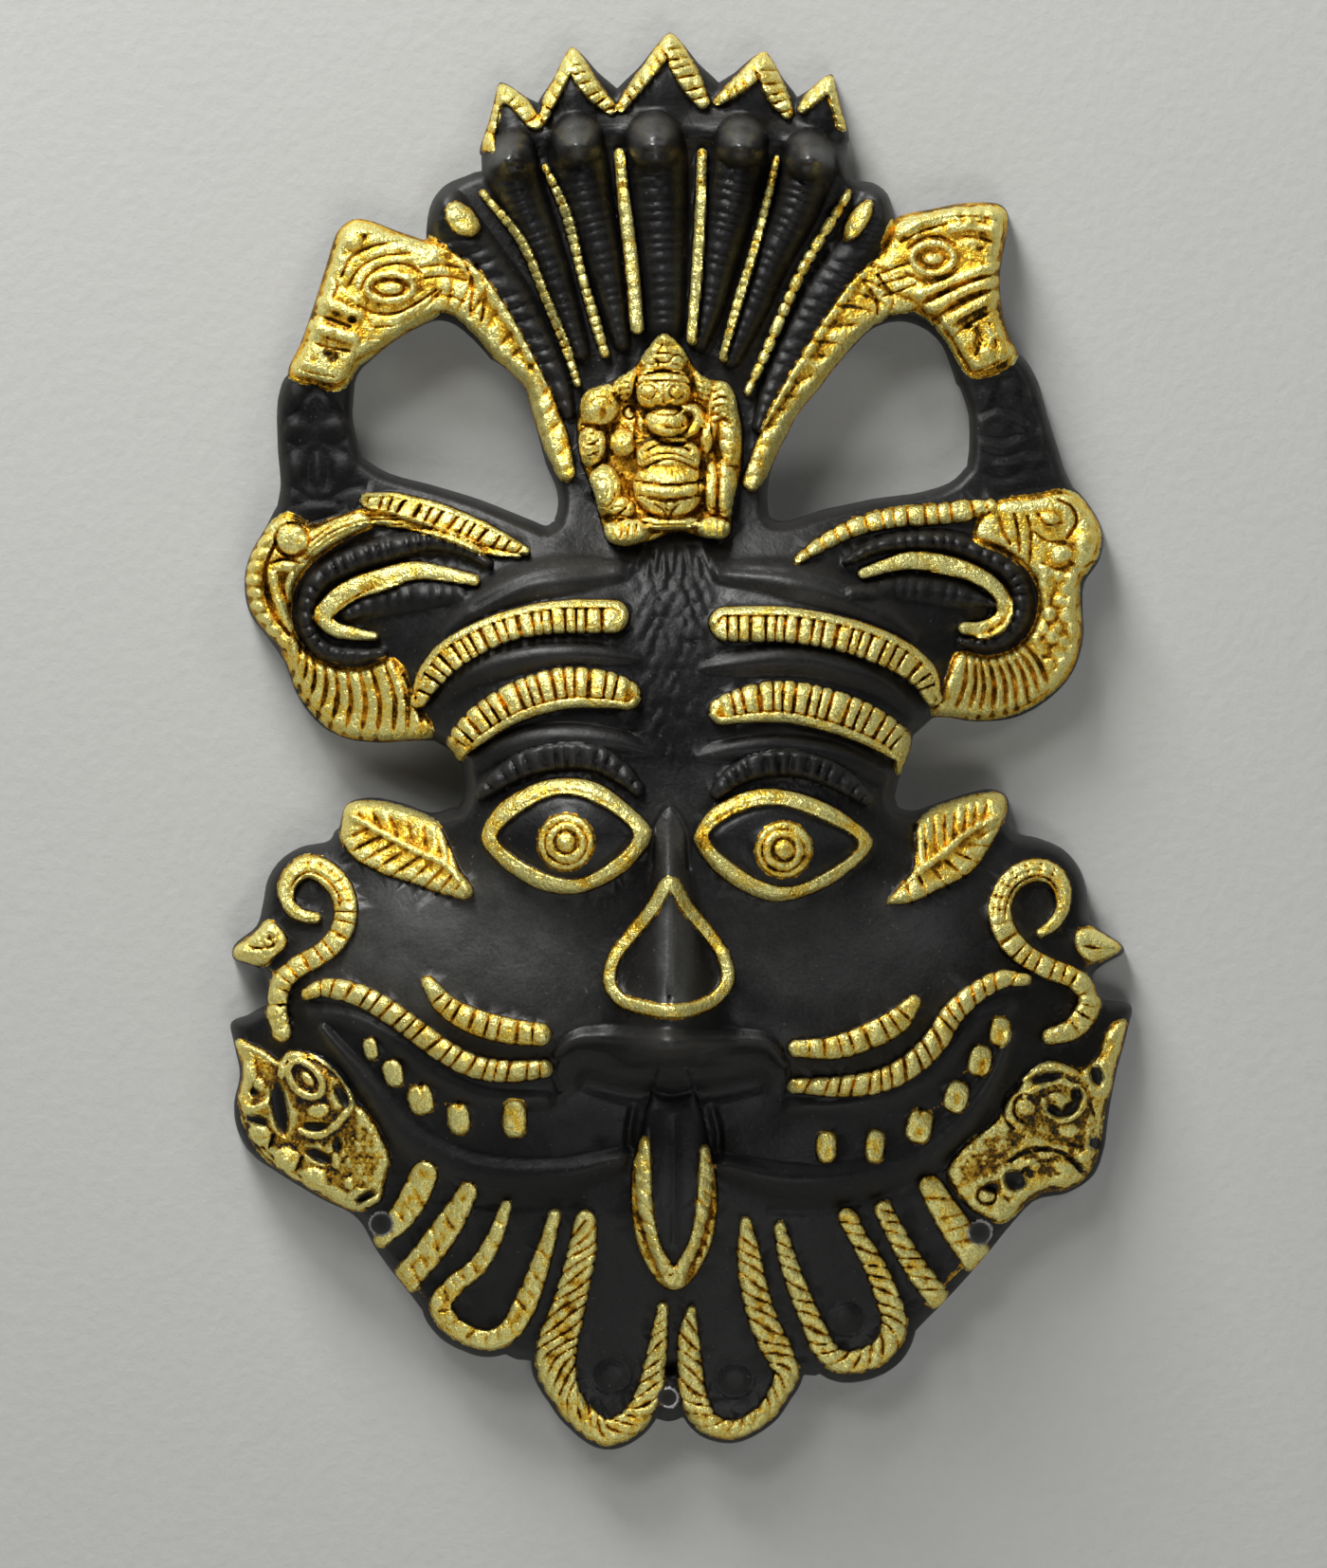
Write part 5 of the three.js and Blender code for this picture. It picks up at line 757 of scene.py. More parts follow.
# raised plates with rounded edges
PADS = {
 'beast_head_l': {
     'p': [(-55.73, -21.69), (-59.09, -20.2), (-62.46, -19.82), (-65.08, -21.88), (-67.13, -28.05), (-69.19, -34.78), (-72.18, -43.76), (-74.61, -48.99),
         (-70.69, -50.49), (-65.82, -51.42), (-64.33, -50.12), (-62.08, -46.56), (-55.73, -43.38), (-50.12, -38.9), (-46, -35.9), (-44.51, -29.92),
         (-45.44, -24.68), (-48.25, -23.38)],
     'h': 2.4,
     'e': 2.24,
     'g': 1,
     'sp': 1.12},
 'beast_head_r': {
     'p': [(45.25, -19.07), (51.61, -17.58), (57.97, -16.46), (64.33, -16.83), (65.45, -18.7), (65.08, -23), (63.95, -29.73), (64.33, -36.47), (65.82, -41.89),
         (67.13, -45.63), (63.58, -48.25), (59.84, -48.99), (57.97, -46.75), (55.73, -42.82), (52.17, -38.34), (47.12, -35.16), (43.38, -33.66),
         (41.89, -28.98), (43.01, -23.38)],
     'h': 2.4,
     'e': 2.24,
     'g': 1,
     'sp': 1.12},
 'ear_flange_l': {
     'p': [(-75.92, -77.61), (-79.1, -80.41), (-81.91, -84.15), (-83.22, -89.39), (-82.47, -94.62), (-79.85, -99.11), (-76.3, -103.04), (-74.8, -107.15),
         (-72.56, -112.2), (-69.38, -116.31), (-64.52, -120.24), (-58.16, -121.36), (-48.25, -120.8), (-47.87, -118.56), (-50.49, -115), (-52.55, -109.39),
         (-55.35, -106.03), (-60.59, -107.71), (-66.57, -107.34), (-71.81, -104.72), (-74.8, -99.86), (-75.17, -93.5), (-72.93, -88.64), (-68.82, -84.52),
         (-63.58, -81.34), (-59.09, -78.91), (-60.59, -77.04), (-66.57, -78.17), (-70.69, -79.66)],
     'h': 2.0,
     'e': 1.68,
     'g': 1,
     'sp': 0.75},
 'ear_flange_r': {
     'p': [(63.21, -75.36), (71.43, -74.05), (78.17, -73.3), (82.28, -76.67), (83.96, -81.16), (83.03, -85.65), (79.85, -90.13), (79.85, -95.37),
         (80.41, -100.79), (78.35, -107.34), (74.43, -111.64), (67.69, -115.57), (60.59, -116.88), (52.36, -116.5), (52.73, -114.44), (54.79, -109.39),
         (57.03, -104.72), (63.02, -105.47), (68.82, -103.22), (72.18, -98.36), (72.93, -93.13), (70.69, -87.89), (65.82, -84.15), (60.21, -81.53),
         (60.59, -78.91)],
     'h': 2.0,
     'e': 1.68,
     'g': 1,
     'sp': 0.75},
 'leaf_l': {
     'p': [(-63.95, -134.27), (-59.09, -133.89), (-53.86, -134.83), (-48.99, -136.51), (-45.81, -138.57), (-43.95, -142.12), (-41.89, -146.79),
         (-39.08, -151.47), (-40.39, -152.97), (-44.88, -152.03), (-50.86, -149.97), (-57.97, -147.54), (-63.21, -144.18), (-65.08, -139.88)],
     'h': 2.4,
     'e': 1.87,
     'g': 1,
     'sp': 0.19},
 'leaf_r': {
     'p': [(65.45, -132.58), (62.08, -132.4), (55.73, -133.89), (50.49, -136.32), (48.25, -139.5), (48.25, -143.62), (47.5, -147.73), (45.25, -150.72),
         (43.01, -153.71), (46.75, -153.71), (53.11, -150.91), (59.09, -147.73), (62.83, -142.68), (65.45, -136.88)],
     'h': 2.4,
     'e': 1.87,
     'g': 1,
     'sp': 0.19},
 'snake_eye_l': {
     'p': [(-44.51, -17.2), (-43.01, -15.52), (-40.77, -15.89), (-38.52, -17.95), (-37.59, -20.57), (-38.9, -22.25), (-41.51, -22.07), (-43.76, -20.2)],
     'h': 2.2,
     'e': 1.5,
     'g': 1,
     'sp': 0},
 'snake_eye_r': {
     'p': [(39.64, -15.33), (37.4, -15.71), (35.16, -17.95), (34.03, -20.94), (34.41, -23), (36.65, -22.44), (38.52, -20.2), (39.64, -17.95)],
     'h': 2.2,
     'e': 1.5,
     'g': 1,
     'sp': 0},
 'nub_l': {
     'p': [(-79.47, -157.45), (-77.42, -158.39), (-75.73, -161.38), (-77.79, -164.19), (-81.53, -166.24), (-84.9, -164.93), (-86.21, -163.44), (-83.4, -160.82)],
     'h': 2.0,
     'e': 1.5,
     'g': 1,
     'sp': 0.19},
 'nub_r': {
     'p': [(80.04, -159.51), (82.28, -158.76), (85.65, -160.07), (88.45, -162.5), (86.02, -164.37), (83.4, -165.31), (80.78, -164.19), (79.66, -161.94)],
     'h': 2.0,
     'e': 1.5,
     'g': 1,
     'sp': 0.19},
 'jowl_beast_l': {
     'p': [(-85.46, -181.2), (-80.97, -182.7), (-77.23, -184.94), (-75.55, -183.07), (-71.06, -184.19), (-66.76, -187.37), (-63.02, -192.24), (-59.47, -195.6),
         (-57.03, -199.9), (-55.35, -204.76), (-56.47, -207.94), (-57.6, -212.43), (-63.21, -214.12), (-69.19, -210.94), (-75.55, -207.38), (-80.78, -202.71),
         (-83.59, -197.85), (-84.9, -192.61), (-84.34, -186.06)],
     'h': 2.2,
     'e': 2.24,
     'g': 1,
     'sp': 0.37},
 'jowl_beast_r': {
     'p': [(89.39, -177.28), (86.02, -179.15), (84.52, -183.63), (81.16, -186.44), (75.73, -185.32), (70.87, -187.75), (67.69, -191.3), (63.58, -197.1),
         (57.6, -201.96), (54.6, -206.82), (56.29, -210.75), (60.77, -214.86), (65.45, -216.36), (69.94, -212.43), (74.05, -210), (78.54, -209.63),
         (81.91, -206.82), (83.78, -202.71), (84.9, -195.41), (87.33, -187)],
     'h': 2.2,
     'e': 2.24,
     'g': 1,
     'sp': 0.37}}

# lids, eyeball opening and iris
EYES = {
 'l': {
     'lid': [(-37.59, -141), (-34.97, -135.2), (-28.42, -130.71), (-20.94, -129.03), (-14.21, -130.15), (-8.23, -134.45), (-3.74, -139.88), (-7.48, -146.23),
         (-12.72, -149.97), (-19.07, -152.03), (-26.74, -150.91), (-34.41, -145.67)],
     'ball': [(-34.22, -140.81), (-28.05, -134.83), (-20.94, -132.4), (-13.09, -135.01), (-7.48, -140.44), (-12.34, -146.05), (-19.07, -149.04), (-27.3, -146.79)],
     'c': (-20.76, -141.75),
     'r': 5.61},
 'r': {
     'lid': [(4.49, -141), (7.48, -135.57), (12.72, -132.4), (18.33, -131.09), (26.55, -132.4), (34.59, -136.32), (39.83, -141.75), (34.59, -148.1),
         (27.68, -152.03), (20.57, -153.53), (13.46, -151.1), (7.48, -146.42)],
     'ball': [(7.48, -140.62), (13.46, -135.95), (20.2, -134.45), (28.8, -136.88), (37.03, -142.12), (29.92, -148.1), (22.07, -150.53), (13.46, -146.98)],
     'c': (22.25, -143.24),
     'r': 5.61}}

# gilt drop on the nose
HEART = [(-0.19, -149.97), (-3.74, -154.84), (-8.23, -160.45), (-11.22, -164.56), (-12.15, -169.42), (-10.1, -172.79), (-5.98, -174.28), (-0.19, -175.22),
 (5.24, -174.47), (8.98, -172.41), (11.22, -169.05), (10.47, -164.56), (7.48, -159.88), (3.37, -154.84)]

# centre, width, height, lean
TEETH = [((-59.28, -182.51), 2.99, 4.49, -12), ((-54.79, -187.37), 4.11, 5.61, -14), ((-49.37, -192.61), 5.05, 5.98, -12),
 ((-41.89, -196.35), 4.49, 6.36, -8), ((-30.86, -196.35), 4.86, 7.48, 0), ((30.67, -201.96), 4.11, 6.36, 0), ((40.2, -201.77), 3.93, 6.54, 6),
 ((48.99, -197.85), 5.24, 6.73, 14), ((56.29, -192.05), 4.86, 6.36, 18), ((60.96, -184.94), 4.67, 6.36, 14), ((64.89, -179.15), 4.11, 5.8, 10)]

# plate of the seated elephant-headed figure
DEITY = [(-1.5, -41.51), (-4.49, -44.13), (-7.48, -48.25), (-11.78, -50.86), (-17.02, -53.11), (-18.51, -57.97), (-18.14, -64.7), (-16.83, -69.19),
 (-15.15, -73.49), (-13.84, -78.54), (-12.53, -82.28), (-9.72, -83.59), (-4.3, -82.47), (1.31, -80.6), (6.73, -81.72), (11.22, -81.72),
 (12.34, -74.8), (14.03, -67.32), (13.84, -57.97), (11.22, -51.24), (6.73, -50.12), (4.49, -47.87), (1.87, -43.76)]

# its rounded masses: x, z, half width, half height, height, lean
MASSES = [(-1.5, -45.63, 4.86, 4.86, 3.8, 0), (-1.68, -52.36, 5.8, 5.05, 4.8, 0), (-8.98, -50.86, 2.24, 3.93, 3.4, 8), (6.36, -51.24, 1.68, 3.74, 3.2, -8),
 (-14.21, -55.16, 4.11, 4.49, 3.2, 0), (10.1, -55.16, 2.99, 4.49, 3.0, 0), (11.59, -61.34, 2.43, 6.73, 2.8, -3), (7.48, -60.77, 1.68, 4.49, 2.6, 12),
 (-15.71, -63.58, 2.99, 4.11, 3.2, 8), (-9.72, -63.02, 2.62, 2.81, 3.6, 0), (-0.94, -58.72, 4.49, 3.18, 5.4, 0), (-0.37, -65.82, 6.73, 4.11, 4.8, 0),
 (-0.37, -71.62, 7.29, 6.36, 5.4, 0), (-13.09, -72.18, 3.37, 5.05, 4.2, -4), (-9.91, -75.92, 2.99, 2.62, 3.2, 20), (10.66, -72, 2.62, 5.98, 3.8, -3),
 (8.04, -72, 1.68, 5.24, 3.2, 0), (-8.79, -80.41, 4.67, 2.81, 4.0, -4), (8.41, -79.85, 3.37, 2.43, 3.8, 0), (-0.56, -78.73, 7.11, 1.5, 2.6, 0)]

# finer cords and cuts (height below 0), group by group; st = strands, sc = scalloped edge, g0 = left black
DETAIL = {
 'figure_fine': [{'p': [(-10.1, -50.3), (-8.23, -49.93)], 'w': 0.75, 'h': -0.9, 'k': 's'},
     {'p': [(-10.1, -51.42), (-8.23, -51.05)], 'w': 0.75, 'h': -0.9, 'k': 's'},
     {'p': [(-10.1, -52.55), (-8.23, -52.17)], 'w': 0.75, 'h': -0.9, 'k': 's'},
     {'p': [(-10.1, -53.67), (-8.23, -53.3)], 'w': 0.75, 'h': -0.9, 'k': 's'},
     {'p': [(5.05, -50.86), (7.29, -51.42)], 'w': 0.75, 'h': -0.9, 'k': 's'},
     {'p': [(5.05, -51.99), (7.29, -52.55)], 'w': 0.75, 'h': -0.9, 'k': 's'},
     {'p': [(5.05, -53.11), (7.29, -53.67)], 'w': 0.75, 'h': -0.9, 'k': 's'},
     {'p': [(5.05, -54.23), (7.29, -54.79)], 'w': 0.75, 'h': -0.9, 'k': 's'},
     {'p': [(8.23, -53.11), (10.29, -52.36), (11.97, -53.3)], 'w': 0.79, 'h': -0.95, 'k': 's'},
     {'p': [(8.23, -54.6), (10.29, -53.86), (11.97, -54.79)], 'w': 0.79, 'h': -0.95, 'k': 's'},
     {'p': [(8.23, -56.1), (10.29, -55.35), (11.97, -56.29)], 'w': 0.79, 'h': -0.95, 'k': 's'},
     {'p': [(8.23, -57.6), (10.29, -56.85), (11.97, -57.78)], 'w': 0.79, 'h': -0.95, 'k': 's'},
     {'p': [(8.23, -59.09), (10.29, -58.34), (11.97, -59.28)], 'w': 0.79, 'h': -0.95, 'k': 's'},
     {'p': [(-17.77, -60.21), (-16.27, -61.34), (-14.21, -60.4)], 'w': 0.79, 'h': -0.95, 'k': 's'},
     {'p': [(-17.77, -62.27), (-16.27, -63.39), (-14.21, -62.46)], 'w': 0.79, 'h': -0.95, 'k': 's'},
     {'p': [(-17.77, -64.33), (-16.27, -65.45), (-14.21, -64.52)], 'w': 0.79, 'h': -0.95, 'k': 's'},
     {'p': [(-5.98, -65.26), (-3.37, -63.77), (0, -63.39), (3.93, -64.52)], 'w': 0.75, 'h': -0.8, 'k': 's'},
     {'p': [(-6.17, -66.95), (-3.37, -65.45), (0.37, -65.08), (4.49, -66.57)], 'w': 0.75, 'h': -0.8, 'k': 's'},
     {'p': [(-4.49, -74.05), (-0.37, -74.61), (3.37, -73.86)], 'w': 0.71, 'h': -0.8, 'k': 's'},
     {'p': [(-3.37, -74.99), (-1.5, -76.3), (-0.75, -78.17)], 'w': 0.71, 'h': -0.9, 'k': 's'},
     {'p': [(1.68, -74.99), (0.19, -76.48), (-0.37, -78.17)], 'w': 0.71, 'h': -0.9, 'k': 's'},
     {'p': [(-10.85, -79.1), (-11.22, -81.72)], 'w': 0.75, 'h': -1.1, 'k': 's'},
     {'p': [(-9.54, -79.1), (-9.91, -81.72)], 'w': 0.75, 'h': -1.1, 'k': 's'},
     {'p': [(-8.23, -79.1), (-8.6, -81.72)], 'w': 0.75, 'h': -1.1, 'k': 's'},
     {'p': [(-6.92, -79.1), (-7.29, -81.72)], 'w': 0.75, 'h': -1.1, 'k': 's'},
     {'p': [(6.92, -78.54), (7.11, -80.97)], 'w': 0.75, 'h': -1.1, 'k': 's'},
     {'p': [(8.23, -78.54), (8.41, -80.97)], 'w': 0.75, 'h': -1.1, 'k': 's'},
     {'p': [(9.54, -78.54), (9.72, -80.97)], 'w': 0.75, 'h': -1.1, 'k': 's'},
     {'p': [(10.85, -78.54), (11.03, -80.97)], 'w': 0.75, 'h': -1.1, 'k': 's'},
     {'p': [(-5.98, -47.87), (-4.3, -46.19), (-2.62, -46.75)], 'w': 0.75, 'h': -0.9, 'k': 's'},
     {'p': [(-0.37, -46.75), (1.31, -45.44), (2.99, -47.31)], 'w': 0.75, 'h': -0.9, 'k': 's'},
     {'p': [(-5.05, -49.55), (-1.68, -48.81), (2.06, -49.55)], 'w': 0.67, 'h': -0.7, 'k': 's'},
     {'p': [(-14.03, -76.3), (-11.78, -77.23), (-9.91, -76.48)], 'w': 0.79, 'h': -0.95, 'k': 's'},
     {'p': [(-13.65, -77.79), (-11.41, -78.73), (-9.54, -77.98)], 'w': 0.79, 'h': -0.95, 'k': 's'},
     {'p': [(8.41, -75.92), (10.1, -76.67), (11.97, -75.92)], 'w': 0.79, 'h': -0.95, 'k': 's'},
     {'p': [(8.41, -77.42), (10.1, -78.17), (11.97, -77.42)], 'w': 0.79, 'h': -0.95, 'k': 's'},
     {
         'p': [(-7.11, -57.03), (-7.32, -57.8), (-7.88, -58.28), (-8.57, -58.28), (-9.14, -57.8), (-9.35, -57.03), (-9.14, -56.27), (-8.57, -55.79),
             (-7.88, -55.79), (-7.32, -56.27)],
         'w': 0.64,
         'h': -0.9,
         'k': 's',
         'closed': 1},
     {'p': [(-11.59, -59.47), (-11.22, -62.46), (-11.78, -65.45)], 'w': 0.75, 'h': -0.9, 'k': 's'},
     {'p': [(5.42, -63.58), (5.8, -67.69), (5.24, -72.93)], 'w': 0.75, 'h': -0.9, 'k': 's'},
     {'p': [(9.16, -64.33), (9.72, -68.25), (9.16, -73.86)], 'w': 0.71, 'h': -0.7, 'k': 's'},
     {'p': [(-8.23, -59.47), (-7.48, -61.15), (-8.6, -62.83)], 'w': 1.12, 'h': 0.8, 'k': 'r'},
     {'p': [(-10.29, -63.58), (-10.1, -65.08)], 'w': 0.94, 'h': 0.7, 'k': 'r'},
     {'p': [(-8.98, -63.58), (-8.79, -65.08)], 'w': 0.94, 'h': 0.7, 'k': 'r'},
     {'p': [(-7.67, -63.58), (-7.48, -65.08)], 'w': 0.94, 'h': 0.7, 'k': 'r'}],
 'figure': [{'p': [(-4.49, -44.13), (-1.5, -43.38), (1.5, -44.13)], 'w': 0.67, 'h': -0.8, 'k': 's'},
     {'p': [(-5.24, -46), (-1.5, -45.25), (2.24, -46)], 'w': 0.67, 'h': -0.8, 'k': 's'},
     {'p': [(-5.8, -47.87), (-1.5, -47.12), (2.81, -47.87)], 'w': 0.67, 'h': -0.8, 'k': 's'},
     {'p': [(-6.17, -49.74), (-1.5, -48.99), (3.18, -49.74)], 'w': 0.67, 'h': -0.8, 'k': 's'},
     {'p': [(-6.54, -51.42), (-1.5, -50.68), (3.55, -51.42)], 'w': 0.67, 'h': -0.8, 'k': 's'},
     {'p': [(-2.06, -42.08), (-1.68, -43.38), (-2.62, -45.25), (-2.62, -47.87)], 'w': 0.56, 'h': -0.72, 'k': 's'},
     {
         'p': [(-2.99, -52.92), (-3.28, -53.69), (-4.03, -54.17), (-4.95, -54.17), (-5.7, -53.69), (-5.98, -52.92), (-5.7, -52.15), (-4.95, -51.68),
             (-4.03, -51.68), (-3.28, -52.15)],
         'w': 0.6,
         'h': -0.72,
         'k': 's',
         'closed': 1},
     {
         'p': [(2.62, -52.92), (2.33, -53.69), (1.58, -54.17), (0.66, -54.17), (-0.09, -53.69), (-0.37, -52.92), (-0.09, -52.15), (0.66, -51.68), (1.58, -51.68),
             (2.33, -52.15)],
         'w': 0.6,
         'h': -0.72,
         'k': 's',
         'closed': 1},
     {
         'p': [(-6.95, -52.4), (-6.53, -51.66), (-5.91, -51.1), (-5.13, -50.76), (-4.29, -50.68), (-3.47, -50.88), (-2.76, -51.33), (-2.22, -51.99)],
         'w': 0.6,
         'h': -0.58,
         'k': 's'},
     {
         'p': [(-0.77, -51.99), (-0.24, -51.33), (0.48, -50.88), (1.3, -50.68), (2.14, -50.76), (2.92, -51.1), (3.54, -51.66), (3.96, -52.4)],
         'w': 0.6,
         'h': -0.58,
         'k': 's'},
     {'p': [(-1.5, -51.42), (-1.5, -55.16)], 'w': 0.56, 'h': -0.43, 'k': 's'},
     {'p': [(-4.49, -56.85), (-2.06, -57.6), (0.75, -57.41), (2.24, -56.29)], 'w': 0.64, 'h': -0.87, 'k': 's'},
     {'p': [(0.75, -57.6), (2.24, -59.09), (1.5, -61.15)], 'w': 0.6, 'h': -0.72, 'k': 's'},
     {'p': [(2.62, -57.03), (3.93, -58.72), (2.99, -60.96)], 'w': 0.6, 'h': -0.72, 'k': 's'},
     {'p': [(-5.24, -57.97), (-4.11, -61.15), (-1.12, -63.21), (2.99, -63.02), (5.98, -61.34)], 'w': 0.84, 'h': -1.15, 'k': 's'},
     {'p': [(6.92, -60.21), (7.11, -57.6), (5.61, -55.35), (2.99, -54.98)], 'w': 0.67, 'h': -0.87, 'k': 's'},
     {
         'p': [(-17.46, -55.04), (-17, -53.85), (-16.25, -52.89), (-15.28, -52.25), (-14.18, -51.99), (-13.07, -52.14), (-12.05, -52.68), (-11.23, -53.56),
             (-10.69, -54.69)],
         'w': 0.64,
         'h': -0.72,
         'k': 's'},
     {
         'p': [(-16.01, -55.8), (-15.68, -54.97), (-15.13, -54.33), (-14.42, -53.95), (-13.64, -53.87), (-12.89, -54.1), (-12.25, -54.62), (-11.8, -55.37)],
         'w': 0.6,
         'h': -0.65,
         'k': 's'},
     {'p': [(-17.58, -59.28), (-14.21, -60.4), (-10.47, -59.09)], 'w': 0.75, 'h': -1.01, 'k': 's'},
     {'p': [(-17.02, -60.21), (-15.71, -59.65), (-14.03, -60.21)], 'w': 0.64, 'h': -0.72, 'k': 's'},
     {'p': [(-17.39, -62.08), (-15.71, -61.34), (-13.84, -61.9)], 'w': 0.64, 'h': -0.72, 'k': 's'},
     {'p': [(-17.58, -64.14), (-15.71, -63.39), (-13.84, -63.95)], 'w': 0.64, 'h': -0.72, 'k': 's'},
     {'p': [(-17.2, -66.01), (-15.52, -65.26), (-13.84, -65.82)], 'w': 0.64, 'h': -0.72, 'k': 's'},
     {'p': [(-12.53, -60.77), (-12.34, -63.58), (-12.72, -66.57)], 'w': 0.75, 'h': -1.15, 'k': 's'},
     {'p': [(-10.85, -62.08), (-9.72, -63.02), (-9.91, -65.08)], 'w': 0.56, 'h': -0.65, 'k': 's'},
     {'p': [(-8.79, -61.9), (-8.41, -63.95), (-9.16, -65.45)], 'w': 0.56, 'h': -0.58, 'k': 's'},
     {'p': [(-6.73, -57.97), (-7.11, -60.77), (-7.48, -63.58), (-6.73, -66.57)], 'w': 0.84, 'h': -1.15, 'k': 's'},
     {'p': [(6.36, -63.58), (6.17, -66.57), (7.48, -69.19)], 'w': 0.75, 'h': -1.15, 'k': 's'},
     {'p': [(-10.66, -50.49), (-10.1, -52.73), (-10.47, -54.98)], 'w': 0.56, 'h': -0.72, 'k': 's'},
     {'p': [(-8.98, -49.37), (-8.41, -51.99), (-8.98, -54.98)], 'w': 0.56, 'h': -0.58, 'k': 's'},
     {'p': [(-6.92, -50.12), (-7.11, -53.11), (-6.54, -56.1)], 'w': 0.67, 'h': -1.01, 'k': 's'},
     {'p': [(5.98, -49.37), (6.54, -51.61), (5.98, -54.23)], 'w': 0.56, 'h': -0.65, 'k': 's'},
     {'p': [(4.3, -50.12), (4.49, -53.11), (4.11, -55.73)], 'w': 0.67, 'h': -1.01, 'k': 's'},
     {'p': [(8.98, -51.8), (10.29, -52.36), (11.59, -53.67)], 'w': 0.56, 'h': -0.72, 'k': 's'},
     {'p': [(8.79, -53.48), (10.29, -54.04), (11.97, -55.16)], 'w': 0.56, 'h': -0.72, 'k': 's'},
     {'p': [(8.6, -55.35), (10.29, -56.1), (12.15, -56.85)], 'w': 0.56, 'h': -0.72, 'k': 's'},
     {'p': [(8.6, -57.22), (10.29, -57.97), (12.34, -58.72)], 'w': 0.56, 'h': -0.72, 'k': 's'},
     {'p': [(10.1, -59.47), (11.59, -60.03), (13.09, -60.4)], 'w': 0.56, 'h': -0.65, 'k': 's'},
     {'p': [(9.91, -62.08), (11.59, -62.65), (13.46, -62.83)], 'w': 0.56, 'h': -0.65, 'k': 's'},
     {'p': [(9.72, -64.7), (11.41, -65.26), (13.28, -65.26)], 'w': 0.56, 'h': -0.65, 'k': 's'},
     {'p': [(9.72, -67.13), (11.22, -67.69), (12.9, -67.51)], 'w': 0.56, 'h': -0.65, 'k': 's'},
     {'p': [(8.23, -56.1), (7.85, -59.47), (8.41, -63.21), (9.16, -67.69), (9.16, -76.67)], 'w': 0.75, 'h': -1.15, 'k': 's'},
     {'p': [(-5.98, -66.2), (-3.74, -63.95), (-0.94, -62.83), (2.24, -63.58), (4.86, -66.2)], 'w': 0.64, 'h': -0.72, 'k': 's'},
     {'p': [(-5.98, -68.44), (-3.37, -66.95), (-0.37, -66.2), (2.62, -66.95), (5.42, -68.63)], 'w': 0.64, 'h': -0.87, 'k': 's'},
     {'p': [(-6.73, -71.81), (-3.37, -72.37), (-0.37, -72.56), (2.62, -72.37), (5.98, -71.81)], 'w': 1.5, 'h': 0.8, 'k': 'g', 'b': 1.5, 'bd': 0.4},
     {'p': [(-6.92, -70.5), (-3.37, -71.06), (-0.37, -71.25), (2.62, -71.06), (6.17, -70.5)], 'w': 0.64, 'h': -1.01, 'k': 's'},
     {'p': [(-6.54, -73.3), (-3.37, -73.86), (-0.37, -74.05), (2.62, -73.86), (5.8, -73.3)], 'w': 0.64, 'h': -1.01, 'k': 's'},
     {
         'p': [(0.94, -75.36), (0.72, -76.02), (0.16, -76.43), (-0.53, -76.43), (-1.09, -76.02), (-1.31, -75.36), (-1.09, -74.7), (-0.53, -74.29), (0.16, -74.29),
             (0.72, -74.7)],
         'w': 0.56,
         'h': -0.8,
         'k': 's',
         'closed': 1},
     {'p': [(-5.98, -75.55), (-3.37, -77.61), (-0.19, -78.17), (2.99, -77.61), (5.61, -75.55)], 'w': 0.64, 'h': -0.87, 'k': 's'},
     {
         'p': [(-11.03, -72), (-11.46, -74.19), (-12.58, -75.55), (-13.97, -75.55), (-15.09, -74.19), (-15.52, -72), (-15.09, -69.8), (-13.97, -68.44),
             (-12.58, -68.44), (-11.46, -69.8)],
         'w': 0.6,
         'h': -0.72,
         'k': 's',
         'closed': 1},
     {
         'p': [(-12.34, -72), (-12.52, -73.2), (-12.99, -73.95), (-13.57, -73.95), (-14.03, -73.2), (-14.21, -72), (-14.03, -70.79), (-13.57, -70.04),
             (-12.99, -70.04), (-12.52, -70.79)],
         'w': 0.56,
         'h': -0.58,
         'k': 's',
         'closed': 1},
     {'p': [(-9.72, -69.19), (-8.23, -72.18), (-8.6, -75.17), (-10.85, -77.61)], 'w': 0.75, 'h': -1.15, 'k': 's'},
     {'p': [(-12.72, -76.3), (-10.29, -75.55), (-7.85, -76.3)], 'w': 0.6, 'h': -0.72, 'k': 's'},
     {'p': [(-12.72, -77.79), (-10.29, -77.23), (-7.48, -77.98)], 'w': 0.6, 'h': -0.72, 'k': 's'},
     {'p': [(9.16, -69.19), (10.66, -69.75), (12.15, -69.38)], 'w': 0.6, 'h': -0.65, 'k': 's'},
     {'p': [(6.92, -76.3), (8.6, -75.73), (10.85, -76.3)], 'w': 0.6, 'h': -0.72, 'k': 's'},
     {'p': [(6.73, -77.79), (8.79, -77.42), (11.03, -77.98)], 'w': 0.6, 'h': -0.72, 'k': 's'},
     {'p': [(-11.97, -79.66), (-11.59, -81.53)], 'w': 0.56, 'h': -0.72, 'k': 's'},
     {'p': [(-10.47, -79.66), (-10.1, -81.72)], 'w': 0.56, 'h': -0.72, 'k': 's'},
     {'p': [(-8.79, -79.29), (-8.41, -81.53)], 'w': 0.56, 'h': -0.72, 'k': 's'},
     {'p': [(-6.92, -78.91), (-6.54, -81.16)], 'w': 0.56, 'h': -0.72, 'k': 's'},
     {'p': [(6.73, -78.91), (6.73, -80.78)], 'w': 0.56, 'h': -0.72, 'k': 's'},
     {'p': [(7.85, -78.91), (7.85, -81.16)], 'w': 0.56, 'h': -0.72, 'k': 's'},
     {'p': [(9.35, -78.91), (9.35, -81.16)], 'w': 0.56, 'h': -0.72, 'k': 's'},
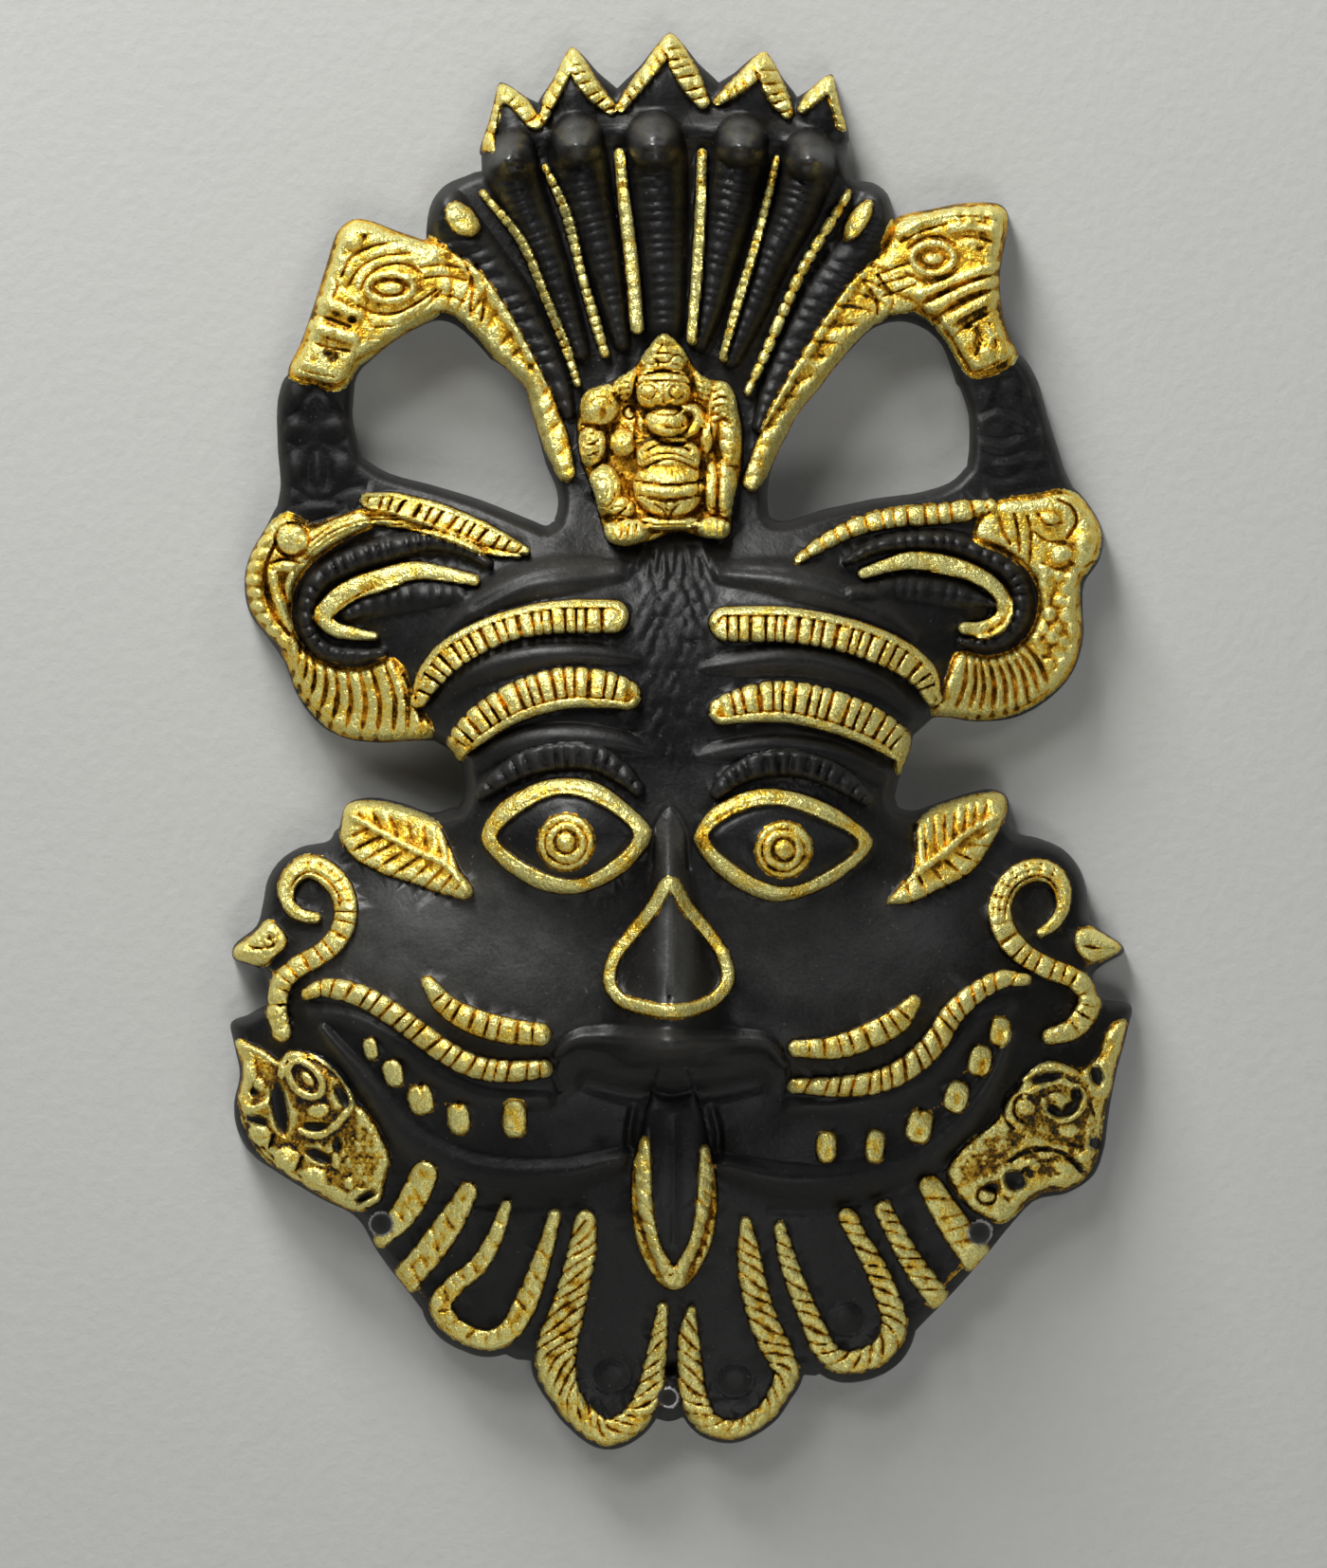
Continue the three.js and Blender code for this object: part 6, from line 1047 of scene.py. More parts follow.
     {'p': [(10.66, -78.54), (10.66, -80.78)], 'w': 0.56, 'h': -0.72, 'k': 's'},
     {'p': [(-5.98, -78.54), (-3.37, -79.1), (-0.19, -79.29), (2.99, -79.1), (5.61, -78.35)], 'w': 0.64, 'h': -0.87, 'k': 's'},
     {'p': [(-5.61, -80.22), (-1.5, -80.78), (2.62, -80.41), (5.61, -79.85)], 'w': 0.56, 'h': -0.58, 'k': 's'}],
 'beast_l': [{'p': [(-65.08, -30.29), (-63.21, -26.55), (-59.09, -24.31), (-52.36, -23.38), (-47.87, -24.68)], 'w': 0.94, 'h': -0.7, 'k': 's'},
     {'p': [(-63.95, -32.54), (-61.71, -28.8), (-57.6, -26.37), (-51.61, -25.62)], 'w': 0.84, 'h': -0.6, 'k': 's'},
     {'p': [(-61.34, -32.91), (-59.84, -30.11), (-56.66, -28.05), (-51.99, -27.86), (-49.37, -29.55)], 'w': 0.84, 'h': -0.7, 'k': 's'},
     {'p': [(-66.57, -24.68), (-64.7, -22.81), (-61.34, -22.07), (-57.6, -22.07)], 'w': 0.75, 'h': -0.5, 'k': 's'},
     {'p': [(-61.71, -35.9), (-58.53, -37.4), (-54.23, -37.4), (-49.74, -35.16), (-46.38, -32.91)], 'w': 0.94, 'h': -0.8, 'k': 's'},
     {'p': [(-58.34, -40.2), (-53.86, -39.64), (-48.99, -36.65), (-45.25, -32.91)], 'w': 0.84, 'h': -0.6, 'k': 's'},
     {'p': [(-59.84, -42.64), (-55.73, -42.26)], 'w': 0.75, 'h': -0.5, 'k': 's'},
     {
         'p': [(-50.86, -32.35), (-51.76, -33.89), (-54.09, -34.84), (-56.98, -34.84), (-59.32, -33.89), (-60.21, -32.35), (-59.32, -30.81), (-56.98, -29.86),
             (-54.09, -29.86), (-51.76, -30.81)],
         'w': 1.31,
         'h': 0.8,
         'k': 'r',
         'closed': 1},
     {
         'p': [(-52.36, -32.35), (-52.97, -33.23), (-54.56, -33.77), (-56.52, -33.77), (-58.11, -33.23), (-58.72, -32.35), (-58.11, -31.47), (-56.52, -30.93),
             (-54.56, -30.93), (-52.97, -31.47)],
         'w': 0.64,
         'h': -0.5,
         'k': 's',
         'closed': 1},
     {'p': [(-66.95, -29.92), (-65.82, -31.79), (-66.57, -34.03)], 'w': 0.75, 'h': -0.6, 'k': 's'},
     {'p': [(-69.94, -34.78), (-66.57, -35.72), (-62.08, -37.96)], 'w': 2.24, 'h': 1.1, 'k': 'r'},
     {'p': [(-71.25, -39.64), (-67.32, -40.95), (-62.46, -42.45)], 'w': 2.24, 'h': 1.1, 'k': 'r'},
     {'p': [(-70.31, -37.59), (-66.95, -38.71), (-63.58, -40.02)], 'w': 0.94, 'h': -0.9, 'k': 's'},
     {'p': [(-72.18, -42.64), (-67.69, -44.13), (-63.58, -44.88)], 'w': 0.94, 'h': -0.7, 'k': 's'},
     {'p': [(-73.3, -48.43), (-69.94, -49.37), (-66.57, -49.93)], 'w': 0.94, 'h': -0.8, 'k': 's'},
     {'p': [(-49.37, -28.42), (-45.63, -27.86), (-41.89, -28.42)], 'w': 0.84, 'h': -0.6, 'k': 's'},
     {'p': [(-48.62, -30.48), (-44.51, -30.11), (-40.39, -31.04)], 'w': 0.84, 'h': -0.6, 'k': 's'},
     {'p': [(-47.12, -34.03), (-43.76, -34.03), (-40.77, -35.16)], 'w': 0.84, 'h': -0.6, 'k': 's'},
     {'p': [(-41.51, -26.18), (-39.27, -31.04), (-39.64, -37.03)], 'w': 0.94, 'h': -0.8, 'k': 's'},
     {'p': [(-38.52, -27.68), (-36.65, -32.91), (-37.4, -38.9)], 'w': 0.94, 'h': -0.8, 'k': 's'},
     {'p': [(-68.82, -29.92), (-67.69, -28.05), (-66.95, -25.81)], 'w': 0.75, 'h': -0.5, 'k': 's'},
     {'p': [(-59.84, -35.16), (-60.21, -37.77), (-59.09, -40.2)], 'w': 0.75, 'h': -0.5, 'k': 's'}],
 'beast_r': [{'p': [(40.58, -29.92), (44.32, -28.42), (47.5, -27.49)], 'w': 0.84, 'h': -0.6, 'k': 's'},
     {'p': [(41.14, -31.79), (44.88, -30.67), (47.87, -29.92)], 'w': 0.84, 'h': -0.6, 'k': 's'},
     {'p': [(41.89, -34.03), (45.25, -32.91), (48.25, -31.79)], 'w': 0.84, 'h': -0.6, 'k': 's'},
     {
         'p': [(55.73, -26.55), (54.94, -28.31), (52.88, -29.4), (50.34, -29.4), (48.28, -28.31), (47.5, -26.55), (48.28, -24.8), (50.34, -23.71), (52.88, -23.71),
             (54.94, -24.8)],
         'w': 1.31,
         'h': 0.9,
         'k': 'r',
         'closed': 1},
     {
         'p': [(54.04, -26.55), (53.58, -27.43), (52.36, -27.98), (50.86, -27.98), (49.65, -27.43), (49.18, -26.55), (49.65, -25.67), (50.86, -25.13),
             (52.36, -25.13), (53.58, -25.67)],
         'w': 0.64,
         'h': -0.5,
         'k': 's',
         'closed': 1},
     {'p': [(46.75, -24.68), (49.37, -22.81), (53.11, -22.44), (56.1, -23.94)], 'w': 0.84, 'h': -0.7, 'k': 's'},
     {'p': [(46.38, -29.55), (49.74, -31.04), (53.86, -30.67), (56.47, -28.8)], 'w': 0.84, 'h': -0.7, 'k': 's'},
     {'p': [(44.88, -21.69), (48.25, -19.64), (51.99, -17.95), (56.85, -17.2)], 'w': 1.87, 'h': 1.0, 'k': 'r'},
     {'p': [(55.35, -20.57), (59.09, -20.2), (63.21, -20.94)], 'w': 1.87, 'h': 1.0, 'k': 'r'},
     {'p': [(45.25, -23.38), (49.37, -21.32), (54.23, -19.82)], 'w': 0.75, 'h': -0.7, 'k': 's'},
     {'p': [(56.47, -18.33), (60.21, -18.33), (63.95, -19.07)], 'w': 0.84, 'h': -0.7, 'k': 's'},
     {'p': [(56.47, -22.44), (60.21, -22.44), (63.95, -23.56)], 'w': 0.84, 'h': -0.7, 'k': 's'},
     {'p': [(50.86, -36.65), (54.6, -34.59), (58.72, -32.54), (64.33, -31.04)], 'w': 2.24, 'h': 1.2, 'k': 'r'},
     {'p': [(53.48, -40.02), (56.85, -37.59), (60.59, -35.53), (64.7, -33.66)], 'w': 2.06, 'h': 1.2, 'k': 'r'},
     {'p': [(51.61, -38.71), (55.35, -36.28), (59.84, -34.03), (64.52, -32.35)], 'w': 0.84, 'h': -0.9, 'k': 's'},
     {'p': [(48.99, -33.66), (52.73, -32.16), (57.22, -30.29), (64.33, -28.05)], 'w': 1.87, 'h': 1.0, 'k': 'r'},
     {'p': [(49.74, -35.34), (53.86, -33.47), (58.72, -31.42), (64.52, -29.55)], 'w': 0.84, 'h': -0.8, 'k': 's'},
     {'p': [(55.35, -42.26), (58.72, -39.64), (64.7, -36.28)], 'w': 0.94, 'h': -0.7, 'k': 's'},
     {'p': [(60.21, -40.39), (60.96, -43.01), (60.21, -45.63)], 'w': 0.94, 'h': -0.6, 'k': 's'},
     {'p': [(62.83, -39.27), (63.95, -42.26), (64.33, -44.51)], 'w': 0.94, 'h': -0.5, 'k': 's'},
     {'p': [(56.1, -17.02), (56.85, -19.26)], 'w': 1.31, 'h': 0.7, 'k': 'r'},
     {'p': [(58.34, -16.83), (59.09, -19.07)], 'w': 1.31, 'h': 0.7, 'k': 'r'},
     {'p': [(60.59, -16.64), (61.34, -18.89)], 'w': 1.31, 'h': 0.7, 'k': 'r'},
     {'p': [(62.83, -16.64), (63.58, -18.89)], 'w': 1.31, 'h': 0.7, 'k': 'r'},
     {'p': [(60.21, -48.99), (63.58, -47.5), (66.57, -46)], 'w': 0.84, 'h': -0.8, 'k': 's'},
     {'p': [(62.83, -25.81), (64.33, -26.93)], 'w': 0.75, 'h': -0.5, 'k': 's'},
     {'p': [(38.15, -31.04), (40.77, -35.9), (40.02, -40.02)], 'w': 0.94, 'h': -0.8, 'k': 's'},
     {'p': [(40.77, -29.92), (43.76, -34.78), (43.01, -38.15)], 'w': 0.94, 'h': -0.7, 'k': 's'}],
 'strut_l': [{'p': [(-70.12, -51.24), (-72.18, -54.23), (-75.17, -57.97)], 'w': 2.06, 'h': -1.1, 'k': 's'},
     {'p': [(-70.12, -51.24), (-67.69, -54.23), (-64.7, -57.6)], 'w': 2.06, 'h': -1.1, 'k': 's'},
     {'p': [(-70.12, -52.73), (-70.12, -56.47), (-70.12, -59.09)], 'w': 1.31, 'h': -0.7, 'k': 's'},
     {'p': [(-76.67, -60.21), (-75.92, -57.97), (-74.05, -56.47)], 'w': 1.68, 'h': -0.8, 'k': 's'},
     {'p': [(-63.21, -59.84), (-64.33, -57.6), (-66.2, -56.1)], 'w': 1.68, 'h': -0.8, 'k': 's'},
     {'p': [(-76.3, -62.46), (-73.3, -63.58), (-71.06, -62.46)], 'w': 1.68, 'h': -1.0, 'k': 's'},
     {'p': [(-69.19, -62.46), (-66.95, -63.58), (-63.58, -61.71)], 'w': 1.68, 'h': -1.0, 'k': 's'},
     {'p': [(-70.69, -64.33), (-71.81, -67.69), (-71.43, -71.81)], 'w': 2.06, 'h': -0.9, 'k': 's'},
     {'p': [(-69.19, -64.33), (-67.69, -67.69), (-68.07, -71.81)], 'w': 2.06, 'h': -0.9, 'k': 's'},
     {'p': [(-76.3, -65.45), (-74.43, -64.33), (-72.18, -65.08)], 'w': 1.5, 'h': -0.7, 'k': 's'},
     {'p': [(-67.69, -65.08), (-65.08, -64.33), (-62.83, -65.82)], 'w': 1.5, 'h': -0.7, 'k': 's'},
     {'p': [(-76.67, -70.69), (-74.05, -72.18), (-71.43, -74.05)], 'w': 1.87, 'h': -0.8, 'k': 's'},
     {'p': [(-60.96, -71.43), (-64.33, -72.18), (-67.32, -74.05)], 'w': 1.87, 'h': -0.8, 'k': 's'},
     {'p': [(-74.8, -75.55), (-69.94, -74.43), (-65.08, -75.17)], 'w': 1.68, 'h': -0.5, 'k': 's'}],
 'strut_r': [{'p': [(60.21, -51.99), (63.21, -50.12), (67.69, -49.74)], 'w': 1.68, 'h': -0.8, 'k': 's'},
     {'p': [(64.33, -50.86), (64.33, -53.48), (62.83, -56.1)], 'w': 1.68, 'h': -0.9, 'k': 's'},
     {'p': [(68.82, -51.24), (69.56, -53.86), (71.81, -55.73)], 'w': 1.68, 'h': -0.9, 'k': 's'},
     {'p': [(60.96, -57.22), (63.95, -56.1), (68.07, -56.85)], 'w': 1.5, 'h': -0.9, 'k': 's'},
     {'p': [(60.96, -61.34), (64.7, -62.08), (68.82, -60.96)], 'w': 1.68, 'h': -1.0, 'k': 's'},
     {'p': [(61.34, -59.09), (63.95, -57.6), (66.95, -57.97), (69.19, -59.84)], 'w': 1.68, 'h': 0.8, 'k': 'r'},
     {'p': [(70.31, -57.97), (72.18, -60.96), (72.56, -64.33)], 'w': 1.68, 'h': -0.9, 'k': 's'},
     {'p': [(61.71, -64.7), (65.08, -65.82), (69.19, -64.33)], 'w': 1.68, 'h': -0.9, 'k': 's'},
     {'p': [(62.46, -63.58), (65.82, -64.33), (69.19, -62.83)], 'w': 1.68, 'h': 0.7, 'k': 'r'},
     {'p': [(62.08, -69.19), (65.82, -70.31), (70.31, -68.07), (74.05, -67.69)], 'w': 1.68, 'h': -0.8, 'k': 's'},
     {'p': [(63.95, -73.3), (69.56, -72.18), (76.3, -71.43)], 'w': 1.68, 'h': -0.5, 'k': 's'}],
 'ear_l': [{'p': [(-77.98, -82.65), (-79.85, -87.14), (-79.85, -91.63), (-78.54, -96.49), (-75.17, -100.98)], 'w': 0.94, 'h': -1.3, 'k': 's'},
     {'p': [(-78.54, -89.01), (-78.17, -92), (-77.04, -95.37), (-74.8, -99.48)], 'w': 1.68, 'h': 1.1, 'k': 'r'},
     {'p': [(-74.8, -89.01), (-75.36, -91.26), (-75.17, -93.87)], 'w': 1.5, 'h': 0.9, 'k': 'r'},
     {'p': [(-76.48, -88.64), (-76.48, -91.63), (-75.36, -95.37)], 'w': 0.84, 'h': -1.0, 'k': 's'},
     {'p': [(-72.18, -86.02), (-67.32, -81.91), (-60.21, -79.29), (-53.11, -79.1)], 'w': 0.75, 'h': -0.7, 'k': 's'},
     {'p': [(-71.81, -84.34), (-66.95, -80.6), (-60.21, -78.35), (-53.11, -78.17)], 'w': 0.75, 'h': -0.7, 'k': 's'},
     {'p': [(-71.43, -82.65), (-66.57, -79.29), (-60.21, -77.42), (-53.11, -77.23)], 'w': 0.75, 'h': -0.7, 'k': 's'},
     {
         'p': [(-71.43, -82.09), (-72.08, -84.07), (-73.76, -85.29), (-75.84, -85.29), (-77.52, -84.07), (-78.17, -82.09), (-77.52, -80.11), (-75.84, -78.89),
             (-73.76, -78.89), (-72.08, -80.11)],
         'w': 0.84,
         'h': -0.9,
         'k': 's',
         'closed': 1},
     {'p': [(-79.29, -86.77), (-76.3, -86.02), (-72.93, -86.77)], 'w': 0.84, 'h': -0.8, 'k': 's'}],
 'ear_r': [{'p': [(76.3, -74.24), (78.91, -75.55), (80.04, -78.35), (78.17, -81.72)], 'w': 1.03, 'h': -1.1, 'k': 's'},
     {'p': [(72.37, -77.04), (74.05, -79.1), (77.04, -78.73)], 'w': 0.94, 'h': -1.0, 'k': 's'},
     {'p': [(71.43, -80.41), (74.05, -82.28), (77.79, -82.65)], 'w': 0.84, 'h': -0.6, 'k': 's'},
     {'p': [(64.7, -77.79), (65.45, -80.41), (66.95, -83.03)], 'w': 0.94, 'h': -0.8, 'k': 's'},
     {'p': [(67.69, -77.04), (68.44, -80.41), (68.82, -84.52)], 'w': 0.94, 'h': -0.8, 'k': 's'},
     {'p': [(70.31, -77.42), (71.06, -81.53), (70.69, -86.77)], 'w': 0.94, 'h': -0.7, 'k': 's'},
     {'p': [(78.54, -86.39), (80.78, -87.52), (83.4, -86.39)], 'w': 0.94, 'h': -0.8, 'k': 's'},
     {'p': [(73.3, -86.77), (76.67, -87.89), (79.29, -86.77)], 'w': 0.94, 'h': -0.7, 'k': 's'}],
 'nose_drop': [{'p': [(-10.66, -164.19), (-11.59, -168.3), (-10.47, -171.67), (-6.73, -173.35), (-1.12, -174.1)], 'w': 3.18, 'h': 0.5, 'k': 'g'},
     {'p': [(0.75, -174.1), (6.36, -173.35), (10.1, -170.92), (11.03, -167.55), (10.1, -163.81)], 'w': 2.99, 'h': 0.5, 'k': 'g'},
     {'p': [(-0.37, -172.04), (-0.19, -175.41)], 'w': 0.94, 'h': -0.9, 'k': 's'}],
 'scroll_fine': [{
         'p': [(-65.45, -154.46), (-65.64, -152.22), (-67.88, -149.41), (-71.43, -147.73), (-74.05, -149.23), (-74.99, -151.84), (-74.05, -153.9)],
         'w': 0.75,
         'h': -0.7,
         'k': 's'},
     {
         'p': [(65.82, -157.08), (66.01, -154.46), (67.69, -150.72), (71.25, -148.48), (74.05, -148.85), (75.92, -151.1), (76.11, -154.09), (74.99, -156.71)],
         'w': 0.75,
         'h': -0.7,
         'k': 's'},
     {'p': [(-62.83, -153.34), (-65.08, -153.34)], 'w': 0.75, 'h': -0.6, 'k': 's'},
     {'p': [(-63.21, -151.1), (-65.45, -151.47)], 'w': 0.75, 'h': -0.6, 'k': 's'},
     {'p': [(-64.52, -148.85), (-66.39, -149.79)], 'w': 0.75, 'h': -0.6, 'k': 's'},
     {'p': [(-66.39, -146.98), (-67.69, -148.29)], 'w': 0.75, 'h': -0.6, 'k': 's'},
     {'p': [(-68.82, -145.67), (-69.56, -147.36)], 'w': 0.75, 'h': -0.6, 'k': 's'},
     {'p': [(-71.81, -144.93), (-71.62, -146.79)], 'w': 0.75, 'h': -0.6, 'k': 's'},
     {'p': [(-74.8, -145.67), (-73.68, -147.36)], 'w': 0.75, 'h': -0.6, 'k': 's'},
     {'p': [(63.39, -154.84), (65.45, -155.21)], 'w': 0.75, 'h': -0.6, 'k': 's'},
     {'p': [(63.77, -152.22), (65.82, -152.78)], 'w': 0.75, 'h': -0.6, 'k': 's'},
     {'p': [(65.08, -149.79), (66.95, -150.72)], 'w': 0.75, 'h': -0.6, 'k': 's'},
     {'p': [(67.13, -147.73), (68.44, -149.23)], 'w': 0.75, 'h': -0.6, 'k': 's'},
     {'p': [(69.94, -146.23), (70.69, -148.1)], 'w': 0.75, 'h': -0.6, 'k': 's'},
     {'p': [(72.93, -146.05), (72.93, -147.92)], 'w': 0.75, 'h': -0.6, 'k': 's'},
     {'p': [(75.73, -147.17), (74.8, -148.85)], 'w': 0.75, 'h': -0.6, 'k': 's'},
     {
         'p': [(-16.64, -141.93), (-17.43, -144.35), (-19.49, -145.85), (-22.03, -145.85), (-24.09, -144.35), (-24.87, -141.93), (-24.09, -139.51),
             (-22.03, -138.02), (-19.49, -138.02), (-17.43, -139.51)],
         'w': 0.71,
         'h': -0.5,
         'k': 's',
         'closed': 1},
     {
         'p': [(26.18, -143.43), (25.39, -145.85), (23.34, -147.34), (20.79, -147.34), (18.74, -145.85), (17.95, -143.43), (18.74, -141.01), (20.79, -139.52),
             (23.34, -139.52), (25.39, -141.01)],
         'w': 0.71,
         'h': -0.5,
         'k': 's',
         'closed': 1}],
 'leaf_l': [{'p': [(-64.7, -135.76), (-60.4, -138.01), (-55.73, -140.62), (-50.12, -143.62), (-44.51, -146.23), (-39.64, -152.03)], 'w': 1.31, 'h': 0.9, 'k': 'r'},
     {'p': [(-62.83, -134.27), (-60.77, -137.26)], 'w': 0.94, 'h': -0.75, 'k': 's'},
     {'p': [(-59.84, -133.89), (-57.22, -139.31)], 'w': 0.94, 'h': -0.75, 'k': 's'},
     {'p': [(-56.29, -134.45), (-54.04, -140.44)], 'w': 0.94, 'h': -0.75, 'k': 's'},
     {'p': [(-51.99, -135.95), (-51.24, -141.75)], 'w': 0.94, 'h': -0.75, 'k': 's'},
     {'p': [(-48.81, -137.44), (-48.43, -143.06)], 'w': 0.94, 'h': -0.75, 'k': 's'},
     {'p': [(-46.19, -139.13), (-45.63, -144.55)], 'w': 0.94, 'h': -0.75, 'k': 's'},
     {'p': [(-44.13, -142.12), (-43.76, -146.05)], 'w': 0.94, 'h': -0.75, 'k': 's'},
     {'p': [(-59.84, -139.13), (-63.95, -141)], 'w': 0.94, 'h': -0.75, 'k': 's'},
     {'p': [(-57.22, -140.62), (-62.83, -143.43)], 'w': 0.94, 'h': -0.75, 'k': 's'},
     {'p': [(-54.6, -141.93), (-60.96, -145.49)], 'w': 0.94, 'h': -0.75, 'k': 's'},
     {'p': [(-51.99, -143.24), (-58.34, -147.17)], 'w': 0.94, 'h': -0.75, 'k': 's'},
     {'p': [(-49.37, -144.55), (-55.35, -148.48)], 'w': 0.94, 'h': -0.75, 'k': 's'},
     {'p': [(-47.12, -145.67), (-51.99, -149.97)], 'w': 0.94, 'h': -0.75, 'k': 's'},
     {'p': [(-44.88, -146.79), (-48.99, -151.1)], 'w': 0.94, 'h': -0.75, 'k': 's'},
     {'p': [(-43.01, -148.1), (-46.38, -152.22)], 'w': 0.94, 'h': -0.75, 'k': 's'},
     {'p': [(-41.33, -149.6), (-43.76, -152.78)], 'w': 0.94, 'h': -0.75, 'k': 's'}],
 'leaf_r': [{
         'p': [(65.45, -136.51), (61.34, -138.01), (57.41, -140.62), (53.67, -143.99), (49.93, -146.79), (46.19, -149.6), (43.38, -153.34)],
         'w': 1.31,
         'h': 0.9,
         'k': 'r'},
     {'p': [(48.06, -138.38), (48.81, -146.23)], 'w': 0.94, 'h': -0.75, 'k': 's'},
     {'p': [(49.93, -136.88), (50.3, -144.93)], 'w': 0.94, 'h': -0.75, 'k': 's'},
     {'p': [(51.8, -135.76), (52.17, -143.62)], 'w': 0.94, 'h': -0.75, 'k': 's'},
     {'p': [(53.86, -134.45), (54.04, -142.49)], 'w': 0.94, 'h': -0.75, 'k': 's'},
     {'p': [(56.1, -133.71), (55.73, -141.19)], 'w': 0.94, 'h': -0.75, 'k': 's'},
     {'p': [(58.34, -132.77), (57.78, -139.88)], 'w': 0.94, 'h': -0.75, 'k': 's'},
     {'p': [(60.4, -132.4), (59.65, -138.94)], 'w': 0.94, 'h': -0.75, 'k': 's'},
     {'p': [(62.65, -132.4), (61.52, -138.01)], 'w': 0.94, 'h': -0.75, 'k': 's'},
     {'p': [(64.33, -138.75), (60.59, -141)], 'w': 0.94, 'h': -0.75, 'k': 's'},
     {'p': [(62.46, -142.49), (58.72, -142.31)], 'w': 0.94, 'h': -0.75, 'k': 's'},
     {'p': [(60.77, -145.86), (56.47, -143.99)], 'w': 0.94, 'h': -0.75, 'k': 's'},
     {'p': [(57.97, -148.66), (54.23, -145.49)], 'w': 0.94, 'h': -0.75, 'k': 's'},
     {'p': [(54.6, -150.72), (51.61, -146.98)], 'w': 0.94, 'h': -0.75, 'k': 's'},
     {'p': [(50.86, -152.41), (48.62, -148.1)], 'w': 0.94, 'h': -0.75, 'k': 's'},
     {'p': [(47.5, -153.71), (46.38, -149.6)], 'w': 0.94, 'h': -0.75, 'k': 's'}],
 'jowl_l': [{'p': [(-85.65, -181.58), (-83.22, -182.14), (-80.6, -183.26), (-77.79, -185.32)], 'w': 1.31, 'h': 0.9, 'k': 'r'},
     {
         'p': [(-76.86, -187.75), (-76.48, -184.76), (-74.43, -183.63), (-70.31, -184.19), (-66.76, -186.63), (-63.95, -190.18), (-63.02, -193.17),
             (-64.7, -195.98), (-66.95, -198.22), (-70.31, -199.72), (-73.12, -198.59)],
         'w': [1.31, 1.5, 1.5, 1.31, 1.31, 1.12, 1.31, 1.5, 1.68, 1.68, 1.12],
         'h': 1.3,
         'k': 'r'},
     {
         'p': [(-69.48, -191.6), (-70.83, -192.04), (-72.54, -191.54), (-74.16, -190.21), (-75.24, -188.43), (-75.51, -186.67), (-74.88, -185.39),
             (-73.53, -184.95), (-71.82, -185.46), (-70.21, -186.78), (-69.12, -188.56), (-68.86, -190.33)],
         'w': 1.5,
         'h': 1.2,
         'k': 'r',
         'closed': 1},
     {'p': [(-84.9, -191.86), (-84.34, -193.36), (-82.65, -194.29), (-79.85, -193.36)], 'w': 1.12, 'h': 1.1, 'k': 'r'},
     {'p': [(-83.4, -197.28), (-80.78, -201.59), (-76.3, -205.7), (-69.56, -209.81)], 'w': 0.94, 'h': -0.8, 'k': 's'},
     {'p': [(-83.4, -184.76), (-82.28, -188.12), (-82.65, -191.11)], 'w': 0.94, 'h': -0.7, 'k': 's'},
     {'p': [(-78.35, -199.34), (-79.29, -201.96)], 'w': 0.94, 'h': -0.9, 'k': 's'},
     {'p': [(-72.74, -203.83), (-74.05, -206.45)], 'w': 0.94, 'h': -0.9, 'k': 's'},
     {'p': [(-65.45, -211.68), (-61.34, -212.43), (-57.97, -210.94)], 'w': 0.94, 'h': -0.7, 'k': 's'}],
 'jowl_r': [{'p': [(69.56, -188.68), (72.56, -186.25), (75.73, -185.5), (79.29, -187.19)], 'w': [1.12, 1.5, 1.68, 1.5], 'h': 1.3, 'k': 'r'},
     {'p': [(69.56, -191.86), (72.56, -190.18), (76.67, -188.87), (79.66, -189.99)], 'w': 1.12, 'h': 0.9, 'k': 'r'},
     {'p': [(73.3, -192.61), (74.43, -195.04), (77.04, -196.72), (80.22, -195.41), (81.53, -192.24), (80.22, -189.99)], 'w': 1.12, 'h': 0.9, 'k': 'r'},
     {
         'p': [(70.8, -191.53), (69.62, -191.57), (68.56, -192.1), (67.82, -193.01), (67.51, -194.15), (67.7, -195.32), (68.35, -196.3), (69.35, -196.93)],
         'w': 0.94,
         'h': -0.9,
         'k': 's'},
     {
         'p': [(68.65, -189.72), (67.33, -190.45), (66.29, -191.55), (65.65, -192.92), (65.45, -194.41), (65.72, -195.9), (66.44, -197.23), (67.52, -198.28)],
         'w': 0.94,
         'h': -0.7,
         'k': 's'},
     {'p': [(88.26, -179.52), (86.02, -183.63), (86.77, -188.12)], 'w': 0.94, 'h': -0.7, 'k': 's'},
     {'p': [(86.77, -180.64), (84.52, -185.13)], 'w': 0.84, 'h': -0.6, 'k': 's'},
     {'p': [(66.95, -204.58), (69.94, -202.71), (73.3, -202.33), (76.3, -202.71), (78.73, -204.2), (80.78, -206.82)], 'w': 1.31, 'h': -1.1, 'k': 's'},
     {'p': [(82.65, -193.36), (83.78, -197.1), (82.65, -200.09)], 'w': 0.94, 'h': -0.7, 'k': 's'},
     {'p': [(78.91, -204.2), (81.53, -205.33), (83.03, -204.2)], 'w': 0.84, 'h': -0.7, 'k': 's'},
     {'p': [(78.54, -201.21), (81.16, -201.96)], 'w': 0.84, 'h': -0.7, 'k': 's'},
     {'p': [(69.19, -206.82), (71.81, -204.95), (74.43, -204.58)], 'w': 0.94, 'h': -0.7, 'k': 's'},
     {
         'p': [(64.14, -211.5), (63.78, -212.49), (62.85, -213.1), (61.69, -213.1), (60.76, -212.49), (60.4, -211.5), (60.76, -210.51), (61.69, -209.9),
             (62.85, -209.9), (63.78, -210.51)],
         'w': 0.84,
         'h': -0.8,
         'k': 's',
         'closed': 1},
     {'p': [(65.82, -211.68), (67.32, -213.55)], 'w': 0.84, 'h': -0.6, 'k': 's'}],
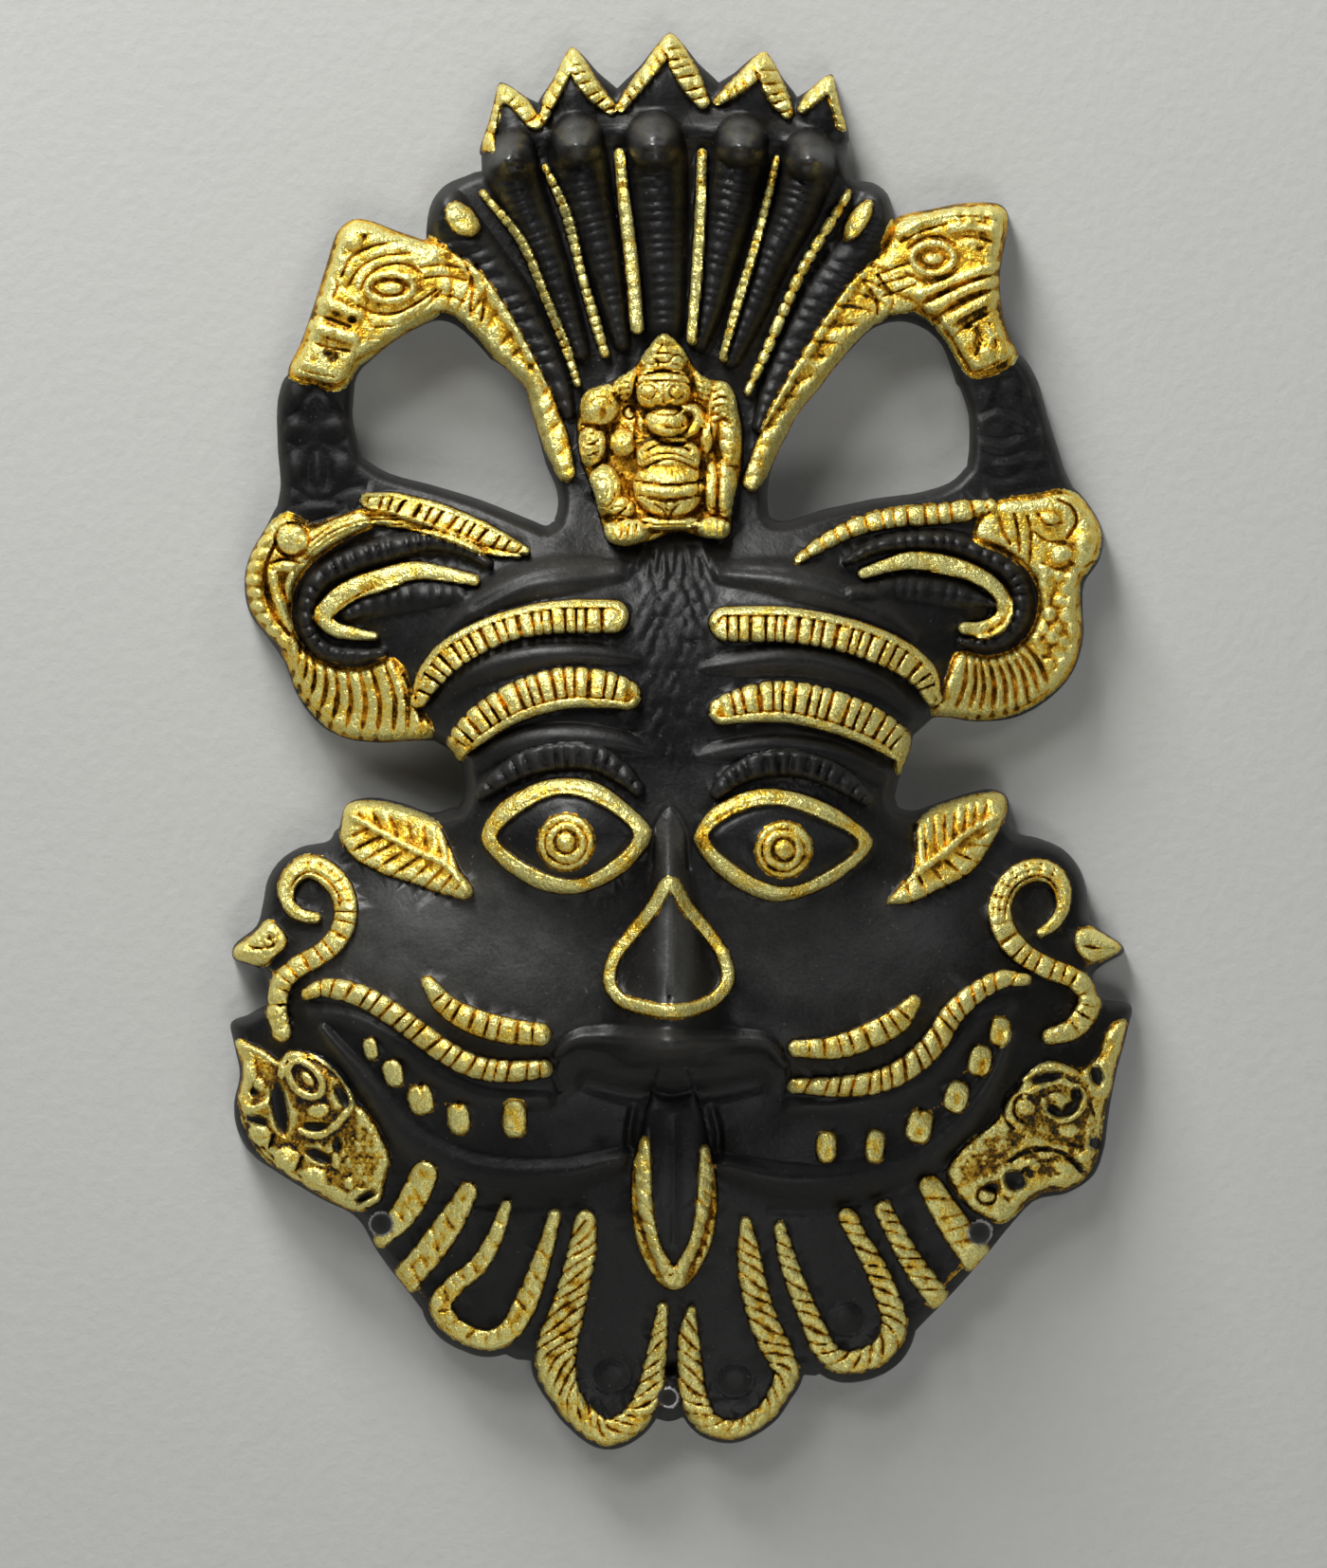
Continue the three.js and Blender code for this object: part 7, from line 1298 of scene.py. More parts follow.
 'mouth': [{'p': [(-7.48, -194.48), (-8.23, -199.34), (-8.23, -204.58)], 'w': 2.99, 'h': -1.0, 'k': 's'},
     {'p': [(8.23, -194.48), (9.35, -199.34), (9.35, -204.58)], 'w': 2.99, 'h': -1.0, 'k': 's'},
     {
         'p': [(-8.04, -246.84), (-8.76, -248.82), (-10.63, -250.04), (-12.94, -250.04), (-14.81, -248.82), (-15.52, -246.84), (-14.81, -244.86), (-12.94, -243.64),
             (-10.63, -243.64), (-8.76, -244.86)],
         'w': 1.31,
         'h': -0.35,
         'k': 's',
         'closed': 1},
     {
         'p': [(16.27, -247.78), (15.55, -249.75), (13.68, -250.98), (11.37, -250.98), (9.5, -249.75), (8.79, -247.78), (9.5, -245.8), (11.37, -244.57),
             (13.68, -244.57), (15.55, -245.8)],
         'w': 1.31,
         'h': -0.35,
         'k': 's',
         'closed': 1},
     {
         'p': [(38.34, -235.62), (37.62, -237.6), (35.75, -238.82), (33.44, -238.82), (31.57, -237.6), (30.86, -235.62), (31.57, -233.64), (33.44, -232.42),
             (35.75, -232.42), (37.62, -233.64)],
         'w': 1.31,
         'h': -0.35,
         'k': 's',
         'closed': 1},
     {'p': [(-3.74, -146.79), (-3.18, -138.75), (-0.19, -134.64), (2.81, -138.75), (3.55, -146.79)], 'w': 1.68, 'h': -0.7, 'k': 's'},
     {'p': [(-43.01, -109.58), (-35.16, -104.72), (-25.81, -102.48), (-12.72, -102.48)], 'w': 2.06, 'h': -0.45, 'k': 's'},
     {'p': [(-38.9, -123.05), (-30.48, -119.31), (-20.2, -118.18), (-7.48, -120.05)], 'w': 2.06, 'h': -0.45, 'k': 's'},
     {'p': [(9.72, -103.97), (22.81, -102.85), (34.41, -104.72), (44.88, -110.7)], 'w': 2.06, 'h': -0.45, 'k': 's'},
     {'p': [(7.85, -121.92), (20.94, -120.43), (32.16, -121.92), (41.14, -126.41)], 'w': 2.06, 'h': -0.45, 'k': 's'},
     {'p': [(-38.9, -95.37), (-27.68, -89.76), (-12.72, -87.89)], 'w': 2.06, 'h': -0.45, 'k': 's'},
     {'p': [(11.97, -87.89), (24.68, -89.01), (39.64, -94.25)], 'w': 2.06, 'h': -0.45, 'k': 's'},
     {'p': [(-16.46, -188.87), (-8.98, -191.11), (-0.56, -191.49), (8.23, -191.11), (17.2, -188.87)], 'w': 6.36, 'h': -1.2, 'k': 's'},
     {'p': [(-3.37, -190.74), (0, -191.86), (4.11, -190.74)], 'w': 2.62, 'h': -0.8, 'k': 's'},
     {'p': [(0.56, -196.35), (0.56, -207.57), (0.56, -220.66)], 'w': 1.87, 'h': -0.35, 'k': 's'},
     {'p': [(-44.51, -211.68), (-37.03, -213.18), (-27.68, -213.55), (-18.33, -212.81)], 'w': 3.37, 'h': -0.5, 'k': 's'},
     {'p': [(20.01, -214.3), (28.42, -214.3), (37.77, -212.81), (45.25, -209.81)], 'w': 3.37, 'h': -0.5, 'k': 's'},
     {'p': [(-22.07, -183.63), (-23.19, -187), (-22.07, -190.74)], 'w': 1.87, 'h': -0.7, 'k': 's'},
     {'p': [(22.25, -184.38), (23.19, -187.75), (22.07, -190.74)], 'w': 1.87, 'h': -0.7, 'k': 's'}],
 'nubs': [{'p': [(-83.4, -162.32), (-80.78, -162.69), (-77.79, -161.94)], 'w': 0.84, 'h': -0.6, 'k': 's'},
     {'p': [(-81.91, -160.07), (-79.29, -160.82), (-77.42, -160.07)], 'w': 0.75, 'h': -0.5, 'k': 's'},
     {'p': [(81.53, -162.32), (84.52, -162.69), (87.14, -162.69)], 'w': 0.84, 'h': -0.6, 'k': 's'}],
 'commas': [{
         'p': [(-44.51, -89.57), (-51.99, -90.32), (-59.47, -92), (-65.45, -95.37), (-66.95, -98.17), (-63.21, -99.86), (-59.84, -99.86)],
         'w': 0.67,
         'h': -0.5,
         'k': 's'},
     {
         'p': [(41.51, -88.64), (47.12, -88.26), (53.11, -88.26), (58.72, -90.32), (62.83, -94.62), (62.08, -97.61), (59.09, -98.36)],
         'w': 0.67,
         'h': -0.5,
         'k': 's'}]}

# small bosses and dents: x, z, half width, half height, height, lean
BLOBS = {
 'figure': [(-13.46, -57.6, 0.84, 1.87, -1.2, 0), (-4.49, -52.92, 0.75, 0.67, 0.8, 0), (1.12, -52.92, 0.75, 0.67, 0.8, 0), (-16.64, -61.71, 1.31, 0.75, 0.7, 0),
     (-16.46, -63.58, 1.31, 0.75, 0.7, 0), (-16.27, -65.45, 1.31, 0.75, 0.7, 0), (-9.91, -63.58, 1.12, 1.31, 0.7, 0),
     (10.47, -54.98, 1.31, 0.75, 0.6, -20), (10.85, -57.22, 1.31, 0.75, 0.6, -20), (-7.48, -56.47, 0.75, 0.75, -0.7, 0),
     (-0.19, -75.36, 0.56, 0.56, 0.4, 0), (-5.98, -59.09, 0.56, 1.68, 0.5, 5), (-1.5, -42.45, 0.94, 0.94, 0.8, 0), (10.66, -53.11, 0.75, 0.75, 0.4, 0)],
 'beast_l': [(-55.35, -32.54, 2.43, 1.31, 0.9, 0), (-62.83, -38.52, 1.12, 0.94, -1.3, 0), (-66.76, -46, 1.31, 1.31, -1.0, 0), (-62.83, -23.56, 1.87, 1.5, 1.0, 0),
     (-60.4, -22.44, 0.75, 0.75, -0.6, 0), (-64.52, -25.81, 0.75, 0.75, -0.7, 0), (-66.57, -41.51, 0.75, 0.75, -0.6, 0),
     (-51.61, -30.29, 1.12, 0.94, 0.5, 0), (-44.51, -24.68, 1.5, 1.12, 0.7, 0)],
 'beast_r': [(51.8, -26.74, 1.87, 1.12, 1.1, 0), (59.28, -18.51, 2.06, 1.5, 1.0, 0), (63.77, -21.32, 1.68, 1.87, 1.0, 0), (60.96, -24.68, 0.94, 0.75, -0.8, 0),
     (62.08, -45.25, 1.87, 1.31, 0.8, 20), (47.5, -21.69, 1.68, 1.31, 0.7, 0)],
 'strut_l': [(-73.3, -54.42, 1.87, 2.62, 0.9, 35), (-67.13, -54.23, 1.87, 2.62, 0.9, -35), (-73.68, -60.03, 2.62, 1.31, 0.9, -12),
     (-66.57, -59.84, 2.62, 1.31, 0.9, 12), (-74.05, -68.07, 2.06, 2.43, 1.1, 10), (-64.89, -68.07, 2.24, 2.62, 1.1, -10),
     (-69.75, -68.07, 1.12, 2.99, 0.8, 0), (-69.56, -75.92, 3.37, 1.31, 0.5, 0)],
 'strut_r': [(66.95, -52.73, 2.24, 1.87, 0.9, 20), (62.46, -54.23, 1.31, 2.06, 0.8, 0), (71.43, -54.23, 1.5, 1.68, 0.8, 0), (65.26, -59.65, 2.24, 1.12, 0.9, 0),
     (72.93, -62.08, 1.5, 2.62, 0.9, -15), (65.82, -67.32, 2.62, 1.31, 0.9, 10), (71.81, -66.95, 1.68, 1.68, 0.8, 0),
     (66.95, -71.06, 2.99, 1.31, 0.6, 10)],
 'ear_l': [(-74.8, -82.09, 2.99, 2.99, 1.9, 0), (-77.04, -79.1, 1.5, 1.12, 1.0, 30), (-76.11, -87.33, 2.62, 1.12, 1.0, 8),
     (-79.66, -79.66, 1.68, 1.03, 1.9, 45), (-80.6, -82.28, 1.68, 1.03, 1.9, 30), (-81.72, -84.9, 1.68, 1.03, 1.9, 15),
     (-82.28, -87.33, 1.68, 1.03, 1.9, 5), (-82.47, -89.95, 1.68, 1.03, 1.9, 0), (-82.09, -92.56, 1.68, 1.03, 1.9, -5),
     (-81.53, -95.18, 1.68, 1.03, 1.9, -15), (-80.22, -97.61, 1.68, 1.03, 1.9, -25), (-78.54, -100.05, 1.68, 1.03, 1.9, -35),
     (-76.48, -102.29, 1.68, 1.03, 1.9, -45)],
 'ear_r': [(81.72, -82.84, 2.24, 2.43, 1.3, 0), (77.04, -84.9, 2.24, 1.68, 1.0, 20), (74.61, -78.17, 2.06, 1.5, 1.0, -15), (74.05, -88.26, 1.87, 1.68, 0.8, 0),
     (79.1, -89.76, 1.68, 1.68, 0.8, 0)],
 'jowl_l': [(-71.62, -188.5, 1.87, 0.94, 1.1, -50), (-83.03, -187, 1.31, 2.24, 1.3, 10), (-81.34, -189.62, 1.31, 1.31, 0.8, 0),
     (-81.16, -199.53, 2.43, 2.06, 1.7, -30), (-75.73, -204.2, 2.62, 2.43, 1.8, -35), (-70.31, -208.13, 2.62, 2.24, 1.7, -35),
     (-69.56, -194.67, 2.24, 1.5, 1.0, 0), (-66.2, -204.58, 0.75, 1.68, 1.1, 0), (-63.58, -209.07, 0.94, 1.12, 1.0, 0),
     (-59.28, -212.81, 2.24, 0.75, 0.9, 20)],
 'jowl_r': [(76.11, -192.05, 1.68, 0.94, 1.2, -10), (70.12, -194.11, 1.68, 1.68, 1.1, 0), (81.53, -203.64, 1.68, 0.94, 1.1, 25),
     (78.54, -198.59, 2.24, 1.5, 0.7, 0), (71.43, -205.33, 1.68, 1.12, 0.9, 0), (77.04, -206.45, 2.43, 2.24, 0.9, 0),
     (86.77, -190.74, 1.12, 2.99, 0.8, 0), (85.65, -197.47, 1.31, 2.06, 0.9, 0), (62.27, -211.5, 0.94, 0.94, 0.8, 0)],
 'teeth': [(-49.37, -189.99, 0.65, 1.12, -0.9, 0), (-41.89, -193.73, 0.65, 1.12, -0.9, 0), (49.18, -195.04, 0.65, 1.12, -0.9, 0),
     (29.55, -201.4, 0.56, 1.5, -0.5, 0)],
 'beard': [(-11.78, -246.84, 2.62, 2.43, 0.5, 0), (12.53, -247.78, 2.62, 2.43, 0.5, 0), (34.59, -235.62, 2.43, 2.24, 0.5, 0)],
 'eyes': [(-4.11, -139.88, 1.12, 0.94, 0.8, 0), (5.24, -141, 1.12, 0.94, 0.8, 0)],
 'heads': [(-32.54, -4.11, 0.6, 0.56, -0.7, 0), (-29.92, -4.11, 0.6, 0.56, -0.7, 0), (-19.82, -1.31, 0.6, 0.56, -0.7, 0), (-17.2, -1.31, 0.6, 0.56, -0.7, 0),
     (-4.67, -1.31, 0.6, 0.56, -0.7, 0), (-2.06, -1.31, 0.6, 0.56, -0.7, 0), (12.53, -1.5, 0.6, 0.56, -0.7, 0), (15.15, -1.5, 0.6, 0.56, -0.7, 0),
     (25.81, -4.11, 0.6, 0.56, -0.7, 0), (28.42, -4.11, 0.6, 0.56, -0.7, 0), (-31.23, -7.29, 2.43, 0.94, 0.8, 0), (-18.51, -4.49, 2.62, 0.94, 0.8, 0),
     (-3.37, -4.49, 2.99, 0.94, 0.8, 0), (13.84, -4.67, 2.62, 0.94, 0.8, 0), (27.11, -7.29, 2.43, 0.94, 0.8, 0)]}

# dark hollows in gilt parts, same columns
GAPS = [(-77.23, -194.11, 5.8, 1.68, 1.3, -80), (-64.89, -192.05, 2.99, 1.12, 1.3, -60), (-70.12, -197.85, 2.81, 0.94, 1.2, -4),
 (-81.91, -196.54, 2.62, 1.03, 1.0, -15), (-69.56, -203.64, 2.99, 1.22, 1.3, -25), (-65.82, -201.4, 0.94, 1.68, 1.0, 0),
 (-60.4, -211.68, 2.81, 0.84, 0.9, 35), (-82.28, -191.11, 0.94, 0.84, 0.8, 0), (74.05, -188.31, 3.37, 1.22, 1.2, 10),
 (75.55, -194.85, 2.24, 1.12, 1.3, -25), (78.73, -194.29, 2.06, 1.22, 1.3, 40), (80.04, -191.68, 1.22, 1.59, 1.2, 0),
 (83.96, -187.94, 1.4, 2.34, 1.5, 15), (67.88, -208.5, 2.43, 2.06, 1.3, -30), (63.39, -209.81, 1.59, 1.12, 1.0, 0),
 (83.59, -201.21, 1.4, 1.4, 1.0, 0), (80.97, -206.26, 1.68, 0.65, 0.9, -45), (-67.88, -45.25, 0.75, 0.75, 0.8, 0),
 (58.72, -40.02, 0.75, 0.56, 0.6, 0)]

# hoods behind the cobra heads: x, z, radii, height
HOODS = [(-31.23, 0.37, 4.86, 7.48, 2.2), (-19.07, 5.61, 5.61, 8.6, 2.4), (-1.87, 7.11, 6.73, 9.35, 2.6), (15.33, 5.61, 5.98, 8.6, 2.4),
 (28.8, 2.24, 4.86, 6.73, 2.2)]

# grooves fanned between two curves: inner, outer, count, width, depth
FANS = {
 'ear_l': ([(-73.68, -99.86), (-70.69, -104.35), (-65.45, -107.71), (-59.47, -107.71), (-55.35, -106.59), (-51.99, -109.58)],
     [(-75.92, -106.96), (-72.93, -113.14), (-66.95, -119.31), (-58.53, -121.55), (-51.99, -121.18), (-47.87, -119.68)],
     11,
     1.4,
     1.1),
 'ear_r': ([(57.6, -104.72), (62.08, -105.28), (66.2, -104.16), (69.56, -101.73)],
     [(53.48, -116.31), (60.21, -117.25), (68.44, -115.19), (75.17, -109.58)],
     9,
     1.4,
     1.1)}

# pebbled areas: outline, pitch, height
GRAIN = {
 'jowl_l': ([(-63.58, -193.73), (-57.97, -198.59), (-55.73, -204.76), (-57.6, -209.44), (-62.08, -211.31), (-65.45, -208.32), (-66.57, -204.2), (-65.08, -199.72)],
     1.31,
     0.4),
 'jowl_r': ([(64.33, -197.47), (67.32, -198.22), (68.44, -203.08), (65.82, -207.57), (60.21, -209.81), (56.1, -207.57), (57.6, -202.71), (60.96, -199.72)],
     1.31,
     0.4),
 'end_l': ([(-78.54, -173.16), (-75.17, -173.16), (-74.43, -179.52), (-78.17, -180.27)], 1.31, 0.7),
 'end_r': ([(75.55, -174.28), (82.65, -173.54), (83.4, -179.52), (77.04, -182.14)], 1.31, 0.7),
 'flank_r': ([(72.18, -87.14), (80.04, -87.14), (81.16, -97.24), (79.66, -104.72), (75.92, -108.83), (70.69, -102.48), (72.56, -95.37)], 2.81, 0.9),
 'nub_l': ([(-83.4, -159.88), (-79.29, -158.2), (-76.67, -161.19), (-79.29, -164.19), (-83.4, -164.56), (-85.27, -162.69)], 1.5, 0.7)}

# where the gilding is brushed on thin
DRY = [(-72.56, -198.22, 15.89, 15.89, 0.75, 0), (-60.4, -205.7, 8.41, 9.35, 0.55, 0), (72.37, -198.22, 16.83, 15.89, 0.75, 0),
 (61.15, -206.63, 9.35, 9.35, 0.6, 0), (-38.9, -224.4, 20.57, 13.09, 0.3, 0), (-20.2, -243.1, 11.22, 13.09, 0.3, 0),
 (32.16, -231.88, 16.83, 13.09, 0.35, 0), (14.4, -244.97, 11.22, 11.22, 0.3, 0), (-80.97, -161.75, 5.61, 4.67, 0.45, 0),
 (84.52, -162.32, 4.86, 3.74, 0.4, 0), (-76.3, -176.72, 4.11, 5.61, 0.4, 0), (77.98, -177.65, 6.54, 4.67, 0.35, 0),
 (-59.28, -182.51, 2.99, 3.74, 0.8, 0), (-54.79, -187.37, 2.99, 4.11, 0.5, 0), (-8.98, -10.29, 2.62, 7.48, 0.8, 0), (-23, -12.15, 3.74, 7.48, 0.8, 0),
 (6.36, -10.29, 2.62, 8.41, 0.8, 0), (20.38, -10.29, 2.62, 6.54, 0.8, 0), (-16.46, -31.79, 2.62, 14.96, 0.3, 0), (5.05, -31.79, 2.24, 11.22, 0.45, 0),
 (15.33, -29.92, 3.74, 14.96, 0.3, 0), (-30.48, -24.31, 5.61, 11.22, 0.35, 0), (-20.2, -46.75, 3.37, 7.48, 0.4, 0),
 (-48.25, -112.2, 4.11, 4.86, 0.5, 0), (-41.51, -125.29, 4.49, 4.11, 0.5, 0), (45.63, -125.29, 4.49, 4.49, 0.5, 0),
 (51.24, -111.83, 3.74, 4.11, 0.4, 0), (-67.88, -45.81, 3.74, 5.61, 0.35, 0), (-35.16, -187, 11.22, 7.48, 0.0, 0),
 (-25.81, -226.27, 3.74, 11.22, 0.35, 0), (-38.9, -237.49, 9.35, 3.74, 0.35, 0), (-3.37, -244.97, 4.11, 13.09, 0.4, 0),
 (5.05, -244.97, 3.37, 13.09, 0.4, 0), (20.94, -224.4, 4.11, 11.22, 0.3, 0), (0.56, -218.79, 7.48, 11.22, 0.25, 0),
 (-27.68, -140.25, 5.61, 11.22, 0.25, 0), (65.82, -155.21, 5.61, 11.22, 0.25, 0), (45.25, -140.25, 5.61, 7.48, 0.3, 0),
 (67.69, -207.57, 11.22, 9.35, 0.6, 0), (-66.95, -188.87, 7.48, 9.35, 0.4, 0)]

# where the gilding is browner and darker; under the cobra heads and along the upper lids it is painted shade
DULL = [(-36.28, -140.62, 2.99, 8.23, 0.8, 0), (-30.48, -133.14, 7.48, 2.81, 0.55, 0), (-12.72, -149.6, 6.73, 2.24, 0.5, 0),
 (10.47, -134.64, 6.36, 3.37, 0.8, 0), (20.01, -131.65, 7.48, 2.24, 0.5, 0), (5.24, -141.75, 2.62, 4.86, 0.7, 0),
 (36.84, -138.75, 4.49, 5.61, 0.35, 0), (-6.73, -144.93, 4.11, 2.99, 0.6, 0), (26.55, -152.59, 7.48, 2.24, 0.4, 0),
 (-42.64, -231.88, 14.96, 9.35, 0.35, 0), (-12.72, -252.45, 13.09, 9.35, 0.3, 0), (9.72, -252.45, 11.22, 9.35, 0.3, 0),
 (75.17, -198.22, 14.96, 16.83, 0.35, 0), (-47.31, -114.07, 7.48, 11.22, 0.5, 0), (-40.77, -124.36, 5.61, 4.86, 0.5, 0),
 (62.08, -41.14, 5.61, 7.48, 0.6, 0), (-1.5, -61.71, 11.22, 11.22, 0.25, 0), (-14.59, -56.1, 7.48, 9.35, 0.3, 0),
 (-72.56, -110.33, 7.48, 11.22, 0.25, 0), (-31.42, -121.55, 11.22, 5.61, 0.3, 0), (30.29, -31.79, 11.22, 14.96, 0.35, -40),
 (-42.64, -179.52, 11.22, 5.61, 0.2, 0), (26.55, -43.01, 7.48, 14.96, 0.35, -30), (15.33, -65.45, 3.74, 11.22, 0.4, 0),
 (-21.13, -63.58, 3.74, 11.22, 0.3, 0), (-68.82, -77.61, 7.48, 3.74, 0.5, 0), (-9.35, -10.29, 2.24, 5.61, 0.8, 0), (-23, -11.22, 3.37, 6.73, 0.8, 0),
 (6.36, -9.35, 2.24, 5.61, 0.8, 0), (20.57, -8.98, 2.24, 5.61, 0.8, 0), (-10.85, -162.69, 3.74, 11.22, 0.25, 0),
 (9.72, -164.56, 3.74, 11.22, 0.25, 0), (41.51, -220.66, 11.22, 11.22, 0.3, 0), (22.25, -143.24, 6.36, 6.36, 0.35, 0),
 (-20.76, -141.75, 6.36, 6.36, 0.35, 0), (30.67, -201.96, 3.74, 4.49, 0.3, 0), (40.2, -201.77, 3.74, 4.49, 0.3, 0),
 (30.29, -20.57, 4.49, 7.48, 0.4, 0)]

# painted sheen: where the black is painted lighter grey and made glossier; negative entries make it less glossy
HANDLED = [(-69.75, -66.39, 9.35, 18.7, -1.2, 0), (69.56, -63.58, 9.35, 18.7, -0.6, 0), (-1.5, -104.72, 10.85, 25.25, -1.1, 0),
 (-1.5, -31.79, 30.86, 15.89, -0.7, 0), (-20.2, -204.76, 22.44, 11.22, -0.9, 0), (26.55, -204.76, 22.44, 11.22, -0.7, 0),
 (-31.23, -5.61, 3.74, 3.37, 0.9, 0), (-18.51, -2.81, 4.11, 3.74, 0.9, 0), (-3.37, -2.62, 4.49, 4.11, 0.9, 0), (13.84, -2.81, 4.11, 3.74, 0.9, 0),
 (27.11, -5.61, 3.74, 3.37, 0.8, 0), (-44.51, -161.75, 28.05, 15.89, 1.05, 12), (-27.68, -170.17, 16.83, 11.22, 0.6, 0),
 (34.03, -162.69, 24.31, 14.96, 0.55, -10), (0.75, -162.69, 3.74, 14.96, 1.4, 0), (-0.56, -140.25, 4.11, 9.35, 0.6, 0),
 (-12.72, -91.63, 16.83, 5.61, 0.45, 0), (17.2, -92.56, 14.96, 4.86, 0.4, 0), (0.75, -183.63, 11.22, 2.99, 0.7, 0),
 (-27.68, -106.59, 14.96, 2.62, 0.4, 0), (-20.2, -123.42, 13.09, 2.24, 0.4, 0)]

# feathered strip down the forehead
COLUMN = {'top': -83.22, 'drop': -90.13, 'end': -125.29, 'half_top': 8.23, 'half_end': 4.49, 'mid': 0.37}

WALL, RIM, HOLLOW_RUN, HOLLOW_TOP, HOLLOW_RISE = 4.0, 3.2, 4.5, -16, 24
EDGE_R, EDGE_SQUARE = 2.6, 0.52
DRAFT_LENGTH, DRAFT_AXIS = 1000.0, (-1.5, -130.3)
NOSE = dict(x=-0.4, top=-133.7, root=-136.5, tip=-182.3, halfTop=1.9, halfGrow=11.6, h0=1.5, h1=10.5, end=-186.6)
COBRA_HEAD_H, EYE_BULGE, EYE_BULGE_RUN, LID_H, IRIS_H = 6.0, 4.5, 11, 1.3, 1.6
HEART_W, HEART_H, TOOTH_H = 2.6, 1.0, 1.6
DEITY_H, DEITY_EDGE = 3.0, 2.2

# ------------------------------------------------------------------ curves and grid
class Grid:
    def __init__(s, x0, x1, z0, z1, c):
        s.c, s.x0, s.z0 = c, x0, z0
        s.nx = int(math.ceil((x1 - x0) / c)) + 1
        s.nz = int(math.ceil((z1 - z0) / c)) + 1
        s.xs = x0 + c * np.arange(s.nx)
        s.zs = z0 + c * np.arange(s.nz)
        s.X, s.Z = np.meshgrid(s.xs, s.zs)


def spline(pts, closed=False, step=0.7):
    """centripetal curve through the points"""
    P = [np.array(p, float) for p in pts]
    n = len(P)
    out = []
    for i in range(n if closed else n - 1):
        p1, p2 = P[i], P[(i + 1) % n]
        p0 = P[(i - 1) % n] if (closed or i > 0) else 2 * p1 - p2
        p3 = P[(i + 2) % n] if (closed or i + 2 < n) else 2 * p2 - p1
        L = np.linalg.norm(p2 - p1)
        k = max(1, int(math.ceil(L / step)))
        a1 = max(np.linalg.norm(p1 - p0), 1e-6) ** .5
        a2 = max(L, 1e-6) ** .5
        a3 = max(np.linalg.norm(p3 - p2), 1e-6) ** .5
        m1 = a2 * ((p2 - p1) / a2 - (p2 - p0) / (a1 + a2) + (p1 - p0) / a1)
        m2 = a2 * ((p3 - p2) / a3 - (p3 - p1) / (a2 + a3) + (p2 - p1) / a2)
        for j in range(k):
            t = j / k
            t2, t3 = t * t, t * t * t
            out.append((2 * t3 - 3 * t2 + 1) * p1 + (t3 - 2 * t2 + t) * m1 + (3 * t2 - 2 * t3) * p2 + (t3 - t2) * m2)
    if not closed:
        out.append(P[-1])
    return np.array(out)


def near(g, pl, R, closed=False):
    """block slices, distance, arc position, side and length of a polyline on the cells round it"""
    if closed:
        pl = np.vstack([pl, pl[:1]])
    lo, hi = pl.min(0) - R, pl.max(0) + R
    i0 = max(0, int((lo[0] - g.x0) / g.c)); i1 = min(g.nx, int((hi[0] - g.x0) / g.c) + 2)
    k0 = max(0, int((lo[1] - g.z0) / g.c)); k1 = min(g.nz, int((hi[1] - g.z0) / g.c) + 2)
    D = np.full((max(k1 - k0, 0), max(i1 - i0, 0)), float(R))
    A, Q = np.zeros_like(D), np.ones_like(D)
    X, Z = g.xs[i0:i1], g.zs[k0:k1]
    s = 0.0
    for a, b in zip(pl[:-1], pl[1:]):
        d = b - a
        L = math.hypot(d[0], d[1])
        if L < 1e-9:
            continue
        ia = max(0, int((min(a[0], b[0]) - R - X[0]) / g.c)); ib = min(len(X), int((max(a[0], b[0]) + R - X[0]) / g.c) + 2)
        ka = max(0, int((min(a[1], b[1]) - R - Z[0]) / g.c)); kb = min(len(Z), int((max(a[1], b[1]) + R - Z[0]) / g.c) + 2)
        if ia < ib and ka < kb:
            px = X[ia:ib][None, :] - a[0]
            pz = Z[ka:kb][:, None] - a[1]
            t = np.clip((px * d[0] + pz * d[1]) / (L * L), 0, 1)
            dd = np.hypot(px - t * d[0], pz - t * d[1])
            blk = D[ka:kb, ia:ib]
            m = dd < blk
            blk[m] = dd[m]
            A[ka:kb, ia:ib][m] = (s + t * L)[m]
            Q[ka:kb, ia:ib][m] = np.where(px * d[1] - pz * d[0] >= 0, 1.0, -1.0)[m]
        s += L
    return (slice(k0, k1), slice(i0, i1)), D, A, Q, s


def inside(g, sl, pl):
    X, Z = g.xs[sl[1]], g.zs[sl[0]]
    M = np.zeros((len(Z), len(X)), bool)
    a, b = pl, np.roll(pl, -1, 0)
    for r, z in enumerate(Z):
        c = (a[:, 1] <= z) != (b[:, 1] <= z)
        if c.any():
            xc = np.sort(a[c, 0] + (z - a[c, 1]) / (b[c, 1] - a[c, 1]) * (b[c, 0] - a[c, 0]))
            M[r] = (np.searchsorted(xc, X) % 2) == 1
    return M


def region(g, pl, R):
    """signed distance to a closed curve, positive inside, limited to R"""
    sl, D, A, Q, L = near(g, pl, R, closed=True)
    return sl, np.where(inside(g, sl, pl), D, -D)


def sm(t):
    t = np.clip(t, 0, 1)
    return t * t * (3 - 2 * t)


def dome(d, run):
    return np.where(d > 0, np.sqrt(np.clip(1 - (1 - np.clip(d / run, 0, 1)) ** 2, 0, 1)), 0.0)


def section(q, k):
    q = np.clip(q, 0, 1)
    if k == 'r': return np.sqrt(1 - q * q)
    if k == 's': return (1 - q * q) ** 2
    if k == 'k': return 1 - q
    if k == 'c': return 1 - q * q
    return np.sqrt(np.clip(1 - q ** 4, 0, 1))


def along(v, t):
    return v if not isinstance(v, (list, tuple)) else np.interp(t, np.linspace(0, 1, len(v)), v)


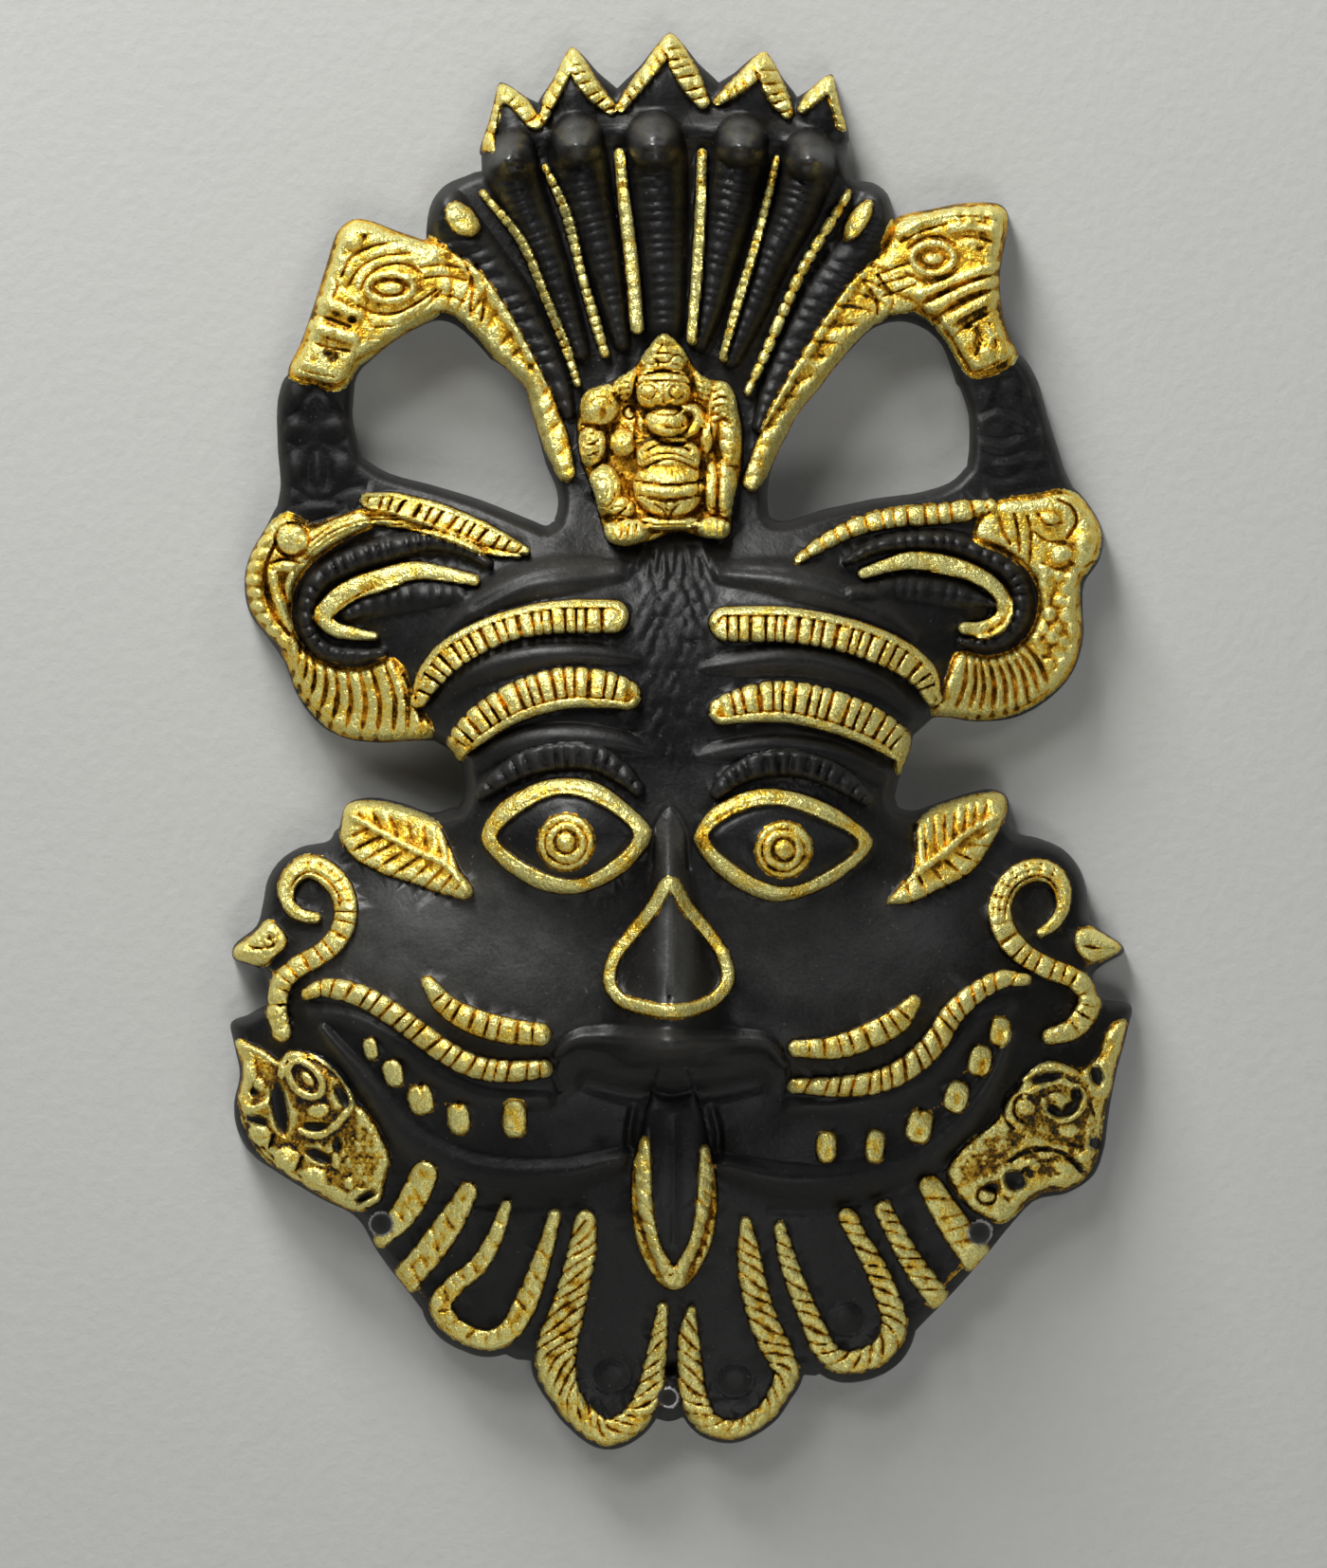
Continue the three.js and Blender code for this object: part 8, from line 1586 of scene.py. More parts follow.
def noise(g, wave, seed):
    """smooth random field, about -1 to 1, on the plan"""
    rs = np.random.RandomState(seed)
    nx, nz = int(200 / wave) + 4, int(300 / wave) + 4
    T = rs.uniform(-1, 1, (nz, nx))
    u = (g.X + 95) / wave; w = (g.Z + 272) / wave
    i = np.clip(u.astype(int), 0, nx - 2); k = np.clip(w.astype(int), 0, nz - 2)
    fu, fw = sm(u - i), sm(w - k)
    return (T[k, i] * (1 - fu) + T[k, i + 1] * fu) * (1 - fw) + (T[k + 1, i] * (1 - fu) + T[k + 1, i + 1] * fu) * fw


def blur(A, n):
    """box blur, n cells to each side, twice"""
    for _ in range(2):
        for ax in (0, 1):
            P = np.concatenate([np.repeat(A.take([0], ax), n + 1, ax), A, np.repeat(A.take([-1], ax), n, ax)], ax)
            C = np.cumsum(P, ax)
            m = A.shape[ax]
            A = (C.take(range(2 * n + 1, 2 * n + 1 + m), ax) - C.take(range(0, m), ax)) / (2 * n + 1)
    return A


# ------------------------------------------------------------------ silhouette
def outline(g):
    F = np.full(g.X.shape, -50.0)

    def join(pl, R=8):
        sl, d = region(g, pl, R)
        F[sl] = np.maximum(F[sl], d)
    for kind, p in OUTLINE.values():
        join(spline(p, True, 1.2) if kind == 's' else np.array(p, float))
    for t, a, b in SPIKES:
        mix = lambda q, f: (t[0] + (q[0] - t[0]) * f, t[1] + (q[1] - t[1]) * f)
        join(spline([a, mix(a, .5), mix(a, .17), (t[0], t[1] - .75), mix(b, .17), mix(b, .5), b, ((a[0] + b[0]) / 2, -3.7)], True, .8))
    for n, edge in LOCK_EDGE.items():
        o = RIDGES[n]
        sl, D, A, Q, L = near(g, spline(o['p']), np.max(o['w']) / 2 + edge + 1)
        F[sl] = np.maximum(F[sl], along(o['w'], A / L) / 2 + edge - D)
        join(spline(o['p'], False, 1.0), 6)
    for (x, z), r in LUGS:
        F = np.maximum(F, r - np.hypot(g.X - x, g.Z - z))
    for p in OPENINGS.values():
        sl, d = region(g, spline(p, True, .8), 8)
        F[sl] = np.minimum(F[sl], -d)
    return F


CASES = {1: [(3, 0)], 2: [(0, 1)], 3: [(3, 1)], 4: [(1, 2)], 5: [(3, 0), (1, 2)], 6: [(0, 2)], 7: [(3, 2)], 8: [(2, 3)],
         9: [(2, 0)], 10: [(0, 1), (2, 3)], 11: [(2, 1)], 12: [(1, 3)], 13: [(1, 0)], 14: [(0, 3)]}


def true_distance(g, F, R):
    """distance to the zero line of F, kept up to R, with its sign"""
    s = F > 0
    D = np.full(F.shape, float(R))
    code = s[:-1, :-1] * 1 + s[:-1, 1:] * 2 + s[1:, 1:] * 4 + s[1:, :-1] * 8
    n = int(R / g.c) + 2

    def at(k, i, e):
        (ka, ia), (kb, ib) = [((k, i), (k, i + 1)), ((k, i + 1), (k + 1, i + 1)), ((k + 1, i), (k + 1, i + 1)), ((k, i), (k + 1, i))][e]
        t = F[ka, ia] / (F[ka, ia] - F[kb, ib])
        return g.xs[ia] + (ib - ia) * t * g.c, g.zs[ka] + (kb - ka) * t * g.c
    for k, i in zip(*np.nonzero((code > 0) & (code < 15))):
        for e0, e1 in CASES[int(code[k, i])]:
            p, q = at(k, i, e0), at(k, i, e1)
            i0, i1, k0, k1 = max(0, i - n), min(g.nx, i + n + 2), max(0, k - n), min(g.nz, k + n + 2)
            dx, dz = q[0] - p[0], q[1] - p[1]
            px = g.xs[i0:i1][None, :] - p[0]; pz = g.zs[k0:k1][:, None] - p[1]
            t = np.clip((px * dx + pz * dz) / (dx * dx + dz * dz + 1e-12), 0, 1)
            blk = D[k0:k1, i0:i1]
            np.minimum(blk, np.hypot(px - t * dx, pz - t * dz), out=blk)
    return np.where(s, D, -D)


def ground(g):
    """thin-plate surface through the depth stations"""
    st = []
    for a, z, h in DEPTHS:
        st.append((a, z, h))
        if a:
            st.append((-a, z, h))
    P = np.array(st, float); n = len(P)
    U = lambda r2: r2 * np.log(np.maximum(r2, 1e-9))
    M = np.zeros((n + 3, n + 3))
    M[:n, :n] = U(((P[:, None, :2] - P[None, :, :2]) ** 2).sum(-1)) + np.eye(n) * 40.0
    M[:n, n] = M[n, :n] = 1
    M[:n, n + 1:] = P[:, :2]; M[n + 1:, :n] = P[:, :2].T
    w = np.linalg.solve(M, np.concatenate([P[:, 2], np.zeros(3)]))
    H = w[n] + w[n + 1] * g.X + w[n + 2] * g.Z
    for i in range(n):
        H += w[i] * U((g.X - P[i, 0]) ** 2 + (g.Z - P[i, 1]) ** 2)
    return H


# ------------------------------------------------------------------ raised work
def ridge(g, H, G, o, scale=1.0, under=None):
    w = o['w']
    wm = max(w) if isinstance(w, (list, tuple)) else w
    pl = spline(o['p'], bool(o.get('closed')))
    sl, D, A, Q, L = near(g, pl, wm / 2 + 1.5, bool(o.get('closed')))
    t = A / L
    hw = along(w, t) / 2
    side = D * Q / hw                       # -1 to 1 from the left edge to the right one
    free = 1.0
    if 'b' in o:
        b_, ph = o['b'], o['p'][0][0]
        walk = A + b_ * (.16 * np.sin(A * 1.9 / b_ + ph) + .12 * np.sin(A * .83 / b_ + 2 * ph))     # hand-cut, so not quite even
        c = np.abs(np.sin(np.pi * (walk + o.get('sk', 0) * D * Q) / b_))
        c = (.82 * sm(c / .55) + .18 * c) if o.get('g') else c ** .8
        if 'sc' in o:                       # scalloped along the edge that has no border
            free = 1 - o['sc'] * (1 - c) * (sm((-side * o['e'] - .2) / .4) if 'e' in o else 1)
    hw = hw * free
    q = D / hw
    f = section(q, o['k']) * (q < 1)
    if 'b' in o:
        m = o['bd'] * (1 - c)
        if 'brange' in o:
            r0, r1 = o['brange']
            m = m * sm((r1 - t) / .06) * sm((t - r0 + .06) / .06)
        if o.get('e'):
            b = sm((side * o['e'] - .44) / .12)
            m = m * (1 - b)
            f = f * (1 - .22 * np.exp(-((side * o['e'] - .46) / .07) ** 2))
        f = f * (1 - m)
    if 'st' in o:                           # strands along part of it
        t0, t1, n_, dp = o['st']
        f = f * (1 - dp * (1 - np.abs(np.sin(np.pi * n_ * (side + 1) / 2)) ** .7) * sm((t - t0) / .05) * sm((t1 - t) / .05) * (np.abs(side) < .96))
    H[sl] += scale * along(o['h'], t) * f
    if o.get('u'):
        under[sl] = np.maximum(under[sl], along(o['h'], t) * f)
    if o.get('g'):
        G[sl] = np.maximum(G[sl], hw - D)
    if o.get('g0'):
        G[sl] = np.minimum(G[sl], D - hw)


def mass(g, u, v, a, b, h, ang, p=2.0):
    c, s = math.cos(math.radians(ang)), math.sin(math.radians(ang))
    R = max(a, b) + .5
    sl = (slice(max(0, int((v - R - g.z0) / g.c)), int((v + R - g.z0) / g.c) + 2), slice(max(0, int((u - R - g.x0) / g.c)), int((u + R - g.x0) / g.c) + 2))
    dx, dz = g.X[sl] - u, g.Z[sl] - v
    q = (np.abs((dx * c - dz * s) / a) ** p + np.abs((dx * s + dz * c) / b) ** p) ** (1 / p)
    return sl, q, np.where(q < 1, h * np.sqrt(np.clip(1 - q * q, 0, 1)), 0)


def build(g):
    """outline distance F, height H, ground B, gold distance G (all mm) on the grid"""
    F = true_distance(g, outline(g), 8.0)
    B = ground(g)
    H = B.copy()
    G = np.full(H.shape, -9.0)
    for (x, z), r in COBRAS:
        sl, q, m = mass(g, x, z, r * 1.2, r * 1.25, 1, 0)
        H[sl] += COBRA_HEAD_H * np.clip(1 - q * q, 0, 1) ** .85
    under = np.zeros(H.shape)
    for o in RIDGES.values():
        ridge(g, H, G, o, 1.0, under)
    for o in PADS.values():
        sl, d = region(g, spline(o['p'], True), o['e'] + 1)
        H[sl] += np.maximum(0, o['h'] * dome(d, o['e']) - under[sl])
        G[sl] = np.maximum(G[sl], d + o['sp'])
    for e in EYES.values():
        sl, d = region(g, spline(e['lid'], True), 16)
        sb, db = region(g, spline(e['ball'], True), 16)
        o_, b_ = np.full(H.shape, -9.0), np.full(H.shape, -9.0)
        o_[sl] = d; b_[sb] = db
        ring = np.minimum(o_, -b_)
        H += EYE_BULGE * dome(o_, EYE_BULGE_RUN) + LID_H * dome(ring, 1.3) - .5 * np.exp(-((b_ + .95) / .32) ** 2) * sm(ring / .3) - .35 * np.exp(-((b_ - .5) / .5) ** 2)
        r = np.hypot(g.X - e['c'][0], g.Z - e['c'][1])
        H += np.where(r < e['r'], IRIS_H * np.sqrt(np.clip(1 - (r / e['r']) ** 2, 0, 1)), 0)
        for rr, dd in ((.40, .75), (.78, .30)):
            H -= dd * np.exp(-((r - rr * e['r']) / .42) ** 2)
        H += .7 * np.clip(1 - (r / (.36 * e['r'])) ** 2, 0, 1)
        G = np.maximum(G, np.maximum(ring, e['r'] - r))
    t = np.clip((NOSE['root'] - g.Z) / (NOSE['root'] - NOSE['tip']), 0, 1)
    a = np.abs(g.X - NOSE['x']) / (NOSE['halfTop'] + NOSE['halfGrow'] * t)
    H += (NOSE['h0'] + NOSE['h1'] * t ** 1.1) * (.34 * np.exp(-(2.2 * a) ** 2) + .66 * (1 - sm(a / 1.15))) * sm((NOSE['top'] - g.Z) / 16) * sm((g.Z - NOSE['end']) / 4)
    sl, D, A, Q, L = near(g, spline(HEART, True), HEART_W, True)
    H[sl] += HEART_H * section(D * 2 / HEART_W, 'g') * (D < HEART_W / 2)
    G[sl] = np.maximum(G[sl], HEART_W / 2 - D)
    for (x, z), w, h, lean in TEETH:
        sl, q, m = mass(g, x, z, w / 2, h / 2, TOOTH_H, lean, 2.7)
        H[sl] += np.where(q < 1, TOOTH_H * np.clip(1 - q ** 4, 0, 1) ** .5, 0)
        G[sl] = np.maximum(G[sl], (1 - q) * w / 2)
    sl, d = region(g, spline(DEITY, True), 8)
    plate = np.zeros(H.shape); plate[sl] = DEITY_H * dome(d, DEITY_EDGE)
    G[sl] = np.maximum(G[sl], d)
    top = np.zeros(H.shape)
    for x, z, a, b, h, lean in MASSES:
        sl, q, m = mass(g, x, z, a, b, h, lean)
        top[sl] = np.maximum(top[sl], m)
    H += np.where(plate > 0, plate + top, 0)
    ridge(g, H, G, dict(p=TRUNK['p'], w=TRUNK['w'], h=2.6, k='r'))
    if 'detail' in globals():
        detail(g, H, G, F)
    H *= EDGE_SQUARE + (1 - EDGE_SQUARE) * dome(np.clip(F / EDGE_R, 1e-9, 1), 1)
    hole = np.full(H.shape, 99.0)
    for (x, z), r in HOLES:
        hole = np.minimum(hole, np.hypot(g.X - x, g.Z - z) - r)
    F = np.minimum(F, hole)
    back = np.maximum(0, B - WALL) * sm((F - RIM) / HOLLOW_RUN) * sm((HOLLOW_TOP - g.Z) / HOLLOW_RISE)
    return F, H, back, G, hole


# ------------------------------------------------------------------ closed mesh
def net(g, F, H, back):
    """triangles of the plan, shared by the front skin and the hollow back"""
    c = g.c
    PX, PZ, V = g.X.copy(), g.Z.copy(), F.copy()
    dx = np.zeros_like(F); dz = np.zeros_like(F)
    dx[:, 1:-1] = (F[:, 2:] - F[:, :-2]) / 2; dz[1:-1] = (F[2:] - F[:-2]) / 2
    l = np.hypot(dx, dz) + 1e-9
    snap = (np.abs(F) < .24 * c) & (l > .3 * c)
    PX[snap] -= (F * dx / l)[snap]; PZ[snap] -= (F * dz / l)[snap]; V[snap] = 0
    pos, neg = V > 0, V < 0
    four = lambda m: m[:-1, :-1] | m[:-1, 1:] | m[1:, 1:] | m[1:, :-1]
    anyp = four(pos)
    full = anyp & ~four(neg)
    idx = np.arange(F.size).reshape(F.shape)
    k, i = np.nonzero(full)
    a, b, d, e = idx[k, i], idx[k, i + 1], idx[k + 1, i + 1], idx[k + 1, i]
    Hf = H.ravel()
    one = np.abs(Hf[a] - Hf[d]) <= np.abs(Hf[b] - Hf[e])
    T = np.vstack([np.where(one[:, None], np.c_[a, b, d], np.c_[b, d, e]), np.where(one[:, None], np.c_[a, d, e], np.c_[b, e, a])])
    xs, zs, hs = [], [], []
    extra, part = {}, []
    n0 = F.size
    Pxf, Pzf, Vf = PX.ravel(), PZ.ravel(), V.ravel()

    def cross(p, q):
        if p > q: p, q = q, p
        if (p, q) not in extra:
            t = Vf[p] / (Vf[p] - Vf[q])
            extra[(p, q)] = n0 + len(xs)
            xs.append(Pxf[p] + (Pxf[q] - Pxf[p]) * t); zs.append(Pzf[p] + (Pzf[q] - Pzf[p]) * t)
            hs.append(Hf[p] + (Hf[q] - Hf[p]) * t)
        return extra[(p, q)]
    for k, i in zip(*np.nonzero(anyp & ~full)):
        cs = (int(idx[k, i]), int(idx[k, i + 1]), int(idx[k + 1, i + 1]), int(idx[k + 1, i]))
        ring = []
        for n in range(4):
            p, q = cs[n], cs[(n + 1) % 4]
            if Vf[p] >= 0: ring.append(p)
            if Vf[p] * Vf[q] < 0: ring.append(cross(p, q))
        for n in range(1, len(ring) - 1):
            part.append((ring[0], ring[n], ring[n + 1]))
    T = np.vstack([T, np.array(part, int).reshape(-1, 3)])
    ax = np.concatenate([Pxf, xs]); az = np.concatenate([Pzf, zs]); ah = np.concatenate([Hf, hs])
    bk = back.copy(); bk[snap] = 0
    ab = np.concatenate([bk.ravel(), np.zeros(len(xs))])
    used = np.unique(T)
    remap = np.full(len(ax), -1); remap[used] = np.arange(len(used))
    T = remap[T]
    ax, az, ah, ab = ax[used], az[used], ah[used], ab[used]
    E = np.vstack([T[:, [0, 1]], T[:, [1, 2]], T[:, [2, 0]]])
    key = E.min(1) * len(ax) + E.max(1)
    _, first, cnt = np.unique(key, return_index=True, return_counts=True)
    R = E[first[cnt == 1]]
    n = len(ax)
    faces = np.vstack([T, n + T[:, [0, 2, 1]], np.c_[R[:, 1], R[:, 0], n + R[:, 0]], np.c_[R[:, 1], n + R[:, 0], n + R[:, 1]]])
    verts = np.vstack([np.c_[ax, -ah, az], np.c_[ax, -ab, az]])
    return verts, faces


def draft(v):
    f = 1 + v[:, 1] / DRAFT_LENGTH
    return np.c_[DRAFT_AXIS[0] + (v[:, 0] - DRAFT_AXIS[0]) * f, v[:, 1], DRAFT_AXIS[1] + (v[:, 2] - DRAFT_AXIS[1]) * f]


def undraft(v):
    f = 1 + v[:, 1] / DRAFT_LENGTH
    return np.c_[DRAFT_AXIS[0] + (v[:, 0] - DRAFT_AXIS[0]) / f, v[:, 1], DRAFT_AXIS[1] + (v[:, 2] - DRAFT_AXIS[1]) / f]


def sample(g, A, x, z):
    u = np.clip((x - g.x0) / g.c, 0, g.nx - 1.001); w = np.clip((z - g.z0) / g.c, 0, g.nz - 1.001)
    i, k = u.astype(int), w.astype(int)
    fu, fw = u - i, w - k
    return (A[k, i] * (1 - fu) + A[k, i + 1] * fu) * (1 - fw) + (A[k + 1, i] * (1 - fu) + A[k + 1, i + 1] * fu) * fw


# ------------------------------------------------------------------ finer relief
def spots(g, H, L, G=None):
    for x, z, a, b, h, lean in L:
        sl, q, m = mass(g, x, z, a, b, 1.0, -lean)
        if h > 0:
            H[sl] += h * m
        else:
            H[sl] += h * np.clip(1 - q * q, 0, 1) ** .8


def grains(g, H, pl, pitch, h, seed, stretch=1.0):
    """small uneven bumps in staggered rows inside an outline"""
    rs = np.random.RandomState(seed)
    P = np.array(pl)
    sl, d = region(g, spline(pl, True, 1.0), 6)
    ok = np.zeros(H.shape); ok[sl] = np.clip(d / .6, 0, 1)
    (x0, z0), (x1, z1) = P.min(0), P.max(0)
    row, z = 0, z0
    T = np.zeros(H.shape)
    while z < z1:
        x = x0 + (row % 2) * pitch / 2
        while x < x1:
            a = pitch * rs.uniform(.42, .6)
            s2, q, m = mass(g, x + rs.uniform(-.2, .2) * pitch, z + rs.uniform(-.2, .2) * pitch, a, a * stretch * rs.uniform(.85, 1.2), h * rs.uniform(.6, 1.1), rs.uniform(-25, 25))
            T[s2] = np.maximum(T[s2], m)
            x += pitch
        z += pitch * .86 * stretch
        row += 1
    H += (T - .25 * h) * ok


def detail(g, H, G, F):
    for x, z, a, b, h in HOODS:
        sl, q, m = mass(g, x, z, a, b, 1, 0)
        H[sl] += h * np.clip(1 - q * q, 0, 1) ** 1.6
    soft = np.zeros(H.shape)
    for n, L in DETAIL.items():
        for o in L:
            ridge(g, soft if 'strut' in n else H, G, o)
    for n, L in BLOBS.items():
        spots(g, soft if 'strut' in n else H, L)
    H += .60 * blur(soft, max(1, int(.42 / g.c)))          # worn, shallow faces on the struts
    for (inner, outer, n, w, h) in FANS.values():
        a, b = spline(inner, False, .4), spline(outer, False, .4)
        at = lambda c, t: c[min(len(c) - 1, int(round(t * (len(c) - 1))))]
        for i in range(n):
            t = (i + .5) / n
            p, q = at(a, t), at(b, min(1, t * .98 + .03))
            m = (p + q) / 2 + (np.array([-(q - p)[1], (q - p)[0]])) * .08
            ridge(g, H, G, dict(p=[tuple(p), tuple(m), tuple(q)], w=[w * .7, w, w * 1.05], h=[-h * .8, -h, -h], k='s'))
    for n, (pl, pitch, h) in enumerate(GRAIN.values()):
        grains(g, H, pl, pitch, h, 40 + n)
    column(g, H)
    for x, z, a, b, h, lean in GAPS:
        sl, q, m = mass(g, x, z, a, b, 1, -lean)
        H[sl] -= h * np.clip(1 - q * q, 0, 1) ** .7
        G[sl] = np.minimum(G[sl], (q - 1) * min(a, b))
    # uneven hand-cut wax under it all, lumpier where it is gilt
    H += .16 * noise(g, 9.0, 3) + .08 * noise(g, 4.0, 4)
    H += sm((G + .3) / .8) * (.17 * noise(g, 2.4, 6) + .17 * noise(g, 1.2, 7)) * (1 + 1.0 * sm((-198 - g.Z) / 8))


def column(g, H):
    """drops and rows of small feathers down the middle of the forehead"""
    c = COLUMN
    rs = np.random.RandomState(12)
    T = np.zeros(H.shape)
    for i in range(11):
        x = c['mid'] + (i - 5) * c['half_top'] * .2
        z = (c['top'] + c['drop']) / 2 + .9 - (abs(i - 5) % 2) * 1.8
        sl, q, m = mass(g, x, z, c['half_top'] * .085, (c['top'] - c['drop']) * .42, 1.1, (5 - i) * 4 + rs.uniform(-5, 5), 2.0)
        T[sl] = np.maximum(T[sl], m)
    z, row = c['drop'] - 1.0, 0
    while z > c['end']:
        t = (z - c['drop']) / (c['end'] - c['drop'])
        half = c['half_top'] + (c['half_end'] - c['half_top']) * t
        n = max(3, int(round(2 * half / 2.5)))
        for i in range(n):
            x = c['mid'] + (i - (n - 1) / 2 + (row % 2) * .5 - .25) * 2 * half / n + rs.uniform(-.25, .25)
            a = rs.uniform(.7, 1.25) * 1.2
            fade = 1 - .6 * min(1, abs(x - c['mid']) / half) ** 3
            sl, q, m = mass(g, x, z + rs.uniform(-.6, .6), a, a * rs.uniform(1.1, 2.0), .8 * fade * rs.uniform(.7, 1.15), (x - c['mid']) * -3 + rs.uniform(-10, 10))
            T[sl] = np.maximum(T[sl], m)
        z -= 2.5
        row += 1
    H += .45 * T * (1 + .35 * noise(g, 3.2, 21))

# ------------------------------------------------------------------ the casting as one closed mesh
def plain_mesh(name, v, f):
    me = bpy.data.meshes.new(name)
    me.vertices.add(len(v)); me.vertices.foreach_set("co", (v * .001).astype(np.float32).ravel())
    me.loops.add(3 * len(f)); me.loops.foreach_set("vertex_index", f.astype(np.int32).ravel())
    me.polygons.add(len(f)); me.polygons.foreach_set("loop_start", np.arange(0, 3 * len(f), 3, dtype=np.int32))
    me.update(calc_edges=True)
    me.validate()
    return me


def thinned(me, share):
    """the same closed mesh with fewer faces: flat places give theirs up first"""
    ob = bpy.data.objects.new("raw", me)
    bpy.context.scene.collection.objects.link(ob)
    m = ob.modifiers.new("thin", 'DECIMATE')
    m.ratio = share
    dg = bpy.context.evaluated_depsgraph_get()
    out = bpy.data.meshes.new_from_object(ob.evaluated_get(dg))
    bpy.data.objects.remove(ob)
    return out


g = Grid(-90, 93, -266, 22, CELL_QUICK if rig.quick() else CELL)
F, H, back, G, hole = build(g)
v, f = net(g, F, H, back)
me = plain_mesh("mask", draft(v), f)
if len(f) > FACES:
    me = thinned(me, FACES / len(f))
me.name = "painted_mask"
n = len(me.vertices)
co = np.empty(n * 3, np.float32); me.vertices.foreach_get("co", co)
P = undraft(co.reshape(-1, 3).astype(float) * 1000)
hf, hb = sample(g, H, P[:, 0], P[:, 2]), sample(g, back, P[:, 0], P[:, 2])
fr = np.clip((-P[:, 1] - hb) / np.maximum(hf - hb, .8), 0, 1)     # 1 on the front skin, 0 on the back
gold = np.where(fr > .5, sample(g, G, P[:, 0], P[:, 2]) - (1 - fr) * 3, -6 - 3 * (1 - fr))
low = sample(g, H - blur(H, int(1.1 / g.c)), P[:, 0], P[:, 2])     # fine hollows and crests
wide = sample(g, H - blur(H, int(4.0 / g.c)), P[:, 0], P[:, 2])
bare = sample(g, hole, P[:, 0], P[:, 2])


def patches(L):
    T = np.zeros(len(P))
    for x, z, a, b, s_, lean in sorted(L, key=lambda p: p[4] < 0):
        c, s = math.cos(math.radians(-lean)), math.sin(math.radians(-lean))
        dx, dz = P[:, 0] - x, P[:, 2] - z
        q = np.hypot((dx * c - dz * s) / a, (dx * s + dz * c) / b)
        t = s_ * sm((1.25 - q) / .6)
        T = np.maximum(T, t) if s_ > 0 else T + t
    return T


def field(name, val):
    me.attributes.new(name, 'FLOAT', 'POINT').data.foreach_set("value", np.asarray(val, np.float32))


field("gold_mm", gold)
field("crest_mm", np.where(fr > .5, low, 0))
field("swell_mm", np.where(fr > .5, wide, 0))
field("hole_mm", bare)
field("front", fr)
field("dry", patches(DRY))
field("dull", patches(DULL))
field("worn", patches(HANDLED))
field("gloss", patches([(x, z - 1, .75 * r, .65 * r, 1, 0) for (x, z), r in COBRAS]))

uv = me.uv_layers.new(name="OFBake")
vi = np.empty(len(me.loops), np.int32); me.loops.foreach_get("vertex_index", vi)
pn = np.empty(len(me.polygons) * 3, np.float32); me.polygons.foreach_get("normal", pn)
pc = np.repeat(fr[vi].reshape(-1, 3).mean(1) > .5, 3)
Pl = co.reshape(-1, 3)[vi]
U = np.where(pc, (Pl[:, 0] + .0900) / .2900, .655 + (.0920 - Pl[:, 0]) / .5400)
V = np.where(pc, (Pl[:, 2] + .2650) / .2900, .02 + (Pl[:, 2] + .2650) / .5400)
uv.data.foreach_set("uv", np.c_[U, V].astype(np.float32).ravel())
for p in (me.polygons,):
    p.foreach_set("use_smooth", np.ones(len(p), bool))
me.set_sharp_from_angle(angle=math.radians(62))

mask = bpy.data.objects.new("painted_mask", me)
bpy.context.scene.collection.objects.link(mask)
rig.replaces(mask, "mask_casting")
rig.ride(mask, "root")
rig.slot(mask, "painted_casting")


# ------------------------------------------------------------------ paint
class Nodes:
    def __init__(s, name):
        s.m = bpy.data.materials.new(name)
        s.m.use_nodes = True
        s.t = s.m.node_tree
        s.t.nodes.clear()
        s.x = 0

    def add(s, kind, **kw):
        n = s.t.nodes.new(kind)
        n.location = (s.x, 0); s.x += 180
        for k, val in kw.items():
            setattr(n, k, val)
        return n

    def put(s, sock, val):
        if hasattr(val, "is_output") or isinstance(val, bpy.types.NodeSocket):
            s.t.links.new(val, sock)
        elif val is not None:
            sock.default_value = val

    def math(s, op, a, b=None, c=None, clamp=False):
        n = s.add('ShaderNodeMath', operation=op, use_clamp=clamp)
        for i, val in enumerate((a, b, c)):
            s.put(n.inputs[i], val)
        return n.outputs[0]

    def step(s, a, lo, hi, smooth=True, out0=0.0, out1=1.0):
        n = s.add('ShaderNodeMapRange', interpolation_type='SMOOTHSTEP' if smooth else 'LINEAR')
        s.put(n.inputs[0], a)
        for i, val in zip((1, 2, 3, 4), (lo, hi, out0, out1)):
            n.inputs[i].default_value = val
        return n.outputs[0]

    def noise(s, vec, scale, detail=2.0, rough=.5, dist=0.0):
        n = s.add('ShaderNodeTexNoise')
        s.put(n.inputs['Vector'], vec)
        n.inputs['Scale'].default_value = scale
        n.inputs['Detail'].default_value = detail
        n.inputs['Roughness'].default_value = rough
        n.inputs['Distortion'].default_value = dist
        return n.outputs['Fac']

    def mix(s, fac, a, b, kind='RGBA', blend='MIX'):
        n = s.add('ShaderNodeMix', data_type=kind)
        if kind == 'RGBA':
            n.blend_type = blend
        ins = [i for i in n.inputs if i.enabled]
        outs = [o for o in n.outputs if o.enabled]
        s.put(ins[0], fac); s.put(ins[1], a); s.put(ins[2], b)
        return outs[0]

    def attr(s, name):
        n = s.add('ShaderNodeAttribute', attribute_name=name)
        return n.outputs['Fac']

    def ramp(s, fac, stops):
        n = s.add('ShaderNodeValToRGB')
        s.put(n.inputs[0], fac)
        e = n.color_ramp.elements
        while len(e) < len(stops):
            e.new(.5)
        for el, (pos, col) in zip(e, stops):
            el.position = pos; el.color = (*col, 1)
        return n.outputs[0]


def srgb(r, g_, b):
    return tuple(((c / 255) / 12.92 if c / 255 <= .04045 else ((c / 255 + .055) / 1.055) ** 2.4) for c in (r, g_, b))


